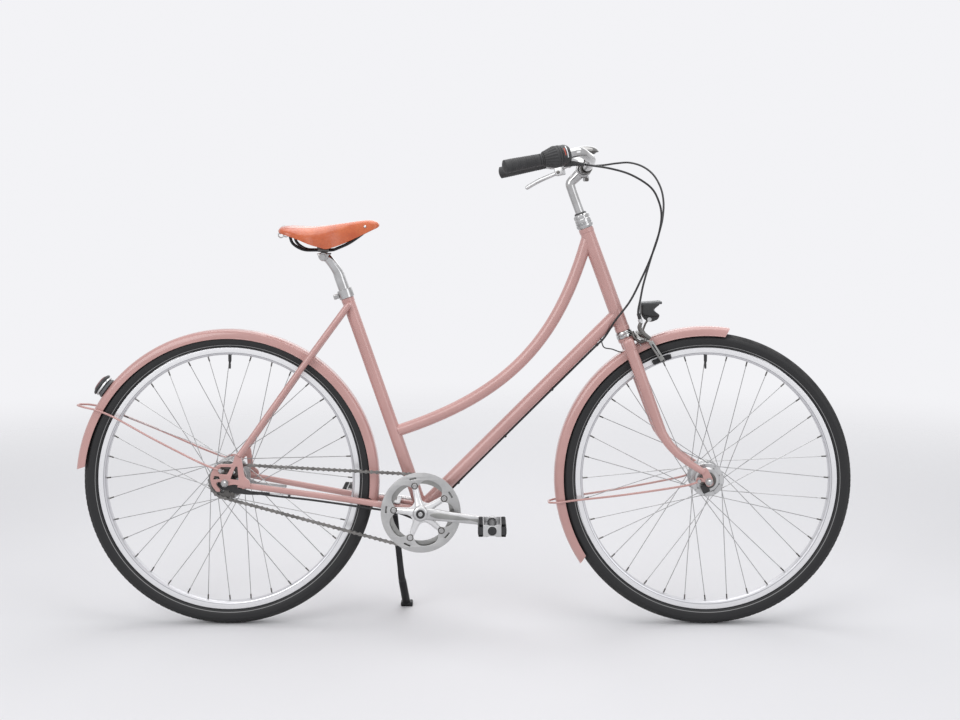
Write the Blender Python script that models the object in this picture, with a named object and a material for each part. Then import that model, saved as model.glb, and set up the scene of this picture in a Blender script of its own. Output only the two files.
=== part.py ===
"""City bike with a low curved top tube, hub gears, chain disc, mudguards and a side stand.

The bike is drawn upright in its own frame, in millimetres: the origin is on the ground under the
rear axle, +X points forwards, +Y to the bike's left and +Z up. It is then leant on its side stand
and moved so that the world's origin is the middle of the underside of its box.
"""
import math

import bmesh
import bpy
from mathutils import Matrix, Vector
from mathutils.geometry import tessellate_polygon

MM = 0.001
GAP = 0.3                      # running clearance and seat clearance between pieces

# Wheels
RIM_SEAT_DIAMETER = 622.0
TYRE_SECTION = 40.0
WHEEL_RADIUS = RIM_SEAT_DIAMETER / 2 + TYRE_SECTION
RIM_WIDTH = 24.0
RIM_DEPTH = 18.5
RIM_HOOK = 5.0                 # how far the rim stands above the bead seat
SPOKE_COUNT = 36
SPOKE_DIAMETER = 1.8
SPOKE_CROSSINGS = 3
SPOKE_STAGGER = 0.9            # inner and outer spokes leave the flange this far from its middle
AXLE_DIAMETER = 10.0
FLANGE_SPACING = 56.0
FLANGE_THICKNESS = 3.8
REAR_FLANGE_RADIUS = 46.0
FRONT_FLANGE_RADIUS = 40.0

# Frame
WHEELBASE = 1151.0
CHAINSTAY_LENGTH = 470.0
BRACKET_DROP = 74.0            # how far the bottom bracket is below the axles
SEAT_ANGLE = math.radians(70.5)
HEAD_ANGLE = math.radians(70.0)
FORK_RAKE = 66.0
SEAT_TUBE_LENGTH = 553.0
SEAT_TUBE_RADIUS = 15.3
SEATPOST_RADIUS = 13.6
DOWN_TUBE_RADIUS = 15.9
TOP_TUBE_RADIUS = 14.3
HEAD_TUBE_RADIUS = 17.5
HEAD_TUBE_LENGTH = 265.0
CROWN_ABOVE_TYRE = 35.0
CROWN_TO_AXLE = WHEEL_RADIUS + CROWN_ABOVE_TYRE   # along the steering axis, up to the lower cup
LOWER_CUP_HEIGHT = 16.0
UPPER_CUP_HEIGHT = 14.0
LOCKNUT_HEIGHT = 22.0
CUP_RADIUS = 20.5
DOWN_TUBE_JOINT = 43.0         # above the head tube's lower end, along the axis
TOP_TUBE_JOINT = 18.0          # below the head tube's upper end, along the axis
TOP_TUBE_SEAT_JOINT = 196.0    # above the bottom bracket, along the seat tube
TOP_TUBE_START_PULL = 248.0
TOP_TUBE_START_ANGLE = math.radians(-105.6)
TOP_TUBE_END_PULL = 309.0
TOP_TUBE_END_ANGLE = math.radians(17.6)
BRACKET_SHELL_RADIUS = 20.5
BRACKET_SHELL_WIDTH = 70.0
REAR_DROPOUT_SPACING = 132.0
FRONT_DROPOUT_SPACING = 100.0
DROPOUT_THICKNESS = 6.0
CHAIN_STAY_RADIUS = 8.6
SEAT_STAY_RADIUS = 8.0
SEAT_STAY_JOINT = 524.0        # along the seat tube
STAY_BRIDGE_RADIUS = 6.0
BRIDGE_END_GAP = 1.5

# Fork and steering
STEERER_RADIUS = 12.7
QUILL_RADIUS = 11.1
QUILL_DEPTH = 100.0
FORK_BLADE_OFFSET = 39.0
FORK_BEND_START = 165.0
FORK_BLADE_END = 25.0
CROWN_RADIUS = 12.0
STEM_RISE = 78.0               # straight quill above the locknut
STEM_REACH = 48.0
STEM_REACH_ANGLE = math.radians(45.0)
BAR_RADIUS = 11.1
BAR_CENTRE_RADIUS = 12.7
BAR_HALF_WIDTH = 290.0
GRIP_RADIUS = 14.6
LEFT_GRIP_LENGTH = 124.0
RIGHT_GRIP_LENGTH = 88.0
SHIFTER_LENGTH = 52.0

# Drive
CHAIN_PITCH = 12.7
CHAINRING_TEETH = 44
COG_TEETH = 20
CHAIN_LINE = -45.0
CRANK_LENGTH = 170.0
CRANK_START = math.radians(-5.0)
CRANK_AXLE_RADIUS = 8.5
CHAIN_DISC_RADIUS = 95.5
CHAIN_DISC_HOLE = 70.0
BOLT_CIRCLE_RADIUS = 65.0
SPIDER_ARMS = 5
PEDAL_LENGTH = 68.0
PEDAL_WIDTH = 92.0
PEDAL_THICKNESS = 24.0
CRANK_TIP_OUTER = 87.0         # outer face of each crank at its pedal

# Mudguards, stand, saddle and lean
MUDGUARD_HALF_WIDTH = 24.0
MUDGUARD_DEPTH = 22.0
MUDGUARD_WALL = 1.5
FRONT_GUARD_CLEARANCE = 16.0   # from the tyre to the guard's outer face
REAR_GUARD_CLEARANCE = 15.0
FRONT_MUDGUARD_RADIUS = WHEEL_RADIUS + FRONT_GUARD_CLEARANCE
REAR_MUDGUARD_RADIUS = WHEEL_RADIUS + REAR_GUARD_CLEARANCE
STAY_ROD_RADIUS = 2.5
CABLE_RADIUS = 2.5
LEAN = math.radians(3.0)
SADDLE_LENGTH = 240.0
SADDLE_HALF_WIDTH = 88.0
LEATHER_THICKNESS = 4.5
RAIL_RADIUS = 3.5
RAIL_SPACING = 44.0

BRACKET_HEIGHT = WHEEL_RADIUS - BRACKET_DROP
BRACKET_X = math.sqrt(CHAINSTAY_LENGTH**2 - BRACKET_DROP**2)
X_AXIS = Vector((1, 0, 0))
Y_AXIS = Vector((0, 1, 0))
Z_AXIS = Vector((0, 0, 1))
REAR_AXLE = Vector((0, 0, WHEEL_RADIUS))
FRONT_AXLE = Vector((WHEELBASE, 0, WHEEL_RADIUS))
BRACKET = Vector((BRACKET_X, 0, BRACKET_HEIGHT))
SEAT_UP = Vector((-math.cos(SEAT_ANGLE), 0, math.sin(SEAT_ANGLE)))
SEAT_FRONT = Vector((math.sin(SEAT_ANGLE), 0, math.cos(SEAT_ANGLE)))
HEAD_UP = Vector((-math.cos(HEAD_ANGLE), 0, math.sin(HEAD_ANGLE)))
HEAD_FRONT = Vector((math.sin(HEAD_ANGLE), 0, math.cos(HEAD_ANGLE)))
HEAD_FOOT = FRONT_AXLE - HEAD_FRONT * FORK_RAKE

HEAD_BOTTOM = CROWN_TO_AXLE + LOWER_CUP_HEIGHT
HEAD_TOP = HEAD_BOTTOM + HEAD_TUBE_LENGTH
LOCKNUT_START = HEAD_TOP + UPPER_CUP_HEIGHT
LOCKNUT_END = LOCKNUT_START + LOCKNUT_HEIGHT
REAR_OUTER = REAR_DROPOUT_SPACING / 2 + DROPOUT_THICKNESS
FRONT_OUTER = FRONT_DROPOUT_SPACING / 2 + DROPOUT_THICKNESS


def head_point(along, forward=0.0, side=0.0):
    """A point given along the steering axis, forward of it and to the left of it."""
    return HEAD_FOOT + HEAD_UP * along + HEAD_FRONT * forward + Y_AXIS * side


def seat_point(along, side=0.0):
    """A point on the seat tube's axis, moved sideways."""
    return BRACKET + SEAT_UP * along + Y_AXIS * side


def mix(a, b, t):
    return a + (b - a) * t


# Materials
def finish(name, colour, metallic, roughness):
    material = bpy.data.materials.new(name)
    material.use_nodes = True
    shader = material.node_tree.nodes["Principled BSDF"]
    shader.inputs["Base Color"].default_value = (*colour, 1.0)
    shader.inputs["Metallic"].default_value = metallic
    shader.inputs["Roughness"].default_value = roughness
    return material


for old in list(bpy.data.objects):
    bpy.data.objects.remove(old)

PINK_PAINT = finish("pink_paint", (0.50, 0.21, 0.19), 0.0, 0.35)
POLISHED = finish("polished_metal", (0.72, 0.72, 0.72), 1.0, 0.22)
DARK_STEEL = finish("dark_steel", (0.12, 0.12, 0.12), 0.9, 0.4)
BLACK_PLASTIC = finish("black_plastic", (0.02, 0.02, 0.02), 0.0, 0.5)
TYRE_RUBBER = finish("tyre_rubber", (0.02, 0.02, 0.02), 0.0, 0.8)
LEATHER = finish("honey_leather", (0.55, 0.16, 0.03), 0.0, 0.4)
GREY_METAL = finish("grey_metal", (0.35, 0.35, 0.34), 0.8, 0.35)
RED_LENS = finish("red_lens", (0.4, 0.02, 0.02), 0.0, 0.2)

# Shape tools. Each gives a bmesh in the bike's millimetres.
def face_outwards(bm):
    bm.normal_update()
    bmesh.ops.recalc_face_normals(bm, faces=bm.faces)


def skin(rings, closed=False):
    """Joins rings of points into a tube: capped at both ends, or closed into a loop."""
    bm = bmesh.new()
    loops = [[bm.verts.new(point) for point in ring] for ring in rings]
    following = loops[1:] + loops[:1] if closed else loops[1:]
    for first, second in zip(loops, following):
        for i in range(len(first)):
            j = (i + 1) % len(first)
            bm.faces.new((first[i], first[j], second[j], second[i]))
    if not closed:
        bm.faces.new(reversed(loops[0]))
        bm.faces.new(loops[-1])
    face_outwards(bm)
    return bm


def across(direction):
    """Two directions at right angles to a direction, the second nearest to +Y."""
    guide = Y_AXIS if abs(direction.y) < 0.9 else Z_AXIS
    first = guide.cross(direction).normalized()
    return first, direction.cross(first).normalized()


def circle(centre, u, v, radius_u, radius_v, sides):
    """An ellipse's points, with a half step so that flat sides face u and v."""
    turns = [math.tau * (i + 0.5) / sides for i in range(sides)]
    return [centre + u * radius_u * math.cos(a) + v * radius_v * math.sin(a) for a in turns]


def tube(points, radii, sides=12, flat=None, closed=False):
    """A round bar along points. radii is one value or one for each point; flat scales it sideways."""
    count = len(points)
    if not isinstance(radii, (list, tuple)):
        radii = [radii] * count
    flat = flat or [1.0] * count
    rings = []
    u = None
    for i, point in enumerate(points):
        before = points[i - 1] if i or closed else point
        after = points[(i + 1) % count] if i < count - 1 or closed else point
        tangent = (after - before).normalized()
        if u is None:
            u, v = across(tangent)
        u = (u - tangent * u.dot(tangent)).normalized()
        v = tangent.cross(u)
        rings.append(circle(point, u, v, radii[i], radii[i] * flat[i], sides))
    return skin(rings, closed)


def rod(start, end, radius, sides=12):
    return tube([start, end], radius, sides)


def turned(profile, centre, axis, segments, phase=0.0):
    """A closed outline of (radius, distance along the axis) turned about the axis."""
    u, v = across(axis)
    rings = []
    for i in range(segments):
        angle = math.tau * i / segments + phase
        outward = u * math.cos(angle) + v * math.sin(angle)
        rings.append([centre + outward * radius + axis * along for radius, along in profile])
    bm = skin(rings, closed=True)
    bmesh.ops.remove_doubles(bm, verts=bm.verts, dist=1e-4)
    face_outwards(bm)
    return bm


def pipe(start, end, inner, outer, sides=16):
    """A straight tube with a bore."""
    axis = (end - start).normalized()
    length = (end - start).length
    profile = [(inner, 0), (outer, 0), (outer, length), (inner, length)]
    return turned(profile, start, axis, sides, math.pi / sides)


def plate(outlines, origin, u, v, thickness):
    """A flat sheet: the first outline less the holes, (u, v) pairs, centred on the origin's plane."""
    normal = u.cross(v).normalized()
    bm = bmesh.new()
    flat = [[Vector((a, b, 0)) for a, b in outline] for outline in outlines]
    layers = []
    for offset in (-thickness / 2, thickness / 2):
        place = [origin + u * p.x + v * p.y + normal * offset for loop in flat for p in loop]
        layers.append([bm.verts.new(p) for p in place])
    for triangle in tessellate_polygon(flat):
        bm.faces.new([layers[0][i] for i in triangle])
        bm.faces.new([layers[1][i] for i in reversed(triangle)])
    start = 0
    for loop in flat:
        for i in range(len(loop)):
            a = start + i
            b = start + (i + 1) % len(loop)
            bm.faces.new((layers[0][a], layers[0][b], layers[1][b], layers[1][a]))
        start += len(loop)
    face_outwards(bm)
    return bm


def block(centre, size, u=X_AXIS, v=Y_AXIS, bevel=0.0):
    """A box along u, v and their normal, with chamfered edges where bevel is set."""
    w = u.cross(v).normalized()
    bm = bmesh.new()
    bmesh.ops.create_cube(bm, size=1.0)
    for vert in bm.verts:
        p = vert.co.copy()
        vert.co = centre + u * p.x * size[0] + v * p.y * size[1] + w * p.z * size[2]
    face_outwards(bm)
    if bevel:
        bmesh.ops.bevel(bm, geom=bm.edges, offset=bevel, segments=1, affect="EDGES")
    face_outwards(bm)
    return bm


def round_points(radius, count, start=0.0, turn=math.tau, centre=(0.0, 0.0)):
    """Points on an arc; a full turn doesn't repeat its first point."""
    steps = count if abs(turn) >= math.tau - 1e-9 else count - 1
    angles = [start + turn * i / steps for i in range(count)]
    return [(centre[0] + radius * math.cos(a), centre[1] + radius * math.sin(a)) for a in angles]


def smooth_path(points, count):
    """A smooth curve through points (Catmull-Rom), read at count even steps of its parameter."""
    padded = [points[0] * 2 - points[1], *points, points[-1] * 2 - points[-2]]
    path = []
    for i in range(count):
        place = (len(points) - 1) * i / (count - 1)
        k = min(int(place), len(points) - 2)
        t = place - k
        a, b, c, d = padded[k:k + 4]
        curve = (b * 2 + (c - a) * t + (a * 2 - b * 5 + c * 4 - d) * t**2
                 + (b * 3 - a - c * 3 + d) * t**3)
        path.append(curve * 0.5)
    return path


# Objects
PIVOTS = {}


def pivot(name, place, parent=None):
    """An empty on a joint's axis."""
    empty = bpy.data.objects.new("pivot_" + name, None)
    bpy.context.collection.objects.link(empty)
    origin = PIVOTS[parent][1] if parent else Vector()
    if parent:
        empty.parent = PIVOTS[parent][0]
    empty.location = (place - origin) * MM
    PIVOTS[name] = (empty, place)
    return empty


def place_object(name, bm, body):
    """Makes an object from a bmesh, with its origin on its body's pivot."""
    empty, origin = PIVOTS[body]
    bmesh.ops.translate(bm, verts=bm.verts, vec=-origin)
    bmesh.ops.scale(bm, verts=bm.verts, vec=(MM, MM, MM))
    mesh = bpy.data.meshes.new(name)
    bm.to_mesh(mesh)
    bm.free()
    mesh.shade_smooth()
    mesh.set_sharp_from_angle(angle=math.radians(35))
    obj = bpy.data.objects.new(name, mesh)
    bpy.context.collection.objects.link(obj)
    obj.parent = empty
    return obj


def piece(name, bm, body, material, add=(), remove=()):
    """A finished sub-part: one shape, with shapes joined to it and cut from it."""
    obj = place_object(name, bm, body)
    obj.data.materials.append(material)
    for operation, shapes in (("UNION", add), ("DIFFERENCE", remove)):
        for i, shape in enumerate(shapes):
            helper = place_object(f"{name}_{operation.lower()}_{i}", shape, body)
            helper.hide_render = True
            helper.display_type = "WIRE"
            boolean = obj.modifiers.new(operation.lower(), "BOOLEAN")
            boolean.operation = operation
            boolean.solver = "EXACT"
            boolean.object = helper
    return obj


STEM_TOP = LOCKNUT_END + STEM_RISE
BAR_CLAMP = head_point(STEM_TOP) + STEM_REACH * Vector(
    (math.cos(STEM_REACH_ANGLE), 0, math.sin(STEM_REACH_ANGLE)))
STEER_FOOT = head_point(HEAD_BOTTOM)

pivot("frame", Vector())
pivot("steering", STEER_FOOT, "frame")
pivot("front_wheel", FRONT_AXLE, "steering")
pivot("rear_wheel", REAR_AXLE, "frame")
pivot("rear_cog", REAR_AXLE, "frame")
pivot("crankset", BRACKET, "frame")


# Main frame
SEAT_CUTTER_END = SEAT_TUBE_LENGTH + 20


def seat_tube_cutter(extra=GAP):
    return rod(seat_point(-30), seat_point(SEAT_CUTTER_END), SEAT_TUBE_RADIUS + extra, 24)


def head_tube_cutter():
    return rod(head_point(HEAD_BOTTOM - 20), head_point(HEAD_TOP + 20), HEAD_TUBE_RADIUS + GAP, 24)


def shell_cutter():
    reach = Y_AXIS * (BRACKET_SHELL_WIDTH / 2 + 15)
    return rod(BRACKET - reach, BRACKET + reach, BRACKET_SHELL_RADIUS + GAP, 24)


piece("head_tube", pipe(head_point(HEAD_BOTTOM + GAP), head_point(HEAD_TOP - GAP),
                        STEERER_RADIUS + GAP, HEAD_TUBE_RADIUS, 20), "frame", PINK_PAINT)

CUP_STEP = 4.0
LOWER_CUP = [(STEERER_RADIUS + GAP, GAP), (CUP_RADIUS, GAP), (CUP_RADIUS, LOWER_CUP_HEIGHT - CUP_STEP),
             (HEAD_TUBE_RADIUS, LOWER_CUP_HEIGHT), (STEERER_RADIUS + GAP, LOWER_CUP_HEIGHT)]
piece("headset_lower_cup", turned(LOWER_CUP, head_point(CROWN_TO_AXLE), HEAD_UP, 20), "frame", POLISHED)
UPPER_CUP = [(STEERER_RADIUS + GAP, 0), (HEAD_TUBE_RADIUS, 0), (CUP_RADIUS, CUP_STEP),
             (CUP_RADIUS, UPPER_CUP_HEIGHT), (STEERER_RADIUS + GAP, UPPER_CUP_HEIGHT)]
piece("headset_upper_cup", turned(UPPER_CUP, head_point(HEAD_TOP), HEAD_UP, 20), "frame", POLISHED)

SHELL_HALF = BRACKET_SHELL_WIDTH / 2
SHELL_BORE = CRANK_AXLE_RADIUS + GAP
SHELL_RECESS = 15.0
BEARING_WIDTH = 14.0
SHELL_PROFILE = [(SHELL_BORE, -SHELL_HALF), (BRACKET_SHELL_RADIUS, -SHELL_HALF),
                 (BRACKET_SHELL_RADIUS, SHELL_HALF), (SHELL_BORE, SHELL_HALF),
                 (SHELL_BORE, SHELL_HALF - BEARING_WIDTH), (SHELL_RECESS, SHELL_HALF - BEARING_WIDTH),
                 (SHELL_RECESS, -SHELL_HALF + BEARING_WIDTH), (SHELL_BORE, -SHELL_HALF + BEARING_WIDTH)]
piece("bottom_bracket_shell", turned(SHELL_PROFILE, BRACKET, Y_AXIS, 24), "frame", PINK_PAINT)

piece("seat_tube", pipe(seat_point(BRACKET_SHELL_RADIUS - 6), seat_point(SEAT_TUBE_LENGTH),
                        SEATPOST_RADIUS + GAP, SEAT_TUBE_RADIUS, 20),
      "frame", PINK_PAINT, remove=[shell_cutter()])

DOWN_TUBE_HEAD = head_point(HEAD_BOTTOM + DOWN_TUBE_JOINT)
piece("down_tube", rod(BRACKET, DOWN_TUBE_HEAD, DOWN_TUBE_RADIUS, 16), "frame", PINK_PAINT,
      remove=[shell_cutter(), head_tube_cutter(), seat_tube_cutter()])


def top_tube_path(count=15):
    """A cubic curve from the head tube's axis down to the seat tube's axis."""
    start = head_point(HEAD_TOP - TOP_TUBE_JOINT)
    end = seat_point(TOP_TUBE_SEAT_JOINT)
    pull_a = start + TOP_TUBE_START_PULL * Vector(
        (math.cos(TOP_TUBE_START_ANGLE), 0, math.sin(TOP_TUBE_START_ANGLE)))
    pull_b = end + TOP_TUBE_END_PULL * Vector(
        (math.cos(TOP_TUBE_END_ANGLE), 0, math.sin(TOP_TUBE_END_ANGLE)))
    path = []
    for i in range(count):
        t = i / (count - 1)
        s = 1 - t
        path.append(start * s**3 + pull_a * 3 * s * s * t + pull_b * 3 * s * t * t + end * t**3)
    return path


piece("top_tube", tube(top_tube_path(), TOP_TUBE_RADIUS, 12), "frame", PINK_PAINT,
      remove=[head_tube_cutter(), seat_tube_cutter()])

# Rear triangle. The dropout outline is in (forward, up) from the axle.
STAY_SLOPE = (BRACKET - REAR_AXLE).normalized()
SLOT_RADIUS = AXLE_DIAMETER / 2 + GAP
DROPOUT_OUTLINE = ([(58, -21), (60, 4), (48, 16), (40, 58.2), (25, 68.8), (14, 34), (-12, 36), (-34, 28),
                    (-36, SLOT_RADIUS)]
                   + round_points(SLOT_RADIUS, 9, math.pi / 2, -math.pi)
                   + [(-36, -SLOT_RADIUS), (-36, -24), (-26, -28), (6, -22)])
DROPOUT_WINDOW = [(18, 10), (34, 12), (28, 36), (22, 34)]


def chain_stay(side):
    """side is +1 on the left. The stay bows out round the tyre and ends in its dropout."""
    places = [(464, 24), (400, 30), (371, 33.8), (300, 34.2), (150, 50), (30, 63.8)]
    points = []
    for x, y in places:
        share = x / 464
        points.append(mix(REAR_AXLE, BRACKET, share) + Y_AXIS * y * side)
    path = smooth_path(points, 12)
    radii = [mix(CHAIN_STAY_RADIUS, CHAIN_STAY_RADIUS - 1.6, i / 11) for i in range(12)]
    return tube(path, radii, 10)


for side, word in ((-1, "right"), (1, "left")):
    middle = REAR_AXLE + Y_AXIS * side * (REAR_DROPOUT_SPACING + DROPOUT_THICKNESS) / 2
    dropout = plate([DROPOUT_OUTLINE, DROPOUT_WINDOW], middle, X_AXIS, Z_AXIS, DROPOUT_THICKNESS)
    piece(f"{word}_chain_stay", chain_stay(side), "frame", PINK_PAINT,
          add=[dropout], remove=[shell_cutter()])

STAY_FOOT = Vector((33, 0, WHEEL_RADIUS + 64))
SEAT_STAY_TOP_SIDE = SEAT_TUBE_RADIUS + SEAT_STAY_RADIUS - 2.0
REAR_MUDGUARD_CENTRE = REAR_AXLE + Vector((-3, 0, -6))
STAY_FOOT_SIDE = (REAR_DROPOUT_SPACING + DROPOUT_THICKNESS) / 2


def seat_stay_points(side):
    top = seat_point(SEAT_STAY_JOINT, side * SEAT_STAY_TOP_SIDE)
    foot = STAY_FOOT + Y_AXIS * side * STAY_FOOT_SIDE
    middle = mix(top, foot, 0.5) + Vector((-2, side * 2, 0))
    return smooth_path([top, middle, foot], 9)


def seat_stay(side):
    radii = [mix(SEAT_STAY_RADIUS, SEAT_STAY_RADIUS - 1.2, i / 8) for i in range(9)]
    return tube(seat_stay_points(side), radii, 10)


def stay_bridge():
    """The cross tube that carries the rear mudguard, just above the guard."""
    reach = REAR_MUDGUARD_RADIUS + GAP + STAY_BRIDGE_RADIUS
    path = seat_stay_points(1)
    centre = path[0]
    for a, b in zip(path, path[1:]):
        for k in range(21):
            p = mix(a, b, k / 20)
            flat = Vector((p.x, 0, p.z))
            if (flat - REAR_MUDGUARD_CENTRE).length >= reach:
                centre = p
    flat = Vector((centre.x, 0, centre.z))
    return flat, centre.y


BRIDGE_CENTRE, BRIDGE_SIDE = stay_bridge()
BRIDGE = rod(BRIDGE_CENTRE - Y_AXIS * BRIDGE_SIDE,
             BRIDGE_CENTRE + Y_AXIS * (BRIDGE_SIDE - SEAT_STAY_RADIUS - BRIDGE_END_GAP),
             STAY_BRIDGE_RADIUS, 12)
piece("right_seat_stay", seat_stay(-1), "frame", PINK_PAINT, add=[BRIDGE],
      remove=[seat_tube_cutter()])
piece("left_seat_stay", seat_stay(1), "frame", PINK_PAINT, remove=[seat_tube_cutter()])

COLLAR_BOTTOM = SEAT_TUBE_LENGTH - 13
COLLAR_TOP = SEAT_TUBE_LENGTH + 9
COLLAR_RADIUS = SEAT_TUBE_RADIUS + 3.0
COLLAR_EAR = block(seat_point((COLLAR_BOTTOM + COLLAR_TOP) / 2) - SEAT_FRONT * (COLLAR_RADIUS + 5),
                   (14, 15, 12), SEAT_FRONT, Y_AXIS, bevel=2.5)
piece("seat_collar", pipe(seat_point(COLLAR_BOTTOM), seat_point(COLLAR_TOP), SEAT_TUBE_RADIUS + GAP,
                          COLLAR_RADIUS, 20), "frame", POLISHED, add=[COLLAR_EAR])

# Rear axle, brake arm and gear joint
COG_HUB_END = CHAIN_LINE - 6.0
HUB_LEFT_END = 55.0
CONE_RADIUS = 9.0
NUT_RADIUS = 9.0
NUT_HEIGHT = 9.0


def axle_profile(outer, cone_start_right, cone_start_left):
    """Axle with inner cones against the dropouts and nuts outside them, right to left."""
    r = AXLE_DIAMETER / 2
    inner = outer - DROPOUT_THICKNESS - GAP
    face = outer + GAP
    end = face + NUT_HEIGHT
    return [(0, -end - 4), (r, -end - 4), (r, -end), (NUT_RADIUS, -end), (NUT_RADIUS, -face),
            (r, -face), (r, -inner), (CONE_RADIUS, -inner), (CONE_RADIUS, -cone_start_right),
            (r, -cone_start_right), (r, cone_start_left), (CONE_RADIUS, cone_start_left),
            (CONE_RADIUS, inner), (r, inner), (r, face), (NUT_RADIUS, face), (NUT_RADIUS, end),
            (r, end), (r, end + 4), (0, end + 4)]


GEAR_JOINT_INNER = COG_HUB_END - GAP
GEAR_JOINT_OUTER = -57.5
BRAKE_ARM_INNER = HUB_LEFT_END + GAP
BRAKE_ARM_THICKNESS = 4.0
REAR_CONE_LEFT = BRAKE_ARM_INNER + BRAKE_ARM_THICKNESS + GAP
piece("rear_axle", turned(axle_profile(REAR_OUTER, -GEAR_JOINT_OUTER + GAP, REAR_CONE_LEFT),
                          REAR_AXLE, Y_AXIS, 10), "frame", POLISHED)

BORE = AXLE_DIAMETER / 2 + GAP
ARM_TIP = (124, -33)
ARM_OUTLINE = (round_points(21, 9, math.radians(60), math.radians(225))
               + [(40, -33), (ARM_TIP[0] - 8, -39), (ARM_TIP[0] + 6, -36), (ARM_TIP[0] + 6, -28.8),
                  (ARM_TIP[0] - 6, -28), (60, -22), (24, -8)])
piece("coaster_brake_arm",
      plate([ARM_OUTLINE, round_points(BORE, 10)],
            REAR_AXLE + Y_AXIS * (BRAKE_ARM_INNER + BRAKE_ARM_THICKNESS / 2),
            X_AXIS, Z_AXIS, BRAKE_ARM_THICKNESS), "frame", POLISHED)

JOINT_OUTLINE = round_points(20, 11, math.radians(10), math.radians(280)) + [
    (20, -27), (58, -31), (58, -21), (30, -15)]
piece("cassette_joint",
      plate([JOINT_OUTLINE, round_points(BORE, 10)],
            REAR_AXLE + Y_AXIS * (GEAR_JOINT_INNER + GEAR_JOINT_OUTER) / 2,
            X_AXIS, Z_AXIS, GEAR_JOINT_INNER - GEAR_JOINT_OUTER), "frame", BLACK_PLASTIC)


# Wheels
RIM_TOP = RIM_SEAT_DIAMETER / 2 + RIM_HOOK
RIM_BOTTOM = RIM_TOP - RIM_DEPTH
WHEEL_STEPS = 40


def rim():
    half = RIM_WIDTH / 2
    return [(RIM_BOTTOM, -half + 5), (RIM_BOTTOM + 6, -half), (RIM_TOP, -half), (RIM_TOP, half),
            (RIM_BOTTOM + 6, half), (RIM_BOTTOM, half - 5)]


def tyre():
    half = TYRE_SECTION / 2
    centre = WHEEL_RADIUS - half
    inner = RIM_TOP + GAP
    foot = math.asin((inner - centre) / half)
    arc = [foot, 0.0, math.radians(40), math.radians(90), math.radians(140), math.pi, math.pi - foot]
    return [(centre + half * math.sin(a), -half * math.cos(a)) for a in arc]


def spoke_ends(flange_radius, side, number, turned_way):
    """A spoke's two ends: on the flange face and just inside the rim."""
    per_side = SPOKE_COUNT // 2
    step = math.tau / per_side
    sets = per_side // 2
    flange_angle = step * (2 * number + (0 if turned_way > 0 else 1)) + (step / 2 if side > 0 else 0)
    rim_angle = flange_angle + turned_way * math.tau * SPOKE_CROSSINGS / per_side
    face = FLANGE_SPACING / 2 + turned_way * SPOKE_STAGGER
    start = flange_radius - 2.0
    end = RIM_BOTTOM * math.cos(math.pi / WHEEL_STEPS) - GAP - 0.4
    return sets, (start, flange_angle, side * face), (end, rim_angle, side * (3.0 + turned_way * SPOKE_STAGGER * 2))


def wheel_point(centre, radius, angle, y):
    return centre + Vector((radius * math.cos(angle), y, radius * math.sin(angle)))


def spokes(centre, flange_radius):
    bodies = []
    for side in (-1, 1):
        for turned_way in (-1, 1):
            bm = bmesh.new()
            for number in range(SPOKE_COUNT // 4):
                _, near, far = spoke_ends(flange_radius, side, number, turned_way)
                single = rod(wheel_point(centre, *near), wheel_point(centre, *far),
                             SPOKE_DIAMETER / 2, 3)
                mesh = bpy.data.meshes.new("spoke")
                single.to_mesh(mesh)
                bm.from_mesh(mesh)
                bpy.data.meshes.remove(mesh)
                single.free()
            bodies.append(bm)
    return bodies


def hub_profile(flange_radius, barrel, right_end, left_end, neck):
    """Hub shell with two flanges; neck is the radius outside the flanges."""
    half = FLANGE_SPACING / 2
    wall = FLANGE_THICKNESS / 2
    return [(BORE, right_end), (neck, right_end), (neck, -half - wall), (flange_radius, -half - wall),
            (flange_radius, -half + wall), (barrel, -half + wall), (barrel, half - wall),
            (flange_radius, half - wall), (flange_radius, half + wall), (neck, half + wall),
            (neck, left_end), (BORE, left_end)]


DYNAMO_HALF = 34.0
REAR_HUB_RIGHT = CHAIN_LINE + 4.0
piece("rear_tyre", turned(tyre(), REAR_AXLE, Y_AXIS, WHEEL_STEPS), "rear_wheel", TYRE_RUBBER)
piece("rear_rim", turned(rim(), REAR_AXLE, Y_AXIS, WHEEL_STEPS), "rear_wheel", POLISHED)
piece("rear_hub", turned(hub_profile(REAR_FLANGE_RADIUS, 30.0, REAR_HUB_RIGHT, HUB_LEFT_END, 24.0),
                         REAR_AXLE, Y_AXIS, 16), "rear_wheel", POLISHED,
      add=spokes(REAR_AXLE, REAR_FLANGE_RADIUS))
piece("front_tyre", turned(tyre(), FRONT_AXLE, Y_AXIS, WHEEL_STEPS), "front_wheel", TYRE_RUBBER)
piece("front_rim", turned(rim(), FRONT_AXLE, Y_AXIS, WHEEL_STEPS), "front_wheel", POLISHED)
piece("front_hub", turned(hub_profile(FRONT_FLANGE_RADIUS, 36.0, -DYNAMO_HALF, DYNAMO_HALF, 28.0),
                          FRONT_AXLE, Y_AXIS, 16), "front_wheel", POLISHED,
      add=spokes(FRONT_AXLE, FRONT_FLANGE_RADIUS))
piece("front_axle", turned(axle_profile(FRONT_OUTER, DYNAMO_HALF + GAP, DYNAMO_HALF + GAP),
                           FRONT_AXLE, Y_AXIS, 10), "steering", POLISHED)


# Drive
def pitch_radius(teeth):
    return CHAIN_PITCH / 2 / math.sin(math.pi / teeth)


TOOTH_RISE = 3.2
TOOTH_ROOT = 3.6
RING_THICKNESS = 2.4


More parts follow.
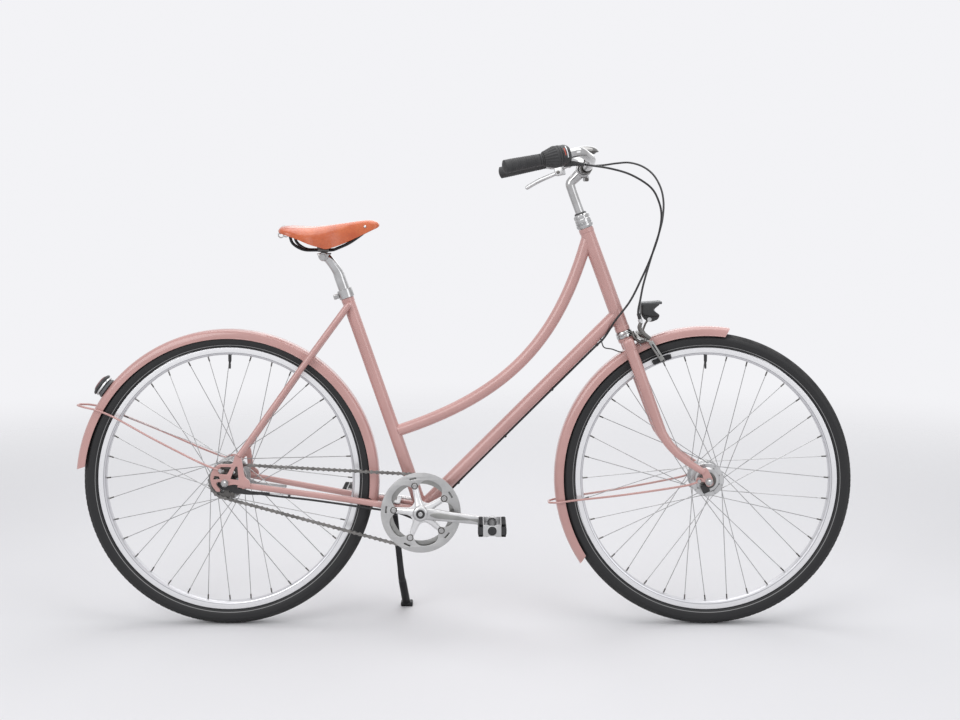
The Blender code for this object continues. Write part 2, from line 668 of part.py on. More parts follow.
def toothed_outline(teeth, phase):
    """Each tooth is a tip between two roots."""
    pitch = pitch_radius(teeth)
    step = math.tau / teeth
    outline = []
    for i in range(teeth):
        middle = phase + step * i
        for part, radius in ((-0.45, pitch - TOOTH_ROOT), (0.0, pitch + TOOTH_RISE)):
            angle = middle + step * part
            outline.append((radius * math.cos(angle), radius * math.sin(angle)))
    return outline


RING_HOLE = BOLT_CIRCLE_RADIUS - 6
RING_CENTRE = BRACKET + Y_AXIS * CHAIN_LINE
piece("chainring", plate([toothed_outline(CHAINRING_TEETH, 0.0), round_points(RING_HOLE, 24)],
                         RING_CENTRE, X_AXIS, Z_AXIS, RING_THICKNESS), "crankset", POLISHED)

COG_CARRIER_RADIUS = 16.0
COG_RING = plate([toothed_outline(COG_TEETH, 0.1), round_points(COG_CARRIER_RADIUS - 3, 12)],
                 REAR_AXLE + Y_AXIS * CHAIN_LINE, X_AXIS, Z_AXIS, RING_THICKNESS)
COG_CARRIER = [(BORE, COG_HUB_END), (COG_CARRIER_RADIUS, COG_HUB_END),
               (COG_CARRIER_RADIUS, REAR_HUB_RIGHT - GAP), (BORE, REAR_HUB_RIGHT - GAP)]
piece("rear_cog", turned(COG_CARRIER, REAR_AXLE, Y_AXIS, 16), "rear_cog", DARK_STEEL, add=[COG_RING])

CHAIN_HALF_WIDTH = 3.6
CHAIN_INNER_HALF = RING_THICKNESS / 2 + 0.6
CHAIN_REACH = 4.0              # side plates reach this far to each side of the pitch line
CHAIN_COVER = TOOTH_RISE + 0.8


def chain_path():
    """The pitch line's points and outward directions round the chainring and the cog."""
    big = pitch_radius(CHAINRING_TEETH)
    small = pitch_radius(COG_TEETH)
    line = BRACKET - REAR_AXLE
    distance = Vector((line.x, line.z)).length
    tilt = math.atan2(line.z, line.x)
    splay = math.asin((big - small) / distance)
    path = []
    front_start = tilt - math.pi / 2 - splay
    front_turn = math.pi + 2 * splay
    for i in range(23):
        path.append((BRACKET, big, front_start + front_turn * i / 22))
    rear_start = tilt + math.pi / 2 + splay
    rear_turn = math.pi - 2 * splay
    for i in range(13):
        path.append((REAR_AXLE, small, rear_start + rear_turn * i / 12))
    return path


def chain():
    rings = []
    for centre, radius, angle in chain_path():
        outward = Vector((math.cos(angle), 0, math.sin(angle)))
        base = centre + outward * radius + Y_AXIS * CHAIN_LINE
        profile = [(-CHAIN_HALF_WIDTH, -CHAIN_REACH), (-CHAIN_HALF_WIDTH, CHAIN_COVER + 1.4),
                   (CHAIN_HALF_WIDTH, CHAIN_COVER + 1.4), (CHAIN_HALF_WIDTH, -CHAIN_REACH),
                   (CHAIN_INNER_HALF, -CHAIN_REACH), (CHAIN_INNER_HALF, CHAIN_COVER),
                   (-CHAIN_INNER_HALF, CHAIN_COVER), (-CHAIN_INNER_HALF, -CHAIN_REACH)]
        rings.append([base + Y_AXIS * y + outward * r for y, r in profile])
    return skin(rings, closed=True)


piece("chain", chain(), "frame", DARK_STEEL)

SPIDER_OUTER = CHAIN_LINE - RING_THICKNESS / 2 - GAP
SPIDER_THICKNESS = 3.6
SPIDER_CENTRE = SPIDER_OUTER - SPIDER_THICKNESS / 2
DISC_THICKNESS = 2.4
DISC_CENTRE = SPIDER_CENTRE - SPIDER_THICKNESS / 2 - GAP - DISC_THICKNESS / 2
SPIDER_FIRST = CRANK_START + math.pi / SPIDER_ARMS


def spider_outline():
    """Five tapered arms with round ends, joined by arcs near the boss."""
    outline = []
    for i in range(SPIDER_ARMS):
        a = SPIDER_FIRST + math.tau * i / SPIDER_ARMS
        for radius, shift in ((26, -0.36), (BOLT_CIRCLE_RADIUS - 4, -0.115),
                              (BOLT_CIRCLE_RADIUS + 7, -0.07), (BOLT_CIRCLE_RADIUS + 7, 0.07),
                              (BOLT_CIRCLE_RADIUS - 4, 0.115), (26, 0.36)):
            outline.append((radius * math.cos(a + shift), radius * math.sin(a + shift)))
    return outline


def crank_tip(side):
    """The middle of the pedal eye: the right crank points forwards, the left one backwards."""
    direction = Vector((math.cos(CRANK_START), 0, math.sin(CRANK_START)))
    return BRACKET + direction * CRANK_LENGTH * -side


CRANK_TIP_THICKNESS = 13.0
PEDAL_AXLE_RADIUS = 5.0
PEDAL_GAP = 2.0
BOSS_RADIUS = 19.0
TIP_RADIUS = 13.0


def crank_arm(side, boss_side):
    """A flattened bar from the boss out to the pedal eye."""
    tip = crank_tip(side)
    tip_side = CRANK_TIP_OUTER - CRANK_TIP_THICKNESS / 2
    path = []
    for share, y in ((0.0, boss_side), (0.16, boss_side), (0.45, mix(boss_side, tip_side, 0.45)),
                     (0.8, tip_side), (1.0, tip_side)):
        path.append(mix(BRACKET, tip, share) + Y_AXIS * side * y)
    return tube(path, [15, 14.5, 12.5, 11.5, 11], 8, flat=[0.42, 0.42, 0.46, 0.52, 0.56])


def pedal_eye(side):
    """The crank's end with the pedal's spindle standing out of it."""
    tip = crank_tip(side)
    inner = CRANK_TIP_OUTER - CRANK_TIP_THICKNESS
    reach = CRANK_TIP_OUTER + PEDAL_GAP + PEDAL_WIDTH - 8
    profile = [(0, inner), (TIP_RADIUS, inner), (TIP_RADIUS, CRANK_TIP_OUTER),
               (PEDAL_AXLE_RADIUS, CRANK_TIP_OUTER), (PEDAL_AXLE_RADIUS, reach), (0, reach)]
    return turned(profile, tip, Y_AXIS * side, 10)


CRANK_AXLE_HALF = 58.0
BOSS_OUTER = 71.0


def boss(side, inner):
    profile = [(0, inner), (BOSS_RADIUS, inner), (BOSS_RADIUS, BOSS_OUTER - 4), (12, BOSS_OUTER),
               (0, BOSS_OUTER)]
    return turned(profile, BRACKET, Y_AXIS * side, 14)


def axle_hole(side):
    return rod(BRACKET + Y_AXIS * side * (SHELL_HALF - 5),
               BRACKET + Y_AXIS * side * (CRANK_AXLE_HALF + GAP), CRANK_AXLE_RADIUS + GAP, 16)


piece("crank_axle", rod(BRACKET - Y_AXIS * CRANK_AXLE_HALF, BRACKET + Y_AXIS * CRANK_AXLE_HALF,
                        CRANK_AXLE_RADIUS, 16), "crankset", DARK_STEEL)
CRANK_ARM_SIDE = 62.5
SPIDER = plate([spider_outline()], BRACKET + Y_AXIS * SPIDER_CENTRE, X_AXIS, Z_AXIS, SPIDER_THICKNESS)
piece("right_crank", boss(-1, -SPIDER_OUTER), "crankset", POLISHED,
      add=[SPIDER, crank_arm(-1, CRANK_ARM_SIDE), pedal_eye(-1)], remove=[axle_hole(-1)])
LEFT_BOSS_INNER = 45.0
piece("left_crank", boss(1, LEFT_BOSS_INNER), "crankset", POLISHED,
      add=[crank_arm(1, CRANK_ARM_SIDE), pedal_eye(1)], remove=[axle_hole(1)])
piece("chain_disc", plate([round_points(CHAIN_DISC_RADIUS, 40), round_points(CHAIN_DISC_HOLE - 8, 30)],
                          BRACKET + Y_AXIS * DISC_CENTRE, X_AXIS, Z_AXIS, DISC_THICKNESS),
      "crankset", GREY_METAL)

WINDOW_EDGE = 9.0
BARREL_HALF = 9.5
PEDAL_CHAMFER = 5.0


def pedal_outlines():
    x = PEDAL_LENGTH / 2
    y = PEDAL_WIDTH / 2
    c = PEDAL_CHAMFER
    outer = [(-x, -y + c), (-x + c, -y), (x - c, -y), (x, -y + c), (x, y - c), (x - c, y),
             (-x + c, y), (-x, y - c)]
    windows = []
    for way in (-1, 1):
        near = way * BARREL_HALF
        far = way * (x - WINDOW_EDGE)
        windows.append([(near, -y + WINDOW_EDGE), (far, -y + WINDOW_EDGE), (far, y - WINDOW_EDGE),
                        (near, y - WINDOW_EDGE)])
    return [outer, *windows]


for side, word in ((-1, "right"), (1, "left")):
    tip = crank_tip(side)
    pivot(f"{word}_pedal", tip, "crankset")
    middle = tip + Y_AXIS * side * (CRANK_TIP_OUTER + PEDAL_GAP + PEDAL_WIDTH / 2)
    hole = rod(tip + Y_AXIS * side * CRANK_TIP_OUTER,
               tip + Y_AXIS * side * (CRANK_TIP_OUTER + PEDAL_GAP + PEDAL_WIDTH - 8 + GAP),
               PEDAL_AXLE_RADIUS + GAP, 12)
    piece(f"{word}_pedal", plate(pedal_outlines(), middle, X_AXIS, Y_AXIS, PEDAL_THICKNESS),
          f"{word}_pedal", BLACK_PLASTIC, remove=[hole])


# Fork. Its crown carries the brake's bolt on a short boss.
CALIPER_TILT = math.radians(33.5)
BOLT_WAY = Vector((math.cos(CALIPER_TILT), 0, math.sin(CALIPER_TILT)))
ARM_WAY = Vector((math.sin(CALIPER_TILT), 0, -math.cos(CALIPER_TILT)))
CROWN_CENTRE = head_point(CROWN_TO_AXLE - CROWN_RADIUS - 1.0)
BOLT_FACE = 16.0
BOLT_BOSS_RADIUS = 8.0


def fork_path(side):
    """One leg from the crown's middle round to the wheel end, as (point, radius, sideways scale)."""
    blade_x = FORK_BLADE_OFFSET
    foot_x = FRONT_DROPOUT_SPACING / 2 + DROPOUT_THICKNESS / 2
    crown = CROWN_TO_AXLE - CROWN_RADIUS - 1.0
    bend = (FORK_RAKE - 3.3) / (FORK_BEND_START - FORK_BLADE_END)**2
    rows = [(crown, 0.0, 12.0, 1.0), (crown - 1.0, blade_x * 0.5, 12.0, 1.0),
            (crown - 9.0, blade_x * 0.86, 12.5, 0.94), (crown - 26.0, blade_x, 14.0, 0.8),
            (crown - 70.0, blade_x + 1.0, 14.5, 0.76), (FORK_BEND_START, blade_x + 5, 12.8, 0.78)]
    for k in range(1, 6):
        along = mix(FORK_BEND_START, FORK_BLADE_END, k / 5)
        rows.append((along, mix(blade_x + 5, foot_x, k / 5), mix(12.8, 7.5, k / 5), 0.84))
    result = []
    for along, y, radius, flat in rows:
        drop = max(FORK_BEND_START - along, 0)
        result.append((head_point(along, bend * drop * drop, y * side), radius, flat))
    return result


def fork_bar():
    right = fork_path(-1)
    left = fork_path(1)
    rows = right[:0:-1] + left
    points = [row[0] for row in rows]
    return tube(points, [row[1] for row in rows], 8, flat=[row[2] for row in rows])


FORK_END_OUTLINE = [(-9, -12), (9, -12), (13, 8), (8, 34), (-8, 34), (-14, 10)]
STEERER = pipe(head_point(CROWN_TO_AXLE - 14), head_point(LOCKNUT_END - 2), QUILL_RADIUS + GAP,
               STEERER_RADIUS, 16)


def fork_end(side):
    middle = FRONT_AXLE + Y_AXIS * side * (FRONT_DROPOUT_SPACING + DROPOUT_THICKNESS) / 2
    return plate([FORK_END_OUTLINE, round_points(SLOT_RADIUS, 10)], middle, HEAD_FRONT, HEAD_UP,
                 DROPOUT_THICKNESS)


piece("fork", fork_bar(), "steering", PINK_PAINT, add=[STEERER, fork_end(-1), fork_end(1),
           rod(CROWN_CENTRE, CROWN_CENTRE + BOLT_WAY * BOLT_FACE, BOLT_BOSS_RADIUS, 12)])
LOCKNUT_PROFILE = [(STEERER_RADIUS + GAP, GAP), (CUP_RADIUS - 1, GAP), (CUP_RADIUS - 1, 9), (17.5, 10),
                   (17.5, LOCKNUT_HEIGHT - 3), (15, LOCKNUT_HEIGHT),
                   (STEERER_RADIUS + GAP, LOCKNUT_HEIGHT)]
piece("headset_locknut", turned(LOCKNUT_PROFILE, head_point(LOCKNUT_START), HEAD_UP, 20),
      "steering", POLISHED)

# Stem and handlebar
CLAMP_RADIUS = 18.0
CLAMP_HALF = 19.0
QUILL_PATH = [head_point(LOCKNUT_END - QUILL_DEPTH), head_point(STEM_TOP - 12),
              head_point(STEM_TOP, 3), mix(head_point(STEM_TOP), BAR_CLAMP, 0.45),
              mix(head_point(STEM_TOP), BAR_CLAMP, 0.9)]
CLAMP_BARREL = rod(BAR_CLAMP - Y_AXIS * CLAMP_HALF, BAR_CLAMP + Y_AXIS * CLAMP_HALF, CLAMP_RADIUS, 16)
CLAMP_BORE = rod(BAR_CLAMP - Y_AXIS * (CLAMP_HALF + 5), BAR_CLAMP + Y_AXIS * (CLAMP_HALF + 5),
                 BAR_CENTRE_RADIUS + GAP, 24)
CLAMP_LUG = block(BAR_CLAMP + Vector((6, 0, -CLAMP_RADIUS - 4)), (14, 22, 16), bevel=2.5)
piece("handlebar_stem", tube(QUILL_PATH, [QUILL_RADIUS, QUILL_RADIUS, 11.5, 12.5, 14.0], 16),
      "steering", POLISHED, add=[CLAMP_BARREL, CLAMP_LUG], remove=[CLAMP_BORE])

BAR_DROP_TO_END = -1.0
BAR_SWEEP = 196.0              # from the clamp back to the grip ends
GRIP_DIRECTION = Vector((0.937, -0.29, 0.19)).normalized()


def bar_end(side):
    """The bar's open end under the grip cap."""
    return BAR_CLAMP + Vector((-BAR_SWEEP, side * BAR_HALF_WIDTH, BAR_DROP_TO_END))


def grip_direction(side):
    """From a grip's outer end towards the front."""
    return Vector((GRIP_DIRECTION.x, GRIP_DIRECTION.y * side, GRIP_DIRECTION.z))


BAR_STRAIGHT = 182.0


def bar_half(side):
    """Points from the bar's outer end to the clamp's edge."""
    end = bar_end(side)
    way = grip_direction(side)
    knots = [end + way * BAR_STRAIGHT, BAR_CLAMP + Vector((-6, side * 196, 34)),
             BAR_CLAMP + Vector((7, side * 145, 29)), BAR_CLAMP + Vector((6, side * 90, 14)),
             BAR_CLAMP + Vector((1, side * 45, 1.5)), BAR_CLAMP + Vector((0, side * 22, 0))]
    curve = smooth_path([end + way * (BAR_STRAIGHT - 30), *knots], 15)
    return [end, *curve]


def handlebar():
    right = bar_half(-1)
    left = bar_half(1)
    points = right + left[::-1]
    radii = []
    for point in points:
        near = abs(point.y) < CLAMP_HALF + 12
        radii.append(BAR_CENTRE_RADIUS if near else BAR_RADIUS)
    return tube(points, radii, 8)


piece("handlebar", handlebar(), "steering", POLISHED)


def grip_profile(length):
    """A sleeve with a closed end; it starts at the bar's end and runs forwards."""
    r = BAR_RADIUS + GAP + 0.2
    return [(0, -4), (GRIP_RADIUS - 1.5, -4), (GRIP_RADIUS, -1), (GRIP_RADIUS, length), (r, length),
            (r, -GAP), (0, -GAP)]


for side, word, length in ((-1, "right", RIGHT_GRIP_LENGTH), (1, "left", LEFT_GRIP_LENGTH)):
    piece(f"{word}_grip", turned(grip_profile(length), bar_end(side), grip_direction(side), 16),
          "steering", BLACK_PLASTIC)

SHIFTER_START = bar_end(-1) + grip_direction(-1) * (RIGHT_GRIP_LENGTH + GAP)
pivot("twist_shifter", SHIFTER_START, "steering")
SLEEVE_BORE = BAR_RADIUS + GAP + 0.2
SLEEVE_LENGTH = 34.0
SLEEVE_PROFILE = [(SLEEVE_BORE, 0), (GRIP_RADIUS + 1, 0), (20, 14), (23, 24), (23, SLEEVE_LENGTH),
                  (SLEEVE_BORE, SLEEVE_LENGTH)]
piece("twist_shifter", turned(SLEEVE_PROFILE, SHIFTER_START, grip_direction(-1), 20),
      "twist_shifter", BLACK_PLASTIC)
HOUSING_START = SHIFTER_START + grip_direction(-1) * (SLEEVE_LENGTH + GAP)
HOUSING_LENGTH = SHIFTER_LENGTH - SLEEVE_LENGTH
HOUSING_PROFILE = [(SLEEVE_BORE, 0), (24, 0), (24, HOUSING_LENGTH - 6), (19, HOUSING_LENGTH),
                   (SLEEVE_BORE, HOUSING_LENGTH)]
SHIFTER_NOSE = HOUSING_START + grip_direction(-1) * 10 + Vector((0, 0, -19))
SHIFTER_EXIT = SHIFTER_NOSE + Vector((34, 0, 1))
piece("shifter_housing", turned(HOUSING_PROFILE, HOUSING_START, grip_direction(-1), 20), "steering",
      BLACK_PLASTIC, add=[tube([SHIFTER_NOSE, SHIFTER_NOSE + Vector((20, 0, 0)), SHIFTER_EXIT],
                               [8, 6, 4], 10)])

# Brake lever on the left
LEVER_WAY = grip_direction(1)
LEVER_CLAMP = bar_end(1) + LEVER_WAY * (LEFT_GRIP_LENGTH + 9)
LEVER_SIDE = LEVER_WAY.cross(Z_AXIS).normalized()
LEVER_DOWN = LEVER_WAY.cross(LEVER_SIDE).normalized()
if LEVER_DOWN.z > 0:
    LEVER_DOWN = -LEVER_DOWN
LEVER_PIVOT = LEVER_CLAMP + LEVER_WAY * 22 + LEVER_DOWN * 30
pivot("brake_lever", LEVER_PIVOT, "steering")
CLAMP_RING = [(SLEEVE_BORE, -7), (16, -7), (16, 7), (SLEEVE_BORE, 7)]
BRACKET_ARM = tube([LEVER_CLAMP + LEVER_DOWN * 13.5, LEVER_CLAMP + LEVER_WAY * 10 + LEVER_DOWN * 17,
                    LEVER_CLAMP + LEVER_WAY * 26 + LEVER_DOWN * 20], [6.5, 7.0, 7.5], 10)
LEVER_HOUSING = block(LEVER_PIVOT + LEVER_WAY * 2 - LEVER_DOWN * 3, (24, 17, 24), LEVER_WAY, LEVER_SIDE,
                      bevel=2.5)
LEVER_SLOT = block(LEVER_PIVOT - LEVER_WAY * 11 + LEVER_DOWN * 6, (38, 9.6, 26), LEVER_WAY, LEVER_SIDE)
LEVER_BARREL = LEVER_PIVOT + LEVER_WAY * 34 - LEVER_DOWN * 12
BARREL_START = LEVER_PIVOT + LEVER_WAY * 10 - LEVER_DOWN * 8
BARREL_WAY = (LEVER_BARREL - BARREL_START).normalized()
piece("lever_bracket", turned(CLAMP_RING, LEVER_CLAMP, LEVER_WAY, 12), "steering", POLISHED,
      add=[BRACKET_ARM, LEVER_HOUSING,
           rod(BARREL_START, LEVER_BARREL, 4.0, 8)],
      remove=[LEVER_SLOT, rod(bar_end(1) + LEVER_WAY * 100, bar_end(1) + LEVER_WAY * 155, SLEEVE_BORE, 16)])
LEVER_BLADE = [LEVER_PIVOT, LEVER_PIVOT - LEVER_WAY * 22 + LEVER_DOWN * 4,
               LEVER_PIVOT - LEVER_WAY * 60 + LEVER_DOWN * 12,
               LEVER_PIVOT - LEVER_WAY * 96 + LEVER_DOWN * 24]
piece("brake_lever", tube(LEVER_BLADE, [5.5, 5.5, 6.0, 5.5], 10, flat=[0.8, 0.9, 1.3, 1.1]),
      "brake_lever", POLISHED)

# Bell on the bar's right, beside the stem
BELL_SIDE = -58.0


def bar_at(side, sideways):
    """The bar's middle at a distance from the bike's plane, and its direction there."""
    path = bar_half(side)
    for a, b in zip(path, path[1:]):
        if abs(b.y) <= sideways <= abs(a.y):
            return mix(a, b, (abs(a.y) - sideways) / (abs(a.y) - abs(b.y))), (b - a).normalized()
    return path[-1], (path[-1] - path[-2]).normalized()


BELL_ON_BAR, BELL_BAR_WAY = bar_at(-1, -BELL_SIDE)
BELL_RADIUS = 29.0
BELL_BOTTOM = BELL_ON_BAR + Z_AXIS * 33
BELL_RING = turned([(BAR_RADIUS + GAP + 0.4, -6), (14.5, -6), (14.5, 6), (BAR_RADIUS + GAP + 0.4, 6)],
                   BELL_ON_BAR, BELL_BAR_WAY, 16)
BELL_PLATE = turned([(0, -6), (20, -5), (26, 0), (0, 0)], BELL_BOTTOM, Z_AXIS, 14)
piece("bell_base", BELL_RING, "steering", POLISHED,
      add=[rod(BELL_ON_BAR + Z_AXIS * 13, BELL_BOTTOM - Z_AXIS * 3, 6.0, 10), BELL_PLATE])
DOME = [(0, 14.5), (14, 12.8), (24, 7.5), (BELL_RADIUS, 0), (BELL_RADIUS - 1.6, 0),
        (22.5, 6.6), (13, 11.0), (3, 12.2), (3, GAP), (0, GAP)]
piece("bell_dome", turned(DOME, BELL_BOTTOM, Z_AXIS, 16), "steering", POLISHED)
BELL_LEVER_PIVOT = BELL_BOTTOM + Vector((-14, -12, -7.4))
pivot("bell_lever", BELL_LEVER_PIVOT, "steering")
piece("bell_lever", turned([(0, -2.4), (3.5, -2.4), (3.5, 2.0), (0, 2.0)], BELL_LEVER_PIVOT, Z_AXIS, 10),
      "bell_lever", POLISHED,
      add=[tube([BELL_LEVER_PIVOT, BELL_LEVER_PIVOT + Vector((-12, -6, -1)),
                 BELL_LEVER_PIVOT + Vector((-24, -6, -3))], [1.8, 2.0, 3.6], 8)])

# Rim brake in front of the crown

ARM_THICKNESS = 6.0
ARM_START = 25.0
ARM_BORE = 4.3
BOLT_RADIUS = 4.0
CALIPER_LENGTH = 80.0
RIM_BRAKE_RADIUS = RIM_TOP - 8.0
SHOE_GAP = 2.8
SHOE_THICKNESS = 9.5
SHOE_LENGTH = 46.0


def caliper_outline(side):
    """(left, down) from the pivot: a hub, a shoulder and a leg that reaches past the mudguard."""
    outline = [(-9, -6), (-27, -8), (-37, 4), (-39, 30), (-37, 62), (-31, 87), (-20, 87), (-22, 74),
               (-26.5, 64), (-28, 30), (-27, 10), (-14, 7), (0, 9), (7, 5), (9, 0), (7, -6), (0, -9)]
    return [(-side * a, b) for a, b in outline]


def shoe(side, level):
    """The block beside the rim, along the rim's tangent."""
    base = CROWN_CENTRE + BOLT_WAY * level + ARM_WAY * CALIPER_LENGTH
    outward = (base - FRONT_AXLE).normalized()
    centre = FRONT_AXLE + outward * RIM_BRAKE_RADIUS
    along = Y_AXIS.cross(outward).normalized()
    y = side * (RIM_WIDTH / 2 + SHOE_GAP + SHOE_THICKNESS / 2)
    return block(centre + Y_AXIS * y, (SHOE_LENGTH, SHOE_THICKNESS, 11), along, Y_AXIS, bevel=1.5)


for side, word, level in ((-1, "right", ARM_START + ARM_THICKNESS / 2),
                          (1, "left", ARM_START + ARM_THICKNESS * 1.5 + GAP)):
    centre = CROWN_CENTRE + BOLT_WAY * level
    pivot(f"{word}_brake_arm", centre, "steering")
    arm = plate([caliper_outline(side), round_points(ARM_BORE, 10)], centre, Y_AXIS, ARM_WAY,
                ARM_THICKNESS)
    piece(f"{word}_brake_arm", arm, f"{word}_brake_arm", POLISHED, add=[shoe(side, level)])

ARMS_END = ARM_START + ARM_THICKNESS * 2 + GAP
BOLT_PROFILE = [(0, BOLT_FACE + GAP), (8, BOLT_FACE + GAP), (8, ARM_START - GAP), (BOLT_RADIUS, ARM_START - GAP),
                (BOLT_RADIUS, ARMS_END + GAP), (8, ARMS_END + GAP), (8, ARMS_END + 7),
                (0, ARMS_END + 7)]
LAMP_FORWARD = 51.5935
LAMP_ABOVE = 56.0647
LAMP_PIVOT = CROWN_CENTRE + Vector((LAMP_FORWARD, 0, LAMP_ABOVE))
BRACKET_FOOT = CROWN_CENTRE + BOLT_WAY * (ARMS_END + 5)
piece("brake_bolt_and_lamp_bracket", turned(BOLT_PROFILE, CROWN_CENTRE, BOLT_WAY, 12), "steering",
      POLISHED,
      add=[tube([BRACKET_FOOT, mix(BRACKET_FOOT, LAMP_PIVOT, 0.5) + Vector((2, 0, 0)),
                 LAMP_PIVOT - Z_AXIS * 2], [3.0, 3.0, 3.0], 8, flat=[2.4, 2.4, 2.4]),
           rod(LAMP_PIVOT - Y_AXIS * 9, LAMP_PIVOT + Y_AXIS * 9, 4.5, 12)])
pivot("headlamp", LAMP_PIVOT, "steering")
LAMP_OUTLINE = [(-23, 12), (-25, 20), (-25, 38), (4, 44), (26, 43), (27, 39), (16, 34), (22, 16), (14, 8),
                (5, 4.7), (-5, 4.7), (-12, 6)]
LAMP_HALF_WIDTH = 25.0
piece("headlamp", plate([LAMP_OUTLINE], LAMP_PIVOT, X_AXIS, Z_AXIS, LAMP_HALF_WIDTH * 2), "headlamp",
      BLACK_PLASTIC)


# Mudguards
def guard_section():
    """(sideways, inward) pairs round the guard's thin arched wall."""
    half = MUDGUARD_HALF_WIDTH
    depth = MUDGUARD_DEPTH
    outer = [(-half, -depth), (-half + 1.5, -depth * 0.42), (-half * 0.5, 0),
             (half * 0.5, 0), (half - 1.5, -depth * 0.42), (half, -depth)]
    wall = MUDGUARD_WALL
    inner = [(half - wall, -depth), (half - 1.5 - wall, -depth * 0.42 - wall * 0.6),
             (half * 0.47, -wall), (-half * 0.47, -wall),
             (-half + 1.5 + wall, -depth * 0.42 - wall * 0.6), (-half + wall, -depth)]
    return outer + inner


def guard(centre, radius, start, end, steps):
    rings = []
    for i in range(steps + 1):
        angle = math.radians(mix(start, end, i / steps))
        rings.append([wheel_point(centre, radius + inward, angle, y) for y, inward in guard_section()])
    return skin(rings)


FRONT_GUARD_START = 81.0
FRONT_GUARD_END = 214.0
REAR_GUARD_START = -8.0
REAR_GUARD_END = 175.6
piece("front_mudguard", guard(FRONT_AXLE, FRONT_MUDGUARD_RADIUS, FRONT_GUARD_START, FRONT_GUARD_END, 20),
      "steering", PINK_PAINT)
piece("rear_mudguard", guard(REAR_MUDGUARD_CENTRE, REAR_MUDGUARD_RADIUS, REAR_GUARD_START,
                             REAR_GUARD_END, 25), "frame", PINK_PAINT)

ROD_SIDE = MUDGUARD_HALF_WIDTH + GAP + STAY_ROD_RADIUS


def u_rod(half_points, count):
    """A rod down one side, round the back and up the other side."""
    right = [Vector((x, -y, z)) for x, y, z in half_points]
    left = [Vector((x, y, z)) for x, y, z in half_points[:-1]]
    return tube(smooth_path(right + left[::-1], count), STAY_ROD_RADIUS, 6)




def from_axle(rows, axle, stretch):
    """Rod points given from the axle; they move out with the guard's radius."""
    return [(axle.x + x * stretch, y, axle.z + z * stretch) for x, y, z in rows]


EYELET_SIDE = REAR_OUTER + GAP + STAY_ROD_RADIUS
REAR_ROD_GUARD = 366.0         # the guard radius that the rear rod's points are drawn for
REAR_ROD = [(-6, EYELET_SIDE, 29), (-44, EYELET_SIDE, 43), (-90, 68, 63), (-181, 54, 106),
            (-270, ROD_SIDE + 2, 148), (-314, ROD_SIDE + 1, 166), (-345, 25, 173), (-363, 12, 175.5),
            (-368, 0, 175.5)]
piece("rear_mudguard_stay",
      u_rod(from_axle(REAR_ROD, REAR_AXLE, REAR_MUDGUARD_RADIUS / REAR_ROD_GUARD), 29), "frame", PINK_PAINT)
FRONT_ROD_SIDE = FRONT_OUTER + GAP + STAY_ROD_RADIUS
FRONT_ROD_GUARD = 367.0        # the guard radius that the front rod's points are drawn for
FRONT_ROD = [(-8, FRONT_ROD_SIDE, -8), (-60, FRONT_ROD_SIDE - 6, -14), (-200, 40, -34),
             (-318, ROD_SIDE + 0.6, -50), (-352, ROD_SIDE, -55), (-376, 14, -58), (-379, 0, -58.5)]
piece("front_mudguard_stay",
      u_rod(from_axle(FRONT_ROD, FRONT_AXLE, FRONT_MUDGUARD_RADIUS / FRONT_ROD_GUARD), 25), "steering",
      PINK_PAINT)

LAMP_ANGLE = math.radians(143)
LAMP_OUT = Vector((math.cos(LAMP_ANGLE), 0, math.sin(LAMP_ANGLE)))
LAMP_ALONG = Vector((-math.sin(LAMP_ANGLE), 0, math.cos(LAMP_ANGLE)))
REAR_LAMP_DEPTH = 24.0
piece("rear_lamp", block(REAR_MUDGUARD_CENTRE + LAMP_OUT * (REAR_MUDGUARD_RADIUS + GAP
                                                            + REAR_LAMP_DEPTH / 2),
                         (REAR_LAMP_DEPTH, 44, 50), LAMP_OUT, Y_AXIS, bevel=4.0), "frame", RED_LENS)

# Side stand. It stays inside the left crank and pedal, so the cranks can turn with it down.
STAND_PIVOT = BRACKET + Vector((-69, 44, -13))
STAND_RADIUS = 7.5
STAND_TOP = STAND_PIVOT
KNEE = Vector((BRACKET_X - 52, 60, 97))
FOOT_OUT = 128.0


def ground_height(y):
    """The leant bike's ground plane, in the upright bike's frame."""
    return y * math.tan(LEAN)


FOOT = Vector((BRACKET_X - 42, FOOT_OUT, ground_height(FOOT_OUT)))
STAY_AT_STAND = mix(REAR_AXLE, BRACKET, (BRACKET_X - 69) / BRACKET_X)
STAY_NORMAL = Vector((-STAY_SLOPE.z, 0, STAY_SLOPE.x))
UPPER_PLATE = block(STAY_AT_STAND + STAY_NORMAL * (CHAIN_STAY_RADIUS + 1.7), (34, 74, 4), STAY_SLOPE,
                    Y_AXIS, bevel=1.0)
LOWER_PLATE = block(STAY_AT_STAND - STAY_NORMAL * (CHAIN_STAY_RADIUS + 1.7) + Y_AXIS * 4, (34, 62, 4),
                    STAY_SLOPE, Y_AXIS, bevel=1.0)
STAND_BOLT = rod(STAY_AT_STAND - STAY_NORMAL * (CHAIN_STAY_RADIUS + 9),
                 STAY_AT_STAND + STAY_NORMAL * (CHAIN_STAY_RADIUS + 9), 5.0, 8)
STAND_BODY = block(STAY_AT_STAND - STAY_NORMAL * (CHAIN_STAY_RADIUS + 10) + Y_AXIS * 12, (30, 42, 16),
                   STAY_SLOPE, Y_AXIS, bevel=1.5)
STAND_HEAD = rod(STAND_PIVOT - Y_AXIS * 26, STAND_PIVOT - Y_AXIS * 9, 8.5, 14)
piece("stand_bracket", UPPER_PLATE, "frame", BLACK_PLASTIC,
      add=[STAND_BOLT, LOWER_PLATE, STAND_BODY, STAND_HEAD])
pivot("side_stand", STAND_PIVOT, "frame")
LEG_HEAD = rod(STAND_PIVOT - Y_AXIS * (9 - GAP), STAND_PIVOT + Y_AXIS * 8, 8.5, 14)
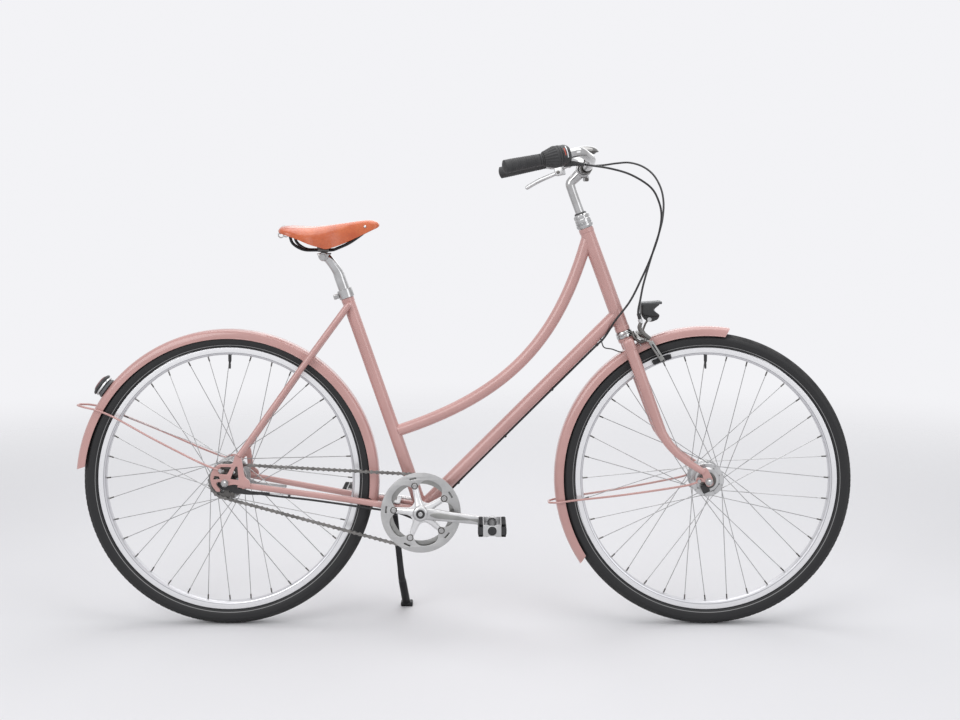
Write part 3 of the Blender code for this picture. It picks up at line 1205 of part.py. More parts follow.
FOOT_TOP = mix(KNEE, FOOT, 0.12)
LEG = tube([STAND_TOP, KNEE, mix(KNEE, FOOT, 0.15), FOOT + Vector((-1, -5, 8))],
           [6.5, 6.8, 7.2, 7.5], 10)
GROUND_TILT = Vector((0, math.cos(LEAN), math.sin(LEAN)))
FOOT_PAD = block(FOOT + GROUND_TILT.cross(X_AXIS).normalized() * -5.5, (30, 26, 11), X_AXIS, GROUND_TILT,
                 bevel=2.0)
piece("side_stand_leg", LEG, "side_stand", BLACK_PLASTIC, add=[LEG_HEAD, FOOT_PAD])

# Seatpost and saddle
POST_BOTTOM = SEAT_TUBE_LENGTH - 160
POST_TOP = 620.0
CRADLE_BACK = 28.5397
CRADLE_ABOVE = 24.5623
CRADLE = seat_point(POST_TOP) + Vector((-CRADLE_BACK, 0, CRADLE_ABOVE))
CRADLE_RADIUS = 12.0
RAIL_HEIGHT = CRADLE_RADIUS + RAIL_RADIUS + GAP
pivot("seat", seat_point(SEAT_TUBE_LENGTH), "frame")
POST_PATH = [seat_point(POST_BOTTOM), seat_point(POST_TOP - 8), seat_point(POST_TOP + 2) + X_AXIS * -2,
             mix(seat_point(POST_TOP), CRADLE, 0.55) + Z_AXIS * 3, CRADLE]
CRADLE_HALF = RAIL_SPACING / 2 + 5
TOP_CLAMP = block(CRADLE + Z_AXIS * (RAIL_HEIGHT + RAIL_RADIUS + GAP + 2), (30, CRADLE_HALF * 2, 4),
                  bevel=1.0)
CLAMP_WEB = block(CRADLE + Z_AXIS * RAIL_HEIGHT / 2 + Z_AXIS * 4, (16, 26, RAIL_HEIGHT + 6))
piece("seatpost", tube(POST_PATH, [SEATPOST_RADIUS, SEATPOST_RADIUS, 13, 11, 9], 20), "seat", POLISHED,
      add=[rod(CRADLE - Y_AXIS * CRADLE_HALF, CRADLE + Y_AXIS * CRADLE_HALF, CRADLE_RADIUS, 16),
           CLAMP_WEB, TOP_CLAMP])

SADDLE_MIDDLE = CRADLE + Z_AXIS * RAIL_HEIGHT
RAIL = [(-79, 40, 44), (-72, 40, 18), (-48, 29, 2), (-18, RAIL_SPACING / 2, 0),
        (18, RAIL_SPACING / 2, 0), (32, 21, 4), (62, 17, 18), (98, 10, 44), (110, 5, 60), (113, 0, 62.5)]
REAR_JOIN = (-81, 0, 50.5)


def rails():
    """One closed loop: two rails joined at the nose and across the back plate."""
    half = [Vector(p) for p in RAIL]
    right = [SADDLE_MIDDLE + Vector((p.x, -p.y, p.z)) for p in half]
    left = [SADDLE_MIDDLE + p for p in half[:-1]]
    loop = right + left[::-1] + [SADDLE_MIDDLE + Vector(REAR_JOIN)]
    return tube(loop, RAIL_RADIUS, 8, closed=True)


piece("saddle_rails", rails(), "seat", DARK_STEEL)

SADDLE_STATIONS = [
    # forward of the clamp, half width, top, skirt's lower edge
    (-105, 52, 50, 46), (-98, 74, 57, 42), (-80, 87, 59, 36), (-55, 88, 58, 25), (-28, 80, 57, 12),
    (0, 60, 59, 5), (30, 38, 63, 11), (62, 26, 67, 23), (92, 21, 71, 36), (112, 19, 72, 46),
    (127, 14, 68, 53), (133, 6, 62, 58)]
SADDLE_ARCH = 9


def saddle():
    """A leather shell: for each station an outer arch and an inner arch make one ring."""
    rings = []
    scale_length = SADDLE_LENGTH / 240.0
    scale_width = SADDLE_HALF_WIDTH / 88.0
    for forward, half, top, edge in SADDLE_STATIONS:
        ring = []
        for wall, order in ((0.0, range(SADDLE_ARCH)), (LEATHER_THICKNESS, reversed(range(SADDLE_ARCH)))):
            for k in order:
                a = math.pi * k / (SADDLE_ARCH - 1)
                width = max(half * scale_width - wall, 1.0)
                depth = max(top - edge - wall, 0.6)
                y = -width * math.copysign(abs(math.cos(a))**0.55, math.cos(a))
                z = edge + depth * math.sin(a)**0.75
                ring.append(SADDLE_MIDDLE + Vector((forward * scale_length, y, z)))
        rings.append(ring)
    return skin(rings)


piece("saddle_leather", saddle(), "seat", LEATHER)


# Cables: hand-picked routes in the bike's frame
def cable(points, count):
    return tube(smooth_path(points, count), CABLE_RADIUS, 6)


HEAD_SHIFT = STEER_FOOT - Vector((951.4879, 0, 706.1864))
ADJUSTER = CROWN_CENTRE + BOLT_WAY * (ARM_START + 3) - ARM_WAY * 8.6 - Y_AXIS * 24
BRAKE_ROUTE = [Vector(p) + HEAD_SHIFT for p in (
    (905, 178, 1096), (950, 150, 1104), (995, 120, 1101), (1028, 95, 1074), (1047, 72, 1032),
    (1048, 52, 992), (1038, 30, 940), (1016, 8, 880), (994, -10, 822), (975, -22, 772))]
piece("brake_cable", cable([LEVER_BARREL + BARREL_WAY * (GAP + 0.5), LEVER_BARREL + BARREL_WAY * 36, *BRAKE_ROUTE,
                            ADJUSTER - ARM_WAY * 18, ADJUSTER], 34), "steering", BLACK_PLASTIC)

DOWN_WAY = (DOWN_TUBE_HEAD - BRACKET).normalized()
UNDER = Vector((DOWN_WAY.z, 0, -DOWN_WAY.x)) * (DOWN_TUBE_RADIUS + CABLE_RADIUS + GAP)
UNDER_TOP = mix(BRACKET, DOWN_TUBE_HEAD, 0.90) + UNDER
UNDER_BOTTOM = mix(BRACKET, DOWN_TUBE_HEAD, 0.085) + UNDER
SHIFT_UPPER = [Vector(p) + HEAD_SHIFT for p in (
    (905, -182, 1086), (955, -158, 1075), (1002, -128, 1053), (1024, -104, 1022), (1030, -84, 985),
    (1022, -64, 938), (1003, -48, 885), (981, -38, 835), (950, -31, 780), (925, -24, 732))]


def stay_under(x, y, below=13.0):
    """A point under the right chain stay."""
    return mix(REAR_AXLE, BRACKET, x / BRACKET_X) + Vector((0, -y, -below))


SHIFT_ROUTE = ([SHIFTER_EXIT + X_AXIS * (CABLE_RADIUS + GAP)] + SHIFT_UPPER
               + [UNDER_TOP + Y_AXIS * -6, mix(UNDER_TOP, UNDER_BOTTOM, 0.12), UNDER_BOTTOM]
               + [BRACKET + Vector((20, -9, -BRACKET_SHELL_RADIUS)),
                  BRACKET + Vector((-6, -14, -BRACKET_SHELL_RADIUS - CABLE_RADIUS - 3.5)),
                  stay_under(405, 33), stay_under(330, 35), stay_under(210, 44), stay_under(125, 53, 15),
                  REAR_AXLE + Vector((61, GEAR_JOINT_INNER - 3.1, -26))])
piece("shift_cable", cable(SHIFT_ROUTE, 52), "frame", BLACK_PLASTIC)


# Lean the bike on its stand, and put the origin under the middle of its box
def place_bike():
    root = PIVOTS["frame"][0]
    root.rotation_euler.x = -LEAN
    bpy.context.view_layer.update()
    graph = bpy.context.evaluated_depsgraph_get()
    low = Vector((1e9, 1e9, 1e9))
    high = -low
    for obj in bpy.context.scene.objects:
        if obj.type != "MESH" or obj.hide_render:
            continue
        shape = obj.evaluated_get(graph)
        mesh = shape.to_mesh()
        for vert in mesh.vertices:
            p = obj.matrix_world @ vert.co
            low = Vector(map(min, low, p))
            high = Vector(map(max, high, p))
        shape.to_mesh_clear()
    root.location = (-(low.x + high.x) / 2, -(low.y + high.y) / 2, -low.z)
    bpy.context.view_layer.update()


place_bike()
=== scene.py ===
"""Looks of a city bike: smooth paint, metal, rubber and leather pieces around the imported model.

Pieces are drawn in the upright bike's own frame, in millimetres: +X forwards, +Y to the bike's left,
+Z up, and the origin on the ground under the rear axle. The bike then leans on its side stand.
"""
import math

import bmesh
import bpy
import numpy as np
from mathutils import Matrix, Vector


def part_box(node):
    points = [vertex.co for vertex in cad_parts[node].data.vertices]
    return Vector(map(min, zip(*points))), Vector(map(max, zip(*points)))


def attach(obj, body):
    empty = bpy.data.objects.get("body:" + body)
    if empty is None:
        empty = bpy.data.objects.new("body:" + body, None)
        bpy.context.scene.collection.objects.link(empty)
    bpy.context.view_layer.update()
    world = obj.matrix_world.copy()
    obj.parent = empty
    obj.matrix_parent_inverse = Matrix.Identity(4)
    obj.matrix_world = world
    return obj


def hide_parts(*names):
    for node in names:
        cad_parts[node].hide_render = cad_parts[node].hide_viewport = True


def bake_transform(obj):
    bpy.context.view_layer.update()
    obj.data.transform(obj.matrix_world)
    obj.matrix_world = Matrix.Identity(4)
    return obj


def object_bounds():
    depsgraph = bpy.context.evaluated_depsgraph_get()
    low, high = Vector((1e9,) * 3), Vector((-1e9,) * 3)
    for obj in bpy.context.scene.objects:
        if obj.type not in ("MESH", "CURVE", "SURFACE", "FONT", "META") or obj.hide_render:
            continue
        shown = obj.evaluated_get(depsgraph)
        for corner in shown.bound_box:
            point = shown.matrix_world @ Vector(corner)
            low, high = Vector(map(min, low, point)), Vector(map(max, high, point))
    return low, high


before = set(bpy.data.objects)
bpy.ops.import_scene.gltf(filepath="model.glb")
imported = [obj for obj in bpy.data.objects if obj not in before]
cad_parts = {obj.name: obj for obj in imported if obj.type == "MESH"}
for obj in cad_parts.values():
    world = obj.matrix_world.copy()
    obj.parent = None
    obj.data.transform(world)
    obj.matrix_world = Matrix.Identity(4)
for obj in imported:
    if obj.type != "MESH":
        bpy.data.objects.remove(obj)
CAD_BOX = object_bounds()


def at(*numbers):
    """A place, or rows of places, as an array."""
    return np.array(numbers, float)


MM = 0.001
TAU = 2 * np.pi
LEAN = math.radians(3.0)
WHEEL_RADIUS = 351.0
FORWARD, SIDEWAYS, UP = at(1, 0, 0), at(0, 1, 0), at(0, 0, 1)


def polar_at(radius, turn):
    """A place in the bike's plane: radius times cosine forwards, and radius times sine up."""
    return at(radius * math.cos(turn), 0, radius * math.sin(turn))


def leant(points):
    """Upright directions turned by the lean about the bike's length."""
    points = np.asarray(points, float)
    x, y, z = points[..., 0], points[..., 1], points[..., 2]
    cos, sin = math.cos(LEAN), math.sin(LEAN)
    return np.stack((x, y * cos + z * sin, z * cos - y * sin), -1)


REAR_AXLE = at(0, 0, WHEEL_RADIUS)
low, high = (np.array(corner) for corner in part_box("rear_tyre"))
GROUND_POINT = (low + high) / 2 - leant(REAR_AXLE) * MM


def placed(points):
    """Points of the upright bike in millimetres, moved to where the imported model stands, in metres."""
    return leant(points) * MM + GROUND_POINT


# Camera: its place in the upright bike's millimetres, its focal length and its upward shift
CAMERA_PLACE = at(605.4, -3471.0, 1010.6)
CAMERA_FOCUS = 1433.9          # in pixels of an image that is IMAGE_WIDTH wide
CAMERA_SHIFT = -0.1615
IMAGE_WIDTH = 960
SENSOR_WIDTH = 36.0
camera_data = bpy.data.cameras.new("camera")
camera_data.sensor_width = SENSOR_WIDTH
camera_data.lens = CAMERA_FOCUS / IMAGE_WIDTH * SENSOR_WIDTH
camera_data.shift_y = CAMERA_SHIFT
camera_data.clip_end = 50.0
camera = bpy.data.objects.new("camera", camera_data)
bpy.context.scene.collection.objects.link(camera)
camera.location = placed(CAMERA_PLACE)
camera.rotation_euler = (math.pi / 2 - LEAN, 0.0, 0.0)
bpy.context.scene.camera = camera


# Shapes. A shape is its points in millimetres and its faces, as arrays of point numbers.
class Shape:
    """Points and faces that grow by adding shapes together."""

    def __init__(self, points, faces):
        self.points = np.asarray(points, float).reshape(-1, 3)
        self.faces = faces

    def __add__(self, other):
        shift = len(self.points)
        return Shape(np.vstack((self.points, other.points)), self.faces + [f + shift for f in other.faces])

    def mirrored(self):
        """The same shape on the bike's other side: y becomes -y."""
        return Shape(self.points * (1, -1, 1), [f[:, ::-1] for f in self.faces])


def joined(shapes):
    """Several shapes as one."""
    whole = shapes[0]
    for shape in shapes[1:]:
        whole = whole + shape
    return whole


def surface(grid, along=False):
    """Faces between neighbours of a grid of points, closed around its columns, and along its rows or
    with a cap at both ends."""
    rows, columns = grid.shape[:2]
    number = np.arange(rows * columns).reshape(rows, columns)
    if along:
        number = np.vstack((number, number[:1]))
    number = np.hstack((number, number[:, :1]))
    quads = np.stack((number[:-1, :-1], number[:-1, 1:], number[1:, 1:], number[1:, :-1]), -1)
    faces = [quads.reshape(-1, 4)]
    if not along:
        faces += [number[:1, -2::-1], number[-1:, :-1]]
    return Shape(grid, faces)


def unit(vectors):
    """Directions of length one."""
    vectors = np.asarray(vectors, float)
    return vectors / np.linalg.norm(vectors, axis=-1, keepdims=True)


def mix(a, b, share):
    """What lies a share of the way from a to b."""
    return a + (b - a) * share


def smooth(points, count):
    """A curve through points, each piece a cubic set by its four neighbours, read at even steps."""
    points = np.asarray(points, float)
    padded = np.vstack((points[0] * 2 - points[1], points, points[-1] * 2 - points[-2]))
    place = np.linspace(0, len(points) - 1, count)
    k = np.minimum(place.astype(int), len(points) - 2)
    t = (place - k)[:, None]
    a, b, c, d = padded[k], padded[k + 1], padded[k + 2], padded[k + 3]
    return 0.5 * (b * 2 + (c - a) * t + (a * 2 - b * 5 + c * 4 - d) * t**2
                  + (b * 3 - a - c * 3 + d) * t**3)


def ring(sides, a=1.0, b=1.0, power=1.0):
    """An ellipse, (a cos, b sin), squarer as the power falls below one."""
    turn = TAU * (np.arange(sides) + 0.5) / sides
    c, s = np.cos(turn), np.sin(turn)
    return np.stack((a * np.sign(c) * abs(c)**power, b * np.sign(s) * abs(s)**power), -1)


def carried(path, section, guide=SIDEWAYS, closed=False):
    """A section carried along a path: point = path + side * a + rise * b for each (a, b), where side is
    the guide made square to the path, and rise is the path's direction crossed with side."""
    path = np.asarray(path, float)
    ahead = np.roll(path, -1, 0) - np.roll(path, 1, 0) if closed else np.gradient(path, axis=0)
    ahead = unit(ahead)
    side = unit(guide - ahead * (ahead @ guide)[:, None])
    rise = np.cross(ahead, side)
    section = np.asarray(section, float)
    grid = path[:, None] + side[:, None] * section[..., 0:1] + rise[:, None] * section[..., 1:2]
    return surface(grid, along=closed)


def tube(path, radius, sides=24, flat=1.0, guide=SIDEWAYS, closed=False, power=1.0):
    """A round bar along a path; radius and flat are one value or one for each point."""
    count = len(path)
    radius = np.broadcast_to(np.asarray(radius, float), (count,))
    flat = np.broadcast_to(np.asarray(flat, float), (count,))
    sizes = np.stack((radius * flat, radius), -1)[:, None]
    return carried(path, ring(sides, power=power)[None] * sizes, guide, closed)


def band(inner, outer, start, end):
    """Profile of a plain ring or disc between two places on its axis."""
    return [(inner, start), (outer, start), (outer, end), (inner, end)]


def eased(inner, outer, start, end, inward, along):
    """Profile of a ring whose two outer edges are cut back by inward and along."""
    return [(inner, start), (outer - inward, start), (outer, start + along), (outer, end - along),
            (outer - inward, end), (inner, end)]


def socket_head(radius, start, end, cut, hole, depth):
    """Profile of a bolt's head with a cut edge and a round hole down into its end."""
    return [(0, start), (radius, start), (radius, end - cut), (radius - cut, end), (hole, end),
            (hole, end - depth), (0, end - depth)]


def bar(start, end, radius, sides=24, edge=0.6):
    """A straight rod whose two ends have a small cut edge."""
    length = np.linalg.norm(end - start)
    return turned(eased(0, radius, 0, length, edge, edge), start, end - start, sides)


def rounded(outline, radius, steps=3):
    """Each corner of a closed outline becomes a quadratic curve that starts and ends a radius away."""
    p = np.asarray(outline, float)
    before, after = np.roll(p, 1, 0) - p, np.roll(p, -1, 0) - p
    long_before = np.linalg.norm(before, axis=1)
    long_after = np.linalg.norm(after, axis=1)
    reach = np.minimum(radius, 0.48 * np.minimum(long_before, long_after))[:, None]
    a = (p + before / long_before[:, None] * reach)[:, None]
    b = (p + after / long_after[:, None] * reach)[:, None]
    t = np.linspace(0, 1, steps + 1)[None, :, None]
    return (a * (1 - t)**2 + p[:, None] * 2 * t * (1 - t) + b * t * t).reshape(-1, 2)


def across(axis):
    """Two directions square to an axis and to each other."""
    guide = SIDEWAYS if abs(axis[1]) < 0.9 else UP
    first = unit(np.cross(guide, axis))
    return first, unit(np.cross(axis, first))


def turned(profile, centre, axis, segments=48, soft=0.0, squeeze=None):
    """A closed outline of (radius, distance along the axis) turned about the axis. soft rounds its
    corners, and squeeze(angle) scales the radius as it goes round."""
    axis = unit(axis)
    profile = np.asarray(profile, float)
    if soft:
        profile = np.maximum(rounded(profile, soft), (0, -1e9))
    u, v = across(axis)
    angle = TAU * np.arange(segments) / segments
    scale = np.ones(segments) if squeeze is None else squeeze(angle)
    outward = (u * np.cos(angle)[:, None] + v * np.sin(angle)[:, None]) * scale[:, None]
    grid = centre + outward[:, None] * profile[None, :, :1] + axis * profile[None, :, 1:]
    return surface(grid, along=True)


def block(centre, size, u=FORWARD, v=SIDEWAYS, soft=1.5, steps=3):
    """A box with rounded edges: its rounded outline, drawn in and flattened towards both ends."""
    w = np.cross(u, v)
    x, y, z = (s / 2 for s in size)
    soft = min(soft, x * 0.9, y * 0.9, z * 0.9)
    turn = np.linspace(0, np.pi / 2, steps + 1)
    inset = np.concatenate((soft * (1 - np.sin(turn)), soft * (1 - np.cos(turn))))
    level = np.concatenate((-z + soft * (1 - np.cos(turn)), z - soft * (1 - np.sin(turn))))
    corner = rounded([(-x, -y), (x, -y), (x, y), (-x, y)], soft * 1.6, steps)
    drawn = corner[None] * (1 - inset[:, None, None] / np.array((x, y)))
    grid = centre + drawn[..., :1] * u + drawn[..., 1:] * v + level[:, None, None] * w
    return surface(grid)


def plate(outlines, centre, thickness, bevel, u=FORWARD, v=UP):
    """A flat sheet with rounded edges: the first outline of (u, v) pairs less the ones inside it."""
    curve = bpy.data.curves.new("outline", "CURVE")
    curve.dimensions = "2D"
    curve.fill_mode = "BOTH"
    curve.extrude = thickness / 2 - bevel
    curve.bevel_depth = bevel
    curve.bevel_resolution = 1
    curve.offset = -bevel
    for outline in outlines:
        spline = curve.splines.new("POLY")
        spline.points.add(len(outline) - 1)
        flat = np.zeros((len(outline), 4))
        flat[:, :2] = outline
        flat[:, 3] = 1
        spline.points.foreach_set("co", flat.ravel())
        spline.use_cyclic_u = True
    helper = bpy.data.objects.new("outline", curve)
    mesh = helper.to_mesh()
    points = np.zeros(len(mesh.vertices) * 3)
    mesh.vertices.foreach_get("co", points)
    points = points.reshape(-1, 3)
    faces = [np.array([face.vertices[:]]) for face in mesh.polygons]
    helper.to_mesh_clear()
    bpy.data.objects.remove(helper)
    normal = unit(np.cross(u, v))
    return Shape(centre + points[:, :1] * u + points[:, 1:2] * v + points[:, 2:] * normal, faces)


def nut(centre, axis, across_flats, height, hole=0.0):
    """A six-sided nut with its corners turned down at both ends."""
    r = across_flats / 2 / math.cos(math.pi / 6)
    profile = [(hole, 0), (r * 0.93, 0), (r, height * 0.16), (r, height * 0.84), (r * 0.93, height),
               (hole, height)]
    return turned(profile, centre, axis, 6)


def copies(shape, turns, centre):
    """A shape repeated about the sideways line through centre, once for each angle."""
    u, v = across(SIDEWAYS)
    local = shape.points - centre
    a, b, c = local @ u, local @ v, local @ SIDEWAYS
    cos, sin = np.cos(turns)[:, None], np.sin(turns)[:, None]
    points = (centre + (a * cos - b * sin)[..., None] * u + (a * sin + b * cos)[..., None] * v
              + np.broadcast_to(c, (len(turns), len(c)))[..., None] * SIDEWAYS)
    step = np.arange(len(turns))[:, None, None] * len(local)
    return Shape(points, [(f[None] + step).reshape(-1, f.shape[1]) for f in shape.faces])


def piece(name, shape, body, finish, replaces=None, sharp=32, weld=0.004):
    """Puts a shape into a mesh in its place, merges doubled points, faces it outwards and lets it ride."""
    mesh = bpy.data.meshes.new(name)
    mesh.from_pydata(placed(shape.points).tolist(), [], [face for f in shape.faces for face in f.tolist()])
    bm = bmesh.new()
    bm.from_mesh(mesh)
    bmesh.ops.remove_doubles(bm, verts=bm.verts, dist=weld * MM)
    bmesh.ops.recalc_face_normals(bm, faces=bm.faces)
    bm.to_mesh(mesh)
    bm.free()
    mesh.shade_smooth()
    mesh.set_sharp_from_angle(angle=math.radians(sharp))
    obj = bpy.data.objects.new(name, mesh)
    bpy.context.scene.collection.objects.link(obj)
    obj.data.materials.append(finish)
    if body:
        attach(obj, body)
    if replaces:
        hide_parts(replaces)
    SLOTS[finish.name.split(".")[0]]
    return obj


# Finishes. A Value wraps a socket, so that sums on it add Math nodes. A Mix node has sockets of the
# same names for numbers and for colours, so those for colours are reached by their places.
MIX_SHARE, MIX_FIRST, MIX_SECOND = 0, 6, 7
MIX_COLOUR = 2


class Value:
    """A socket of a material with arithmetic."""

    def __init__(self, recipe, socket):
        self.recipe = recipe
        self.socket = socket

    def sum(self, operation, first, second=0.0):
        node = self.recipe.node("ShaderNodeMath", {"operation": operation}, {0: first, 1: second})
        return Value(self.recipe, node.outputs[0])

    def __add__(self, other):
        return self.sum("ADD", self, other)

    def __sub__(self, other):
        return self.sum("SUBTRACT", self, other)

    def __rsub__(self, other):
        return self.sum("SUBTRACT", other, self)

    def __mul__(self, other):
        return self.sum("MULTIPLY", self, other)

    def __pow__(self, other):
        return self.sum("POWER", self, other)

    def wave(self):
        return self.sum("SINE", self)

    def size(self):
        return self.sum("ABSOLUTE", self)

    def between(self, low_end, high_end):
        """Zero below the low end, one above the high end, with a soft step between them."""
        node = self.recipe.node("ShaderNodeMapRange", {"interpolation_type": "SMOOTHSTEP", "clamp": True},
                                {0: self, 1: low_end, 2: high_end})
        return Value(self.recipe, node.outputs[0])

    __radd__ = __add__
    __rmul__ = __mul__


class Recipe:
    """One finish being put together. It reads Object coordinates: the bike's place at rest."""

    def __init__(self, name):
        self.material = bpy.data.materials.new(name)
        self.material.use_nodes = True
        self.tree = self.material.node_tree
        self.shader = self.tree.nodes["Principled BSDF"]
        self.place = Value(self, self.node("ShaderNodeTexCoord").outputs["Object"])

    def node(self, kind, settings=None, sockets=None):
        """Adds a node, sets its options and feeds its sockets."""
        made = self.tree.nodes.new(kind)
        for key, setting in (settings or {}).items():
            setattr(made, key, setting)
        for key, feed in (sockets or {}).items():
            self.feed(made.inputs[key], feed)
        return made

    def feed(self, socket, feed):
        """Links a Value to a socket, or gives the socket a number, a colour or a vector."""
        if isinstance(feed, Value):
            self.tree.links.new(feed.socket, socket)
        elif isinstance(feed, tuple) and len(feed) == 3 and socket.type == "RGBA":
            socket.default_value = (*feed, 1.0)
        else:
            socket.default_value = feed

    def noise(self, scale, detail=3.0, rough=0.55, place=None):
        """Cloudy noise from nought to one; scale is in clouds for each metre."""
        node = self.node("ShaderNodeTexNoise", {}, {"Vector": place or self.place, "Scale": scale,
                                                    "Detail": detail, "Roughness": rough})
        return Value(self, node.outputs["Fac"])

    def cells(self, scale, feature="F1"):
        """Distance to the middle or to the edge of scattered cells."""
        node = self.node("ShaderNodeTexVoronoi", {"feature": feature},
                         {"Vector": self.place, "Scale": scale})
        return Value(self, node.outputs["Distance"])

    def moved(self, centre=(0, 0, 0), turn=(0, 0, 0), scale=(1, 1, 1)):
        """Object coordinates taken from a centre, turned and stretched."""
        shifted = self.node("ShaderNodeVectorMath", {"operation": "SUBTRACT"},
                            {0: self.place, 1: tuple(centre)})
        node = self.node("ShaderNodeMapping", {}, {"Vector": Value(self, shifted.outputs[0]),
                                                   "Rotation": tuple(turn), "Scale": tuple(scale)})
        return Value(self, node.outputs[0])

    def split(self, vector):
        """A vector's three numbers."""
        node = self.node("ShaderNodeSeparateXYZ", {}, {0: vector})
        return [Value(self, node.outputs[i]) for i in range(3)]

    def blend(self, share, first, second):
        """A colour a share of the way from the first to the second."""
        node = self.node("ShaderNodeMix", {"data_type": "RGBA"},
                         {MIX_SHARE: share, MIX_FIRST: first, MIX_SECOND: second})
        return Value(self, node.outputs[MIX_COLOUR])

    def bumped(self, height, strength, distance=0.001):
        """A normal tilted by a height, as if the surface rose by that share of the distance."""
        node = self.node("ShaderNodeBump", {},
                         {"Strength": strength, "Distance": distance, "Height": height})
        return Value(self, node.outputs[0])

    def finish(self, **sockets):
        """Feeds the shader's sockets; underscores in a name stand for spaces."""
        for key, feed in sockets.items():
            self.feed(self.shader.inputs[key.replace("_", " ")], feed)
        return self.material


def wheel_place(recipe, node):
    """Distance from a wheel's axle, turn about it and sideways place, in metres and radians."""
    a, b = (np.array(corner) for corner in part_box(node))
    x, y, z = recipe.split(recipe.moved((a + b) / 2, (LEAN, 0, 0)))
    radius = (x * x + z * z)**0.5
    turn = recipe.node("ShaderNodeMath", {"operation": "ARCTAN2"}, {0: z, 1: x})
    return radius, Value(recipe, turn.outputs[0]), y


def pink_paint():
    """Dusty pink enamel: faint mottling, a clear coat, and a very shallow ripple."""
    r = Recipe("pink_paint")
    cloud = r.noise(9.0, 4.0)
    speck = r.noise(900.0, 2.0)
    base = r.blend(cloud.between(0.3, 0.7), (0.520, 0.285, 0.262), (0.575, 0.322, 0.298))
    base = r.blend(speck.between(0.55, 0.8) * 0.15, base, (0.66, 0.40, 0.37))
    ripple = r.noise(260.0, 2.0)
    return r.finish(Base_Color=base, Roughness=cloud * 0.08 + 0.30, Coat_Weight=0.8, Coat_Roughness=0.07,
                    Normal=r.bumped(ripple, 0.12, 0.0002))


def metal(name, light, dark, rough, scratch=(40.0, 500.0, 500.0), depth=0.12, stain=0.0):
    """Bare or plated metal with fine marks along one direction and a faint change of tone."""
    r = Recipe(name)
    cloud = r.noise(25.0, 4.0)
    marks = r.noise(1.0, 4.0, 0.7, r.moved(scale=scratch))
    base = r.blend(cloud.between(0.25, 0.75), dark, light)
    if stain:
        base = r.blend(r.noise(60.0, 5.0).between(0.55, 0.75) * stain, base, (0.10, 0.085, 0.07))
    return r.finish(Base_Color=base, Metallic=1.0, Roughness=cloud * 0.08 + marks * 0.14 + (rough - 0.1),
                    Normal=r.bumped(marks, depth, 0.0002))


def rim_metal(name, node):
    """Satin alloy rim: marks run round it, the braking band is brighter, the wall has a line of painted
    shade.
    """
    r = Recipe(name)
    radius, turn, y = wheel_place(r, node)
    lines = r.noise(1.0, 3.0, 0.7, polar_vector(r, radius * 4000.0, turn * 6.0, y * 900.0))
    braked = radius.between(0.3035, 0.3045) * (1 - radius.between(0.3145, 0.3152))
    base = r.blend(braked, (0.62, 0.62, 0.64), (0.80, 0.80, 0.81))
    # painted shade: a dark line where a groove would shade the wall, just below the braking band
    groove = 1 - ((radius - 0.3030).size() * 1000.0).between(0.25, 0.6)
    base = r.blend(groove * 0.75, base, (0.13, 0.13, 0.14))
    return r.finish(Base_Color=base, Metallic=0.85, Roughness=lines * 0.2 + 0.24,
                    Normal=r.bumped(lines, 0.15, 0.0002))


def polar_vector(recipe, a, b, c):
    """Three values as one vector."""
    node = recipe.node("ShaderNodeCombineXYZ", {}, {0: a, 1: b, 2: c})
    return Value(recipe, node.outputs[0])


def tyre_rubber(name, node):
    """Black rubber, greyer and duller on the tread, with a thin grey reflecting line near the rim."""
    r = Recipe(name)
    radius, turn, y = wheel_place(r, node)
    grain = r.noise(1500.0, 3.0)
    dust = r.noise(30.0, 5.0)
    tread = radius.between(0.3400, 0.3475)
    base = r.blend(tread * dust.between(0.3, 0.8), (0.013, 0.013, 0.014), (0.050, 0.049, 0.048))
    line = 1 - ((radius - 0.3218).size() * 1000.0).between(0.35, 0.8)
    base = r.blend(line * 0.8, base, (0.38, 0.38, 0.38))
    ribs = (radius * 5200.0).wave() * (1 - tread)
    return r.finish(Base_Color=base, Roughness=0.50 + tread * 0.22 + grain * 0.08, Specular_IOR_Level=0.42,
                    Normal=r.bumped(grain * 0.6 + ribs * 0.25, 0.28, 0.0004))


def black_plastic(name="black_plastic", tone=(0.018, 0.018, 0.019), rough=0.42, grain_size=1400.0,
                  depth=0.22):
    """Moulded plastic with a fine even grain and slightly uneven gloss."""
    r = Recipe(name)
    grain = r.cells(grain_size)
    cloud = r.noise(40.0, 3.0)
    base = r.blend(cloud.between(0.3, 0.7), tone, tuple(c * 1.5 for c in tone))
    return r.finish(Base_Color=base, Roughness=rough - 0.05 + cloud * 0.12,
                    Normal=r.bumped(grain, depth, 0.0003))


def honey_leather():
    """Thick waxed saddle leather: orange brown, darker where it is creased and rubbed, with fine pores."""
    r = Recipe("honey_leather")
    cloud = r.noise(14.0, 5.0, 0.6)
    fine = r.noise(160.0, 5.0, 0.65)
    pores = r.cells(1500.0)
    crease = r.cells(420.0, "DISTANCE_TO_EDGE")
    base = r.blend(cloud.between(0.32, 0.68), (0.500, 0.080, 0.016), (0.640, 0.140, 0.036))
    base = r.blend(fine.between(0.50, 0.78) * 0.45, base, (0.36, 0.075, 0.016))
    base = r.blend((1 - crease.between(0.0, 0.05)) * 0.22, base, (0.28, 0.055, 0.012))
    skin = crease.between(0.0, 0.10) * 0.8 + pores.between(0.0, 0.4) * 0.4 + fine * 0.4
    return r.finish(Base_Color=base, Roughness=fine * 0.16 + 0.25, Coat_Weight=0.6, Coat_Roughness=0.16,
                    Normal=r.bumped(skin, 0.22, 0.0004))


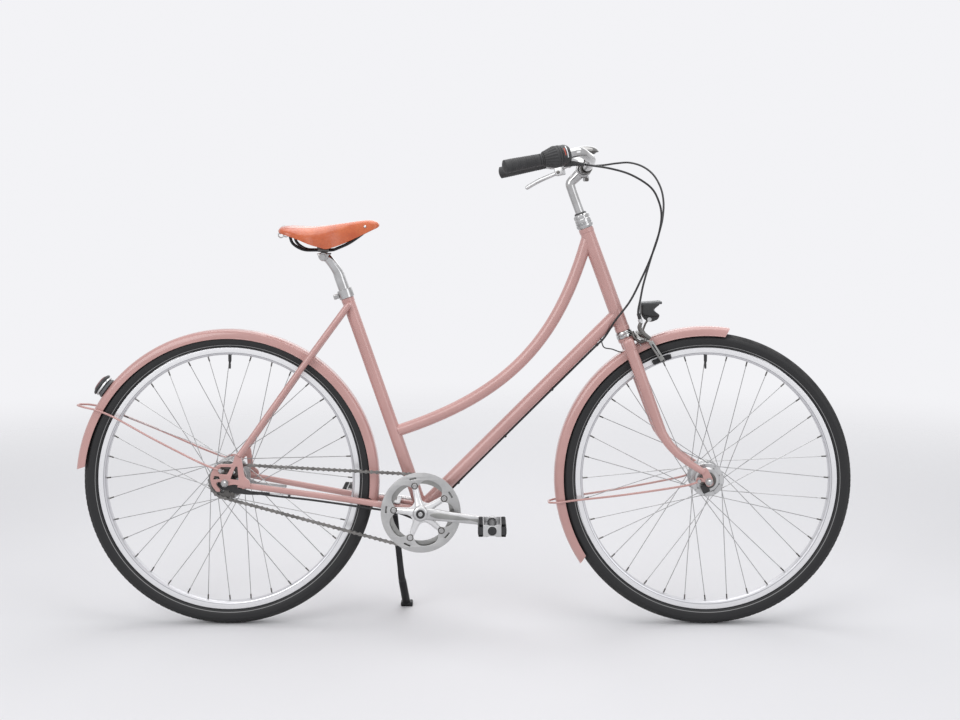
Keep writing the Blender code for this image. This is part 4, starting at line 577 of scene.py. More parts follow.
def clear_red(name, deep, light):
    """A moulded lens: small prism ridges behind a smooth face."""
    r = Recipe(name)
    ridges = r.cells(330.0, "DISTANCE_TO_EDGE")
    base = r.blend(ridges.between(0.0, 0.25), deep, light)
    return r.finish(Base_Color=base, Roughness=0.12, Coat_Weight=1.0, Coat_Roughness=0.03,
                    Normal=r.bumped(ridges, 0.5, 0.0006))


PINK = pink_paint()
CHROME = metal("polished_metal", (0.52, 0.52, 0.52), (0.37, 0.365, 0.36), 0.13, depth=0.05)
SATIN = metal("satin_alloy", (0.58, 0.58, 0.58), (0.47, 0.47, 0.47), 0.34, depth=0.12)
# the satin alloy painted lighter: a painted highlight for the crank's spider
PAINTED_HIGHLIGHT_ALLOY = metal("bright_alloy", (0.80, 0.80, 0.80), (0.70, 0.70, 0.70), 0.30, depth=0.08)
BELL_METAL = metal("bell_metal", (0.33, 0.33, 0.325), (0.24, 0.235, 0.23), 0.15, depth=0.03)
SPOKE_STEEL = metal("spoke_steel", (0.47, 0.47, 0.47), (0.36, 0.36, 0.36), 0.30)
DISC_GREY = metal("disc_grey", (0.52, 0.52, 0.515), (0.44, 0.44, 0.435), 0.40, (300.0, 300.0, 300.0))
# darker grey metal: painted shade on the crank flutes and the chainring, and also used for the brake arms
GREY_ALLOY_AND_SHADE = metal("crank_alloy", (0.34, 0.34, 0.33), (0.27, 0.27, 0.26), 0.42, depth=0.10)
DARK_STEEL = metal("dark_steel", (0.17, 0.163, 0.156), (0.09, 0.086, 0.082), 0.38, stain=0.2)
CHAIN_STEEL = metal("chain_steel", (0.26, 0.25, 0.24), (0.15, 0.145, 0.14), 0.36, stain=0.4)
BLACK_STEEL = metal("black_steel", (0.045, 0.045, 0.047), (0.030, 0.030, 0.032), 0.36)
BLACK = black_plastic()
GRIP_RUBBER = black_plastic("grip_rubber", (0.026, 0.026, 0.027), 0.60, 1100.0, 0.35)
CABLE_BLACK = black_plastic("cable_sleeve", (0.014, 0.014, 0.015), 0.34, 2500.0, 0.10)
VISOR_GREY = black_plastic("visor_grey", (0.075, 0.077, 0.080), 0.45, 1200.0, 0.15)
LEATHER = honey_leather()
RED_LENS = clear_red("red_lens", (0.100, 0.006, 0.006), (0.200, 0.012, 0.010))
DIAL_RED = black_plastic("dial_red", (0.38, 0.060, 0.035), 0.35, 1500.0, 0.05)
CLEAR_LENS = clear_red("clear_lens", (0.62, 0.64, 0.66), (0.88, 0.89, 0.90))
TYRES = {end: tyre_rubber(f"{end}_tyre_rubber", f"{end}_tyre") for end in ("rear", "front")}
RIMS = {end: rim_metal(f"{end}_rim_alloy", f"{end}_rim") for end in ("rear", "front")}
SLOTS = {"pink_paint": "pink_paint", "disc_grey": "grey_disc", "honey_leather": "honey_leather"}
for slot_name, finish_names in (
        ("polished_metal", "polished_metal satin_alloy spoke_steel bright_alloy bell_metal crank_alloy"),
        ("dark_steel", "dark_steel chain_steel"),
        ("black_plastic", "black_steel black_plastic grip_rubber visor_grey cable_sleeve"),
        ("red_lens", "red_lens dial_red clear_lens"),
        ("tyre_rubber", "rear_tyre_rubber front_tyre_rubber"),
        ("rim_alloy", "rear_rim_alloy front_rim_alloy")):
    SLOTS.update({name: slot_name for name in finish_names.split()})


# Main points of the bike
WHEELBASE = 1151.0
STAY_LENGTH = 470.0
BRACKET_DROP = 74.0
FRONT_AXLE = at(WHEELBASE, 0, WHEEL_RADIUS)
BRACKET = at(math.sqrt(STAY_LENGTH**2 - BRACKET_DROP**2), 0, WHEEL_RADIUS - BRACKET_DROP)
SEAT_ANGLE = math.radians(70.5)
HEAD_ANGLE = math.radians(70.0)
SEAT_UP = at(-math.cos(SEAT_ANGLE), 0, math.sin(SEAT_ANGLE))
SEAT_FRONT = at(math.sin(SEAT_ANGLE), 0, math.cos(SEAT_ANGLE))
HEAD_UP = at(-math.cos(HEAD_ANGLE), 0, math.sin(HEAD_ANGLE))
HEAD_FRONT = at(math.sin(HEAD_ANGLE), 0, math.cos(HEAD_ANGLE))
FORK_OFFSET = 66.0
HEAD_FOOT = FRONT_AXLE - HEAD_FRONT * FORK_OFFSET
HEAD_BOTTOM = 402.0
HEAD_TOP = 667.0
SEAT_TUBE_LENGTH = 553.0
HEAD_TUBE_RADIUS = 17.5
SEAT_TUBE_RADIUS = 15.3
DOWN_TUBE_RADIUS = 15.9
TOP_TUBE_RADIUS = 14.3
DROPOUT_SIDE = 69.0
REAR_OUTER = 72.0          # from the middle to the outer faces of the dropouts
FRONT_OUTER = 56.0         # and to those of the fork's ends
GAP = 0.3          # left between pieces that would otherwise touch


def head_point(along, forward=0.0, side=0.0):
    """A place by its way up the steering axis, forward of it and sideways."""
    return HEAD_FOOT + HEAD_UP * along + HEAD_FRONT * forward + SIDEWAYS * side


def seat_point(along, side=0.0):
    """A place by its way up the seat tube's axis and sideways."""
    return BRACKET + SEAT_UP * along + SIDEWAYS * side


def collar(centre, axis, radius, length, rise):
    """A thin raised ring round a tube, as where a joint is brazed."""
    profile = eased(radius - 1, radius + rise, -length / 2, length / 2, rise, rise)
    return turned(profile, centre, axis, 40, soft=rise * 0.5)


# Frame tubes. Where two tubes meet, the thinner one runs into the thicker one's wall.
head_tube = turned(band(13, HEAD_TUBE_RADIUS, HEAD_BOTTOM + GAP, HEAD_TOP - GAP), HEAD_FOOT, HEAD_UP, 48,
                   soft=0.5)
head_tube += collar(head_point(HEAD_BOTTOM + 6), HEAD_UP, 17.4, 11, 0.9)
head_tube += collar(head_point(HEAD_TOP - 6), HEAD_UP, 17.4, 11, 0.9)
piece("head_tube_painted", head_tube, "frame", PINK, "head_tube")
LOWER_CUP = [(13, 0.3), (20.2, 0.3), (20.5, 2), (20.5, 6), (19.6, 7), (19.6, 9), (20.2, 10), (20.0, 12),
             (17.6, 15.8), (13, 16)]
piece("lower_headset_cup", turned(LOWER_CUP, head_point(386), HEAD_UP, 48), "frame", CHROME,
      "headset_lower_cup")
UPPER_CUP = [(13, 0), (17.6, 0.2), (20.2, 4), (20.5, 6), (20.5, 9), (19.4, 10), (19.4, 11.5), (20.4, 12.5),
             (20.2, 14), (13, 14)]
piece("upper_headset_cup", turned(UPPER_CUP, head_point(HEAD_TOP), HEAD_UP, 48), "frame", CHROME,
      "headset_upper_cup")

SHELL = [(9, -35), (18.6, -35), (18.6, -33.5), (20.5, -33), (20.5, 33), (18.6, 33.5), (18.6, 35), (9, 35),
         (9, 20), (15, 20), (15, -20), (9, -20)]
piece("bottom_bracket", turned(SHELL, BRACKET, SIDEWAYS, 48, soft=0.5), "frame", PINK,
      "bottom_bracket_shell")

seat_tube = turned(band(14, SEAT_TUBE_RADIUS, 14, SEAT_TUBE_LENGTH), BRACKET, SEAT_UP, 48, soft=0.4)
seat_tube += collar(seat_point(534), SEAT_UP, 15.2, 10, 0.6)
piece("seat_tube_painted", seat_tube, "frame", PINK, "seat_tube")

DOWN_TUBE_HEAD = head_point(HEAD_BOTTOM + 43)
DOWN_WAY = unit(DOWN_TUBE_HEAD - BRACKET)
down_tube = tube([BRACKET + DOWN_WAY * 8, DOWN_TUBE_HEAD - DOWN_WAY * 5], DOWN_TUBE_RADIUS, 40)
piece("down_tube_painted", down_tube, "frame", PINK, "down_tube")


def top_tube_line():
    """A cubic curve from the head tube's axis to the seat tube's axis, with a pull at each end."""
    start, end = head_point(HEAD_TOP - 18), seat_point(196)
    a, b = math.radians(-105.6), math.radians(17.6)
    pull_a = start + polar_at(248, a)
    pull_b = end + polar_at(309, b)
    t = np.linspace(0.01, 0.99, 70)[:, None]
    s = 1 - t
    return start * s**3 + pull_a * 3 * s * s * t + pull_b * 3 * s * t * t + end * t**3


piece("top_tube_painted", tube(top_tube_line(), TOP_TUBE_RADIUS, 40), "frame", PINK, "top_tube")

# Rear triangle
SLOT_EDGE = 5.3 * np.stack([f(np.radians(np.linspace(190, -25, 16))) for f in (np.cos, np.sin)], -1)
DROPOUT = at((60, -12), (60, 5), (47, 14), (40, 58.2), (25, 68.8), (18, 44), (4, 45), (-14, 45), (-23, 38),
             (-33, 24), (-35, 8), (-30, -8), (-20, -20), (-11, -21), (-11, -14), (-19, -6), (-20, 1),
             (-12, 3), *SLOT_EDGE, (8, -6), (22, -3), (46, -9))
soft_corner = np.full(len(DROPOUT), 7.0)
soft_corner[3:5] = 2.0           # at the top, under the seat stay
soft_corner[12:18] = 3.0         # about the axle slot's mouth
soft_corner[18:34] = 0.01        # along the slot's round end
WINDOWS = [rounded([(13, 9), (33, 7), (30, 40), (25, 38)], 3.0),
           rounded([(-15, 22), (5, 20), (16, 38), (-10, 38)], 3.5),
           rounded([(-27, 8), (-11, 9.5), (-14, 16), (-25, 17)], 2.0)]


def chain_stay(side):
    """A stay that runs out round the tyre and is drawn down to an oval and pressed flat at its dropout.
    Each row is the way along it from the rear axle and its place sideways."""
    length = 464
    rows = at((length, 24), (400, 30), (371, 33.8), (300, 34.2), (150, 50), (30, 63.8))
    points = mix(REAR_AXLE, BRACKET, rows[:, :1] / length) + SIDEWAYS * rows[:, 1:] * side
    share = np.linspace(0, 1, 60)
    stay = tube(smooth(points, 60), mix(8.6, 7.0, share), 28, flat=1 - 0.16 * np.clip(share * 4 - 3, 0, 1))
    middle = REAR_AXLE + SIDEWAYS * side * DROPOUT_SIDE
    outline = rounded(DROPOUT, soft_corner, 4)
    stay += plate([outline, *WINDOWS], middle, 6.0, 0.9)
    boss = mix(REAR_AXLE, BRACKET, 44 / length) + SIDEWAYS * 67 * side
    stay += bar(boss, boss - SIDEWAYS * side * 5, 7.6)
    return stay


def seat_stay_line(side, count):
    """A stay's middle line, bowed a little between the seat tube and its dropout."""
    top = seat_point(524, side * 21.3)
    foot = at(33, side * DROPOUT_SIDE, WHEEL_RADIUS + 64)
    middle = mix(top, foot, 0.5) + at(-2, side * 2, 0)
    return smooth([top, middle, foot], count)


def seat_stay(side):
    """A stay that thins out downwards, with a domed cap at its top."""
    share = np.linspace(0, 1, 50)
    line = seat_stay_line(side, 50)
    upwards = unit(line[0] - line[1])
    cap = [(0, 0), (8.0, 0), (7.4, 2.6), (4.6, 5.2), (0, 6.2)]
    return tube(line, mix(8.0, 6.8, share), 28) + turned(cap, line[0] - upwards * 0.5, upwards, 28)


GUARD_CENTRE = REAR_AXLE + at(-3, 0, -6)
REAR_GUARD_RADIUS = 366.0
FRONT_GUARD_RADIUS = 367.0
long_line = seat_stay_line(1, 400)
from_guard = np.linalg.norm((long_line - GUARD_CENTRE) * (1, 0, 1), axis=1)
BRIDGE = long_line[np.flatnonzero(from_guard >= REAR_GUARD_RADIUS + GAP + 6)[-1]]
bridge_tube = bar(BRIDGE * (1, -1, 1), BRIDGE - SIDEWAYS * 9.5, 6.0, 28)
piece("right_seat_stay_painted", seat_stay(-1) + bridge_tube, "frame", PINK, "right_seat_stay")
piece("left_seat_stay_painted", seat_stay(1), "frame", PINK, "left_seat_stay")
piece("right_chain_stay_painted", chain_stay(-1), "frame", PINK, "right_chain_stay")
piece("left_chain_stay_painted", chain_stay(1), "frame", PINK, "left_chain_stay")

ear = seat_point(551) - SEAT_FRONT * 23.3
collar_ring = turned(band(15.6, 18.3, 540, 562), BRACKET, SEAT_UP, 48, soft=1.0)
for y in (4.4, -4.4):
    collar_ring += block(ear + SIDEWAYS * y, (14, 5.4, 12), SEAT_FRONT, SIDEWAYS, 2.0)
collar_ring += bar(ear - SEAT_FRONT - SIDEWAYS * 8.5, ear - SEAT_FRONT + SIDEWAYS * 8.5, 2.6)
collar_ring += nut(ear - SEAT_FRONT - SIDEWAYS * 10, SIDEWAYS, 8.0, 3.2)
piece("seat_tube_collar", collar_ring, "frame", CHROME, "seat_collar")


# Wheels. The spokes stand in four sets, one each way from both flanges of a hub.
RIM_TOP = 316.0
RIM_BOTTOM = 297.5
TYRE_MIDDLE = 331.0
TYRE_RADIUS = 20.0
FLANGE_SIDE = 28.0
SPOKES_IN_SET = 9


def tyre(centre):
    """A ring whose section is part of a circle. At turn a about the axle and b about the section the
    place is (r cos a, -q cos b, r sin a), with r = 331 + q sin b and q = 20 less the tread's slanted
    grooves and rings, up to 1.2 deep, and less up to 0.9 at the beads."""
    turn = TAU * np.arange(720) / 720
    foot = math.asin((RIM_TOP + GAP - TYRE_MIDDLE) / TYRE_RADIUS)
    across_turn = np.linspace(foot, math.pi - foot, 49)
    a, b = np.meshgrid(turn, across_turn, indexing="ij")
    middle = (b - np.pi / 2) * TYRE_RADIUS
    reach = abs(middle)
    slant = a * WHEEL_RADIUS + reach * 0.55
    grooves = np.clip(np.sin(slant * TAU / 13.8) * 4 - 2.2, 0, 1) * np.clip((reach - 5) / 2, 0, 1)
    grooves *= np.clip((17.5 - reach) / 2, 0, 1)
    rings = np.clip(1 - abs(reach - 4.2) / 0.9, 0, 1) + np.clip(1 - abs(reach - 17.9) / 0.9, 0, 1)
    depth = np.maximum(grooves * 1.2, rings * 1.1)
    bead = 0.9 * np.clip((reach - 27) / 3, 0, 1)
    radius = TYRE_RADIUS - depth - bead
    r = TYRE_MIDDLE + radius * np.sin(b)
    y = -radius * np.cos(b)
    grid = centre + np.stack((r * np.cos(a), y, r * np.sin(a)), -1)
    return surface(grid, along=True)


def rim(centre):
    """A box rim: flat braking walls with rounded edges, drawn in towards a narrower bed at the spokes."""
    right = [(RIM_BOTTOM, -6.5), (RIM_BOTTOM + 2.2, -10.4), (RIM_BOTTOM + 5.8, -11.9), (RIM_TOP - 1, -12),
             (RIM_TOP, -11.4)]
    section = right + [(r, -y) for r, y in right[::-1]]
    return turned(section, centre, SIDEWAYS, 240, soft=0.6)


def wheel_point(centre, radius, angle, y):
    """Places round an axle: (radius cos, y, radius sin) from its centre."""
    return centre + np.stack(np.broadcast_arrays(radius * np.cos(angle), y, radius * np.sin(angle)), -1)


def spokes(centre, flange_radius):
    """Straight round spokes of four sets; each has a short elbow through its flange and a nipple."""
    wires, nipples = [], []
    full_turns = TAU * np.arange(SPOKES_IN_SET) / SPOKES_IN_SET
    step = TAU / SPOKES_IN_SET / 2
    for side in (-1, 1):
        for way in (-1, 1):
            start = (0 if way > 0 else step) + (step / 2 if side > 0 else 0)
            face = side * (FLANGE_SIDE + way * 0.9)
            near = wheel_point(centre, flange_radius - 3.0, start, face)
            far = wheel_point(centre, RIM_BOTTOM - 1.0, start + way * step * 3, side * (3.0 + way * 1.8))
            line = unit(far - near)
            elbow = wheel_point(centre, flange_radius - 3.0, start, side * FLANGE_SIDE - side * way * 2.2)
            first = near + line * 1.5
            path = [elbow, mix(elbow, near, 0.6), first, mix(near, far, 0.5), far]
            guide = UP if abs(line[2]) < 0.9 else FORWARD
            one = tube(path, 0.95, 8, guide=guide)
            one += bar(elbow - SIDEWAYS * side * way * 1.1, elbow, 1.9, 10, 0.4)
            nipple_path = [far - line * 11, far - line * 10.6, far - line * 2, far]
            nipple = tube(nipple_path, [1.1, 1.75, 1.75, 2.1], 8, guide=guide)
            wires.append(copies(one, full_turns, centre))
            nipples.append(copies(nipple, full_turns, centre))
    return joined(wires), joined(nipples)


def valve(centre):
    """A tyre valve standing in from the rim: stem, collar and cap."""
    profile = [(0, -34), (2.0, -34), (2.6, -32), (2.6, -22), (2.1, -21), (3.9, -15), (4.1, -3), (4.1, 1),
               (0, 1)]
    return turned(profile, centre + UP * RIM_BOTTOM, UP, 16)


def hub(centre, flange_radius, barrel, ends, neck):
    """A hub shell with two flanges and a barrel that narrows in soft steps, drawn as two halves that
    differ only in where they end."""
    outer, inner = FLANGE_SIDE + 1.9, FLANGE_SIDE - 1.9

    def half(end):
        return [(5.3, end), (neck - 1.5, end), (neck, end - 1.5), (neck, outer + 2), (neck + 2, outer),
                (flange_radius - 0.8, outer), (flange_radius, outer - 0.8), (flange_radius, inner + 0.8),
                (flange_radius - 0.8, inner), (barrel + 4, inner - 1.5), (barrel, inner - 6)]
    right, left = (half(end) for end in ends)
    return turned([(r, -y) for r, y in right] + left[::-1], centre, SIDEWAYS, 72)


def hole_shade_discs(centre, flange_radius, side):
    """Painted shade: dark discs for the round openings between the spoke holes of a flange."""
    y = side * (FLANGE_SIDE + 1.95)
    one = bar(wheel_point(centre, flange_radius - 11, 0.0, y - side * 0.4),
              wheel_point(centre, flange_radius - 11, 0.0, y + side * 0.05), 2.6, 14, 0.02)
    return copies(one, TAU * (np.arange(SPOKES_IN_SET) + 0.5) / SPOKES_IN_SET, centre)


for end, centre, flange_radius, barrel, ends, neck in (
        ("rear", REAR_AXLE, 46.0, 30.0, (41.0, 55.0), 24.0),
        ("front", FRONT_AXLE, 40.0, 36.0, (34.0, 34.0), 28.0)):
    body = f"{end}_wheel"
    piece(f"{end}_tyre_with_tread", tyre(centre), body, TYRES[end], f"{end}_tyre", sharp=50)
    piece(f"{end}_rim_with_edges", rim(centre), body, RIMS[end], f"{end}_rim")
    piece(f"{end}_hub_shell", hub(centre, flange_radius, barrel, ends, neck), body, SATIN, f"{end}_hub")
    wires, nipples = spokes(centre, flange_radius)
    piece(f"{end}_spokes", wires, body, SPOKE_STEEL)
    piece(f"{end}_spoke_nipples", nipples, body, DARK_STEEL)
    piece(f"{end}_valve", valve(centre), body, BLACK)
    # dark discs as painted shade in the flange openings
    openings = hole_shade_discs(centre, flange_radius, -1) + hole_shade_discs(centre, flange_radius, 1)
    piece(f"{end}_flange_hole_shade", openings, body, DARK_STEEL)


def axle_ends(centre, outer, right_cone, left_cone):
    """Threaded axle with cones inside the dropouts, and a washer, nut and domed cap outside each."""
    whole = bar(centre - SIDEWAYS * (outer + 13), centre + SIDEWAYS * (outer + 13), 4.9, 24, 1.0)
    for side, cone in ((-1, right_cone), (1, left_cone)):
        axis = SIDEWAYS * side
        face = centre + axis * outer
        whole += turned(band(4, 9, cone, outer - 6.3), centre, axis, 24, soft=0.8)
        whole += turned(band(4.5, 9.0, GAP, 1.6), face, axis, 32, soft=0.3)
        whole += nut(face + axis * 1.6, axis, 14.6, 6.6, 4.0)
        whole += turned([(0, 7), (6.4, 7), (6.2, 9.4), (3.6, 12.2), (0, 13)], face, axis, 24)
    return whole


rear_ends = axle_ends(REAR_AXLE, REAR_OUTER, 57.8, 59.6)
front_ends = axle_ends(FRONT_AXLE, FRONT_OUTER, 34.3, 34.3)
piece("rear_axle_and_nuts", rear_ends, "frame", CHROME, "rear_axle")
piece("front_axle_and_nuts", front_ends, "steering", CHROME, "front_axle")


# Mudguards
def guard_section():
    """A shallow arch of width 48 and depth 22: across = 24 sin, inward = 22 times a high power of the
    distance from the middle, then back along a line 1.5 mm inside."""
    s = np.linspace(-1, 1, 33)
    outer = np.stack((24.0 * np.sin(s * np.pi / 2), -22.0 * abs(s)**3.2), -1)
    along = unit(np.gradient(outer, axis=0))
    inner = outer + np.stack((along[:, 1], -along[:, 0]), -1) * 1.5
    inner[:, 1] = np.maximum(inner[:, 1], -22.0)
    return np.vstack((outer, inner[::-1]))


def guard(centre, radius, start, end):
    """The arch carried round a circle: point = centre + (radius + inward) outward + across. Both ends
    are cut on a slant, as the turn shrinks with the depth of the arch. Each edge has a rolled bead."""
    slant, count = 1.6, 140
    section = guard_section()
    share = np.linspace(-1, 1, count)[:, None]
    half = (end - start) / 2 + slant * np.clip(section[:, 1] / 22, -1, 0)
    angle = np.radians((start + end) / 2 + share * half)
    whole = surface(wheel_point(centre, radius + section[:, 1], angle, section[:, 0]))
    bead_turn = np.radians(np.linspace(start + slant, end - slant, count))
    for y in (-23.2, 23.2):
        whole += tube(wheel_point(centre, radius - 21.4, bead_turn, y), 1.3, 8)
    return whole


def rod_round_guard(centre, rows):
    """A rod from one axle end round the mudguard to the other, through its left half's points."""
    half = centre + at(*rows)
    whole = np.vstack((half * (1, -1, 1), half[-2::-1]))
    return tube(smooth(whole, 120), 2.5, 12, guide=UP)


piece("rear_mudguard_painted", guard(GUARD_CENTRE, REAR_GUARD_RADIUS, -8.0, 175.6), "frame", PINK,
      "rear_mudguard")
piece("front_mudguard_painted", guard(FRONT_AXLE, FRONT_GUARD_RADIUS, 81.0, 214.0), "steering", PINK,
      "front_mudguard")
REAR_ROD = [(-6, 74.8, 29), (-44, 74.8, 43), (-90, 68, 63), (-181, 54, 106), (-270, 28.8, 148),
            (-314, 27.8, 166), (-345, 25, 173), (-363, 12, 175.5), (-368, 0, 175.5)]
FRONT_ROD = [(-24, 58.8, 1), (-64, 53.2, -11), (-200, 40, -34), (-318, 27.4, -50), (-352, 26.8, -55),
             (-376, 14, -58), (-379, 0, -58.5)]


def stay_bolts(centre, place, side_at):
    """A bolt head and washer that hold a rod's eye, on both sides."""
    bolts = []
    for side in (-1, 1):
        way = SIDEWAYS * side
        foot = centre + place + way * side_at
        bolts.append(turned(band(0, 4.6, 0, 1.0), foot, way, 20, soft=0.2))
        bolts.append(nut(foot + way, way, 7.0, 2.8))
    return joined(bolts)


piece("rear_guard_rods", rod_round_guard(REAR_AXLE, REAR_ROD), "frame", PINK, "rear_mudguard_stay")
piece("front_guard_rods", rod_round_guard(FRONT_AXLE, FRONT_ROD), "steering", PINK, "front_mudguard_stay")
piece("rear_rod_bolts", stay_bolts(REAR_AXLE, at(-10, 0, 31), 77.2), "frame", CHROME)
piece("front_rod_bolts", stay_bolts(FRONT_AXLE, at(-24, 0, 2), 60.6), "steering", CHROME)


# Fork
BOLT_TILT = math.radians(33.5)
BOLT_WAY = polar_at(1, BOLT_TILT)
ARM_WAY = at(math.sin(BOLT_TILT), 0, -math.cos(BOLT_TILT))
CROWN = head_point(373)


def fork_leg():
    """Rows of (place, radius, flatness) from the crown's middle to the wheel end on the left. Below the
    bend's start the leg moves forwards as the square of the way down, to reach at its end."""
    bend, end, reach = 165, 25, 62.7
    rows = [(373, 0, 12.0, 1.0), (372, 19.5, 12.0, 1.0), (364, 33.5, 12.5, 0.94), (347, 39, 14.0, 0.8),
            (303, 40, 14.5, 0.76), (bend, 44, 12.8, 0.78)]
    rows += [(mix(bend, end, k / 5), mix(44, 53, k / 5), mix(12.8, 7.5, k / 5), 0.84) for k in range(1, 6)]
    rows = at(*rows)
    forward = reach / (bend - end)**2 * np.maximum(bend - rows[:, 0], 0)**2
    points = at(*map(head_point, rows[:, 0], forward, rows[:, 1]))
    return np.hstack((points, rows[:, 2:]))


left_leg = fork_leg()
both_legs = np.vstack((left_leg[:0:-1] * (1, -1, 1, 1, 1), left_leg))
fine_legs = smooth(both_legs, 181)
fork = tube(fine_legs[:, :3], fine_legs[:, 3] * fine_legs[:, 4], 32, flat=1 / fine_legs[:, 4],
            guide=HEAD_FRONT)
fork += turned(band(11.6, 12.7, 372, 701), HEAD_FOOT, HEAD_UP, 40)
fork += turned([(12.7, 375), (18.5, 375.5), (19.6, 378), (19.6, 384.5), (18.8, 385.6), (12.7, 385.8)],
               HEAD_FOOT, HEAD_UP, 48, soft=0.5)
fork += bar(CROWN, CROWN + BOLT_WAY * 16, 8.0, 28)
for side in (-1, 1):
    fork += block(head_point(366, 0, side * 36.5), (28.6, 25.0, 34.0), HEAD_FRONT, SIDEWAYS, 8.0, 6)
FORK_END = [(-8, -11), (8, -11), (11, 6), (7, 34), (-7, 34), (-11, 8)]
for side in (-1, 1):
    middle = FRONT_AXLE + SIDEWAYS * side * 53
    fork += plate([rounded(FORK_END, 6.0, 4), ring(28, 5.3, 5.3)], middle, 6.0, 0.8, HEAD_FRONT, HEAD_UP)
    fork += block(middle + at(-14, 0, 4), (20, 5.6, 9), unit(at(1, 0, -0.15)), SIDEWAYS, 2.0)
    fork += turned(eased(2.6, 7, -2.8, 2.8, 0.4, 0.4), middle + at(-24, 0, 3), SIDEWAYS, 28)
piece("fork_painted", fork, "steering", PINK, "fork")
cover = turned([(5.6, -44.5), (15.5, -44.5), (16.5, -43.6), (17, -39), (20, -38.2), (20, -36.2),
                (5.6, -36.2)], FRONT_AXLE, SIDEWAYS, 40, soft=0.4)
piece("dynamo_end_cover", cover, "steering", DARK_STEEL)
plug_way = unit(at(1, 0, 0.45))
plug = block(FRONT_AXLE + at(-7, -43.5, -19), (18, 11, 19), plug_way, SIDEWAYS, 2.4)
plug += block(FRONT_AXLE + at(-10, -46.5, -12), (10, 6, 10), plug_way, SIDEWAYS, 1.6)
piece("dynamo_plug", plug, "steering", BLACK)
LOCKNUT = [(13, 681.3), (19.3, 681.3), (19.3, 689), (17.8, 690.5), (17.8, 699), (15.4, 702.4), (13, 703)]
locknut = turned(LOCKNUT, HEAD_FOOT, HEAD_UP, 48, soft=0.4)
locknut += nut(head_point(690.4), HEAD_UP, 33.0, 9.0, 13.0)
piece("steering_locknut", locknut, "steering", CHROME, "headset_locknut")


# Drive. The chain's path runs round both sprockets and straight between them.
CHAIN_LINE = -45.0
CHAIN_PITCH = 12.7
BIG_TEETH = 44
SMALL_TEETH = 20
BIG_RADIUS = 89.0
SMALL_RADIUS = 40.6
tilt = math.atan2(BRACKET[2] - REAR_AXLE[2], BRACKET[0] - REAR_AXLE[0])
between_axles = np.linalg.norm(BRACKET - REAR_AXLE)
splay = math.asin((BIG_RADIUS - SMALL_RADIUS) / between_axles)
front_turn = np.linspace(tilt - np.pi / 2 - splay, tilt + np.pi / 2 + splay, 241)
rear_turn = np.linspace(tilt + np.pi / 2 + splay, tilt + np.pi * 1.5 - splay, 161)
chain_path = np.vstack((wheel_point(BRACKET, BIG_RADIUS, front_turn, CHAIN_LINE),
                        wheel_point(REAR_AXLE, SMALL_RADIUS, rear_turn, CHAIN_LINE)))
chain_path = np.vstack((chain_path, chain_path[:1]))
path_length = np.concatenate(([0], np.cumsum(np.linalg.norm(np.diff(chain_path, axis=0), axis=1))))
PINS = 2 * round(path_length[-1] / CHAIN_PITCH / 2)
PITCH = path_length[-1] / PINS
pin_place = np.arange(PINS) * PITCH
pins = np.stack([np.interp(pin_place, path_length, chain_path[:, i]) for i in range(3)], -1)


def strung(shape, places, ahead):
    """Copies of a shape, drawn with x along the chain and z outwards, laid on places with directions."""
    ahead = unit(ahead)[:, None]
    out = np.cross(ahead, SIDEWAYS)
    p = shape.points[None]
    points = places[:, None] + ahead * p[..., :1] + SIDEWAYS * p[..., 1:2] + out * p[..., 2:]
    step = np.arange(len(places))[:, None, None] * p.shape[1]
    return Shape(points, [(f[None] + step).reshape(-1, f.shape[1]) for f in shape.faces])


def link_plate(y, waist=2.3):
    """A side plate shaped like an eight: half height = waist + (lobe - waist) times a cosine along it,
    closed by half circles round both pins, 1 mm thick."""
    length, lobe = CHAIN_PITCH, 4.3
    turn = np.linspace(-np.pi / 2, np.pi / 2, 6)
    right = np.stack((length / 2 + lobe * np.cos(turn), lobe * np.sin(turn)), -1)
    top = at((length * 0.22, waist + 0.25), (0, waist), (-length * 0.22, waist + 0.25))
    outline = np.vstack((right, top, -right, -top))
    near, far = outline * 0.95, outline
    levels = at(-0.5, -0.32, 0.32, 0.5) + y
    grid = np.stack([np.insert(o, 1, level, axis=1) for o, level in zip((near, far, far, near), levels)])
    return surface(grid)


def roller(radius, half):
    """A short rod across the chain."""
    return bar(at(0, -half, 0), at(0, half, 0), radius, 10, 0.3)


def chain():
    """Outer and inner plates in turn along the path, with a roller and pin heads on each of its pins."""
    ahead = np.roll(pins, -1, 0) - pins
    middles = pins + ahead / 2
    whole = strung(link_plate(-3.1) + link_plate(3.1), middles[::2], ahead[::2])
    inner = link_plate(-1.95, waist=2.6) + link_plate(1.95, waist=2.6)
    whole += strung(inner, middles[1::2], ahead[1::2])
    return whole + strung(roller(3.8, 1.4) + roller(1.7, 3.95), pins, ahead)


piece("chain_links", chain(), "frame", CHAIN_STEEL, "chain", weld=0.001)


def toothed(teeth, radius, phase):
    """Polar outline of a sprocket: the radius swings between root and tip once for each tooth, with
    flattened tips and round roots."""
    turn = TAU * np.arange(teeth * 12) / (teeth * 12)
    wave = np.cos((turn - phase) * teeth)
    r = radius - 3.5 + 6.4 * (0.5 + 0.5 * np.clip(wave * 1.25, -1, 1))
    return np.stack((r * np.cos(turn), r * np.sin(turn)), -1)


BOLT_TURN = math.radians(31.0)
BOLT_TURNS = BOLT_TURN + TAU * np.arange(5) / 5


def near_bolt(turn, width, power=2):
    """One at each of the five bolts and nought between them, over a width in radians."""
    gap = (turn - BOLT_TURN + TAU / 10) % (TAU / 5) - TAU / 10
    return np.exp(-abs(gap / width)**power)


def polar(radius, turn):
    """Outline points (radius cos, radius sin)."""
    return np.stack((radius * np.cos(turn), radius * np.sin(turn)), -1)


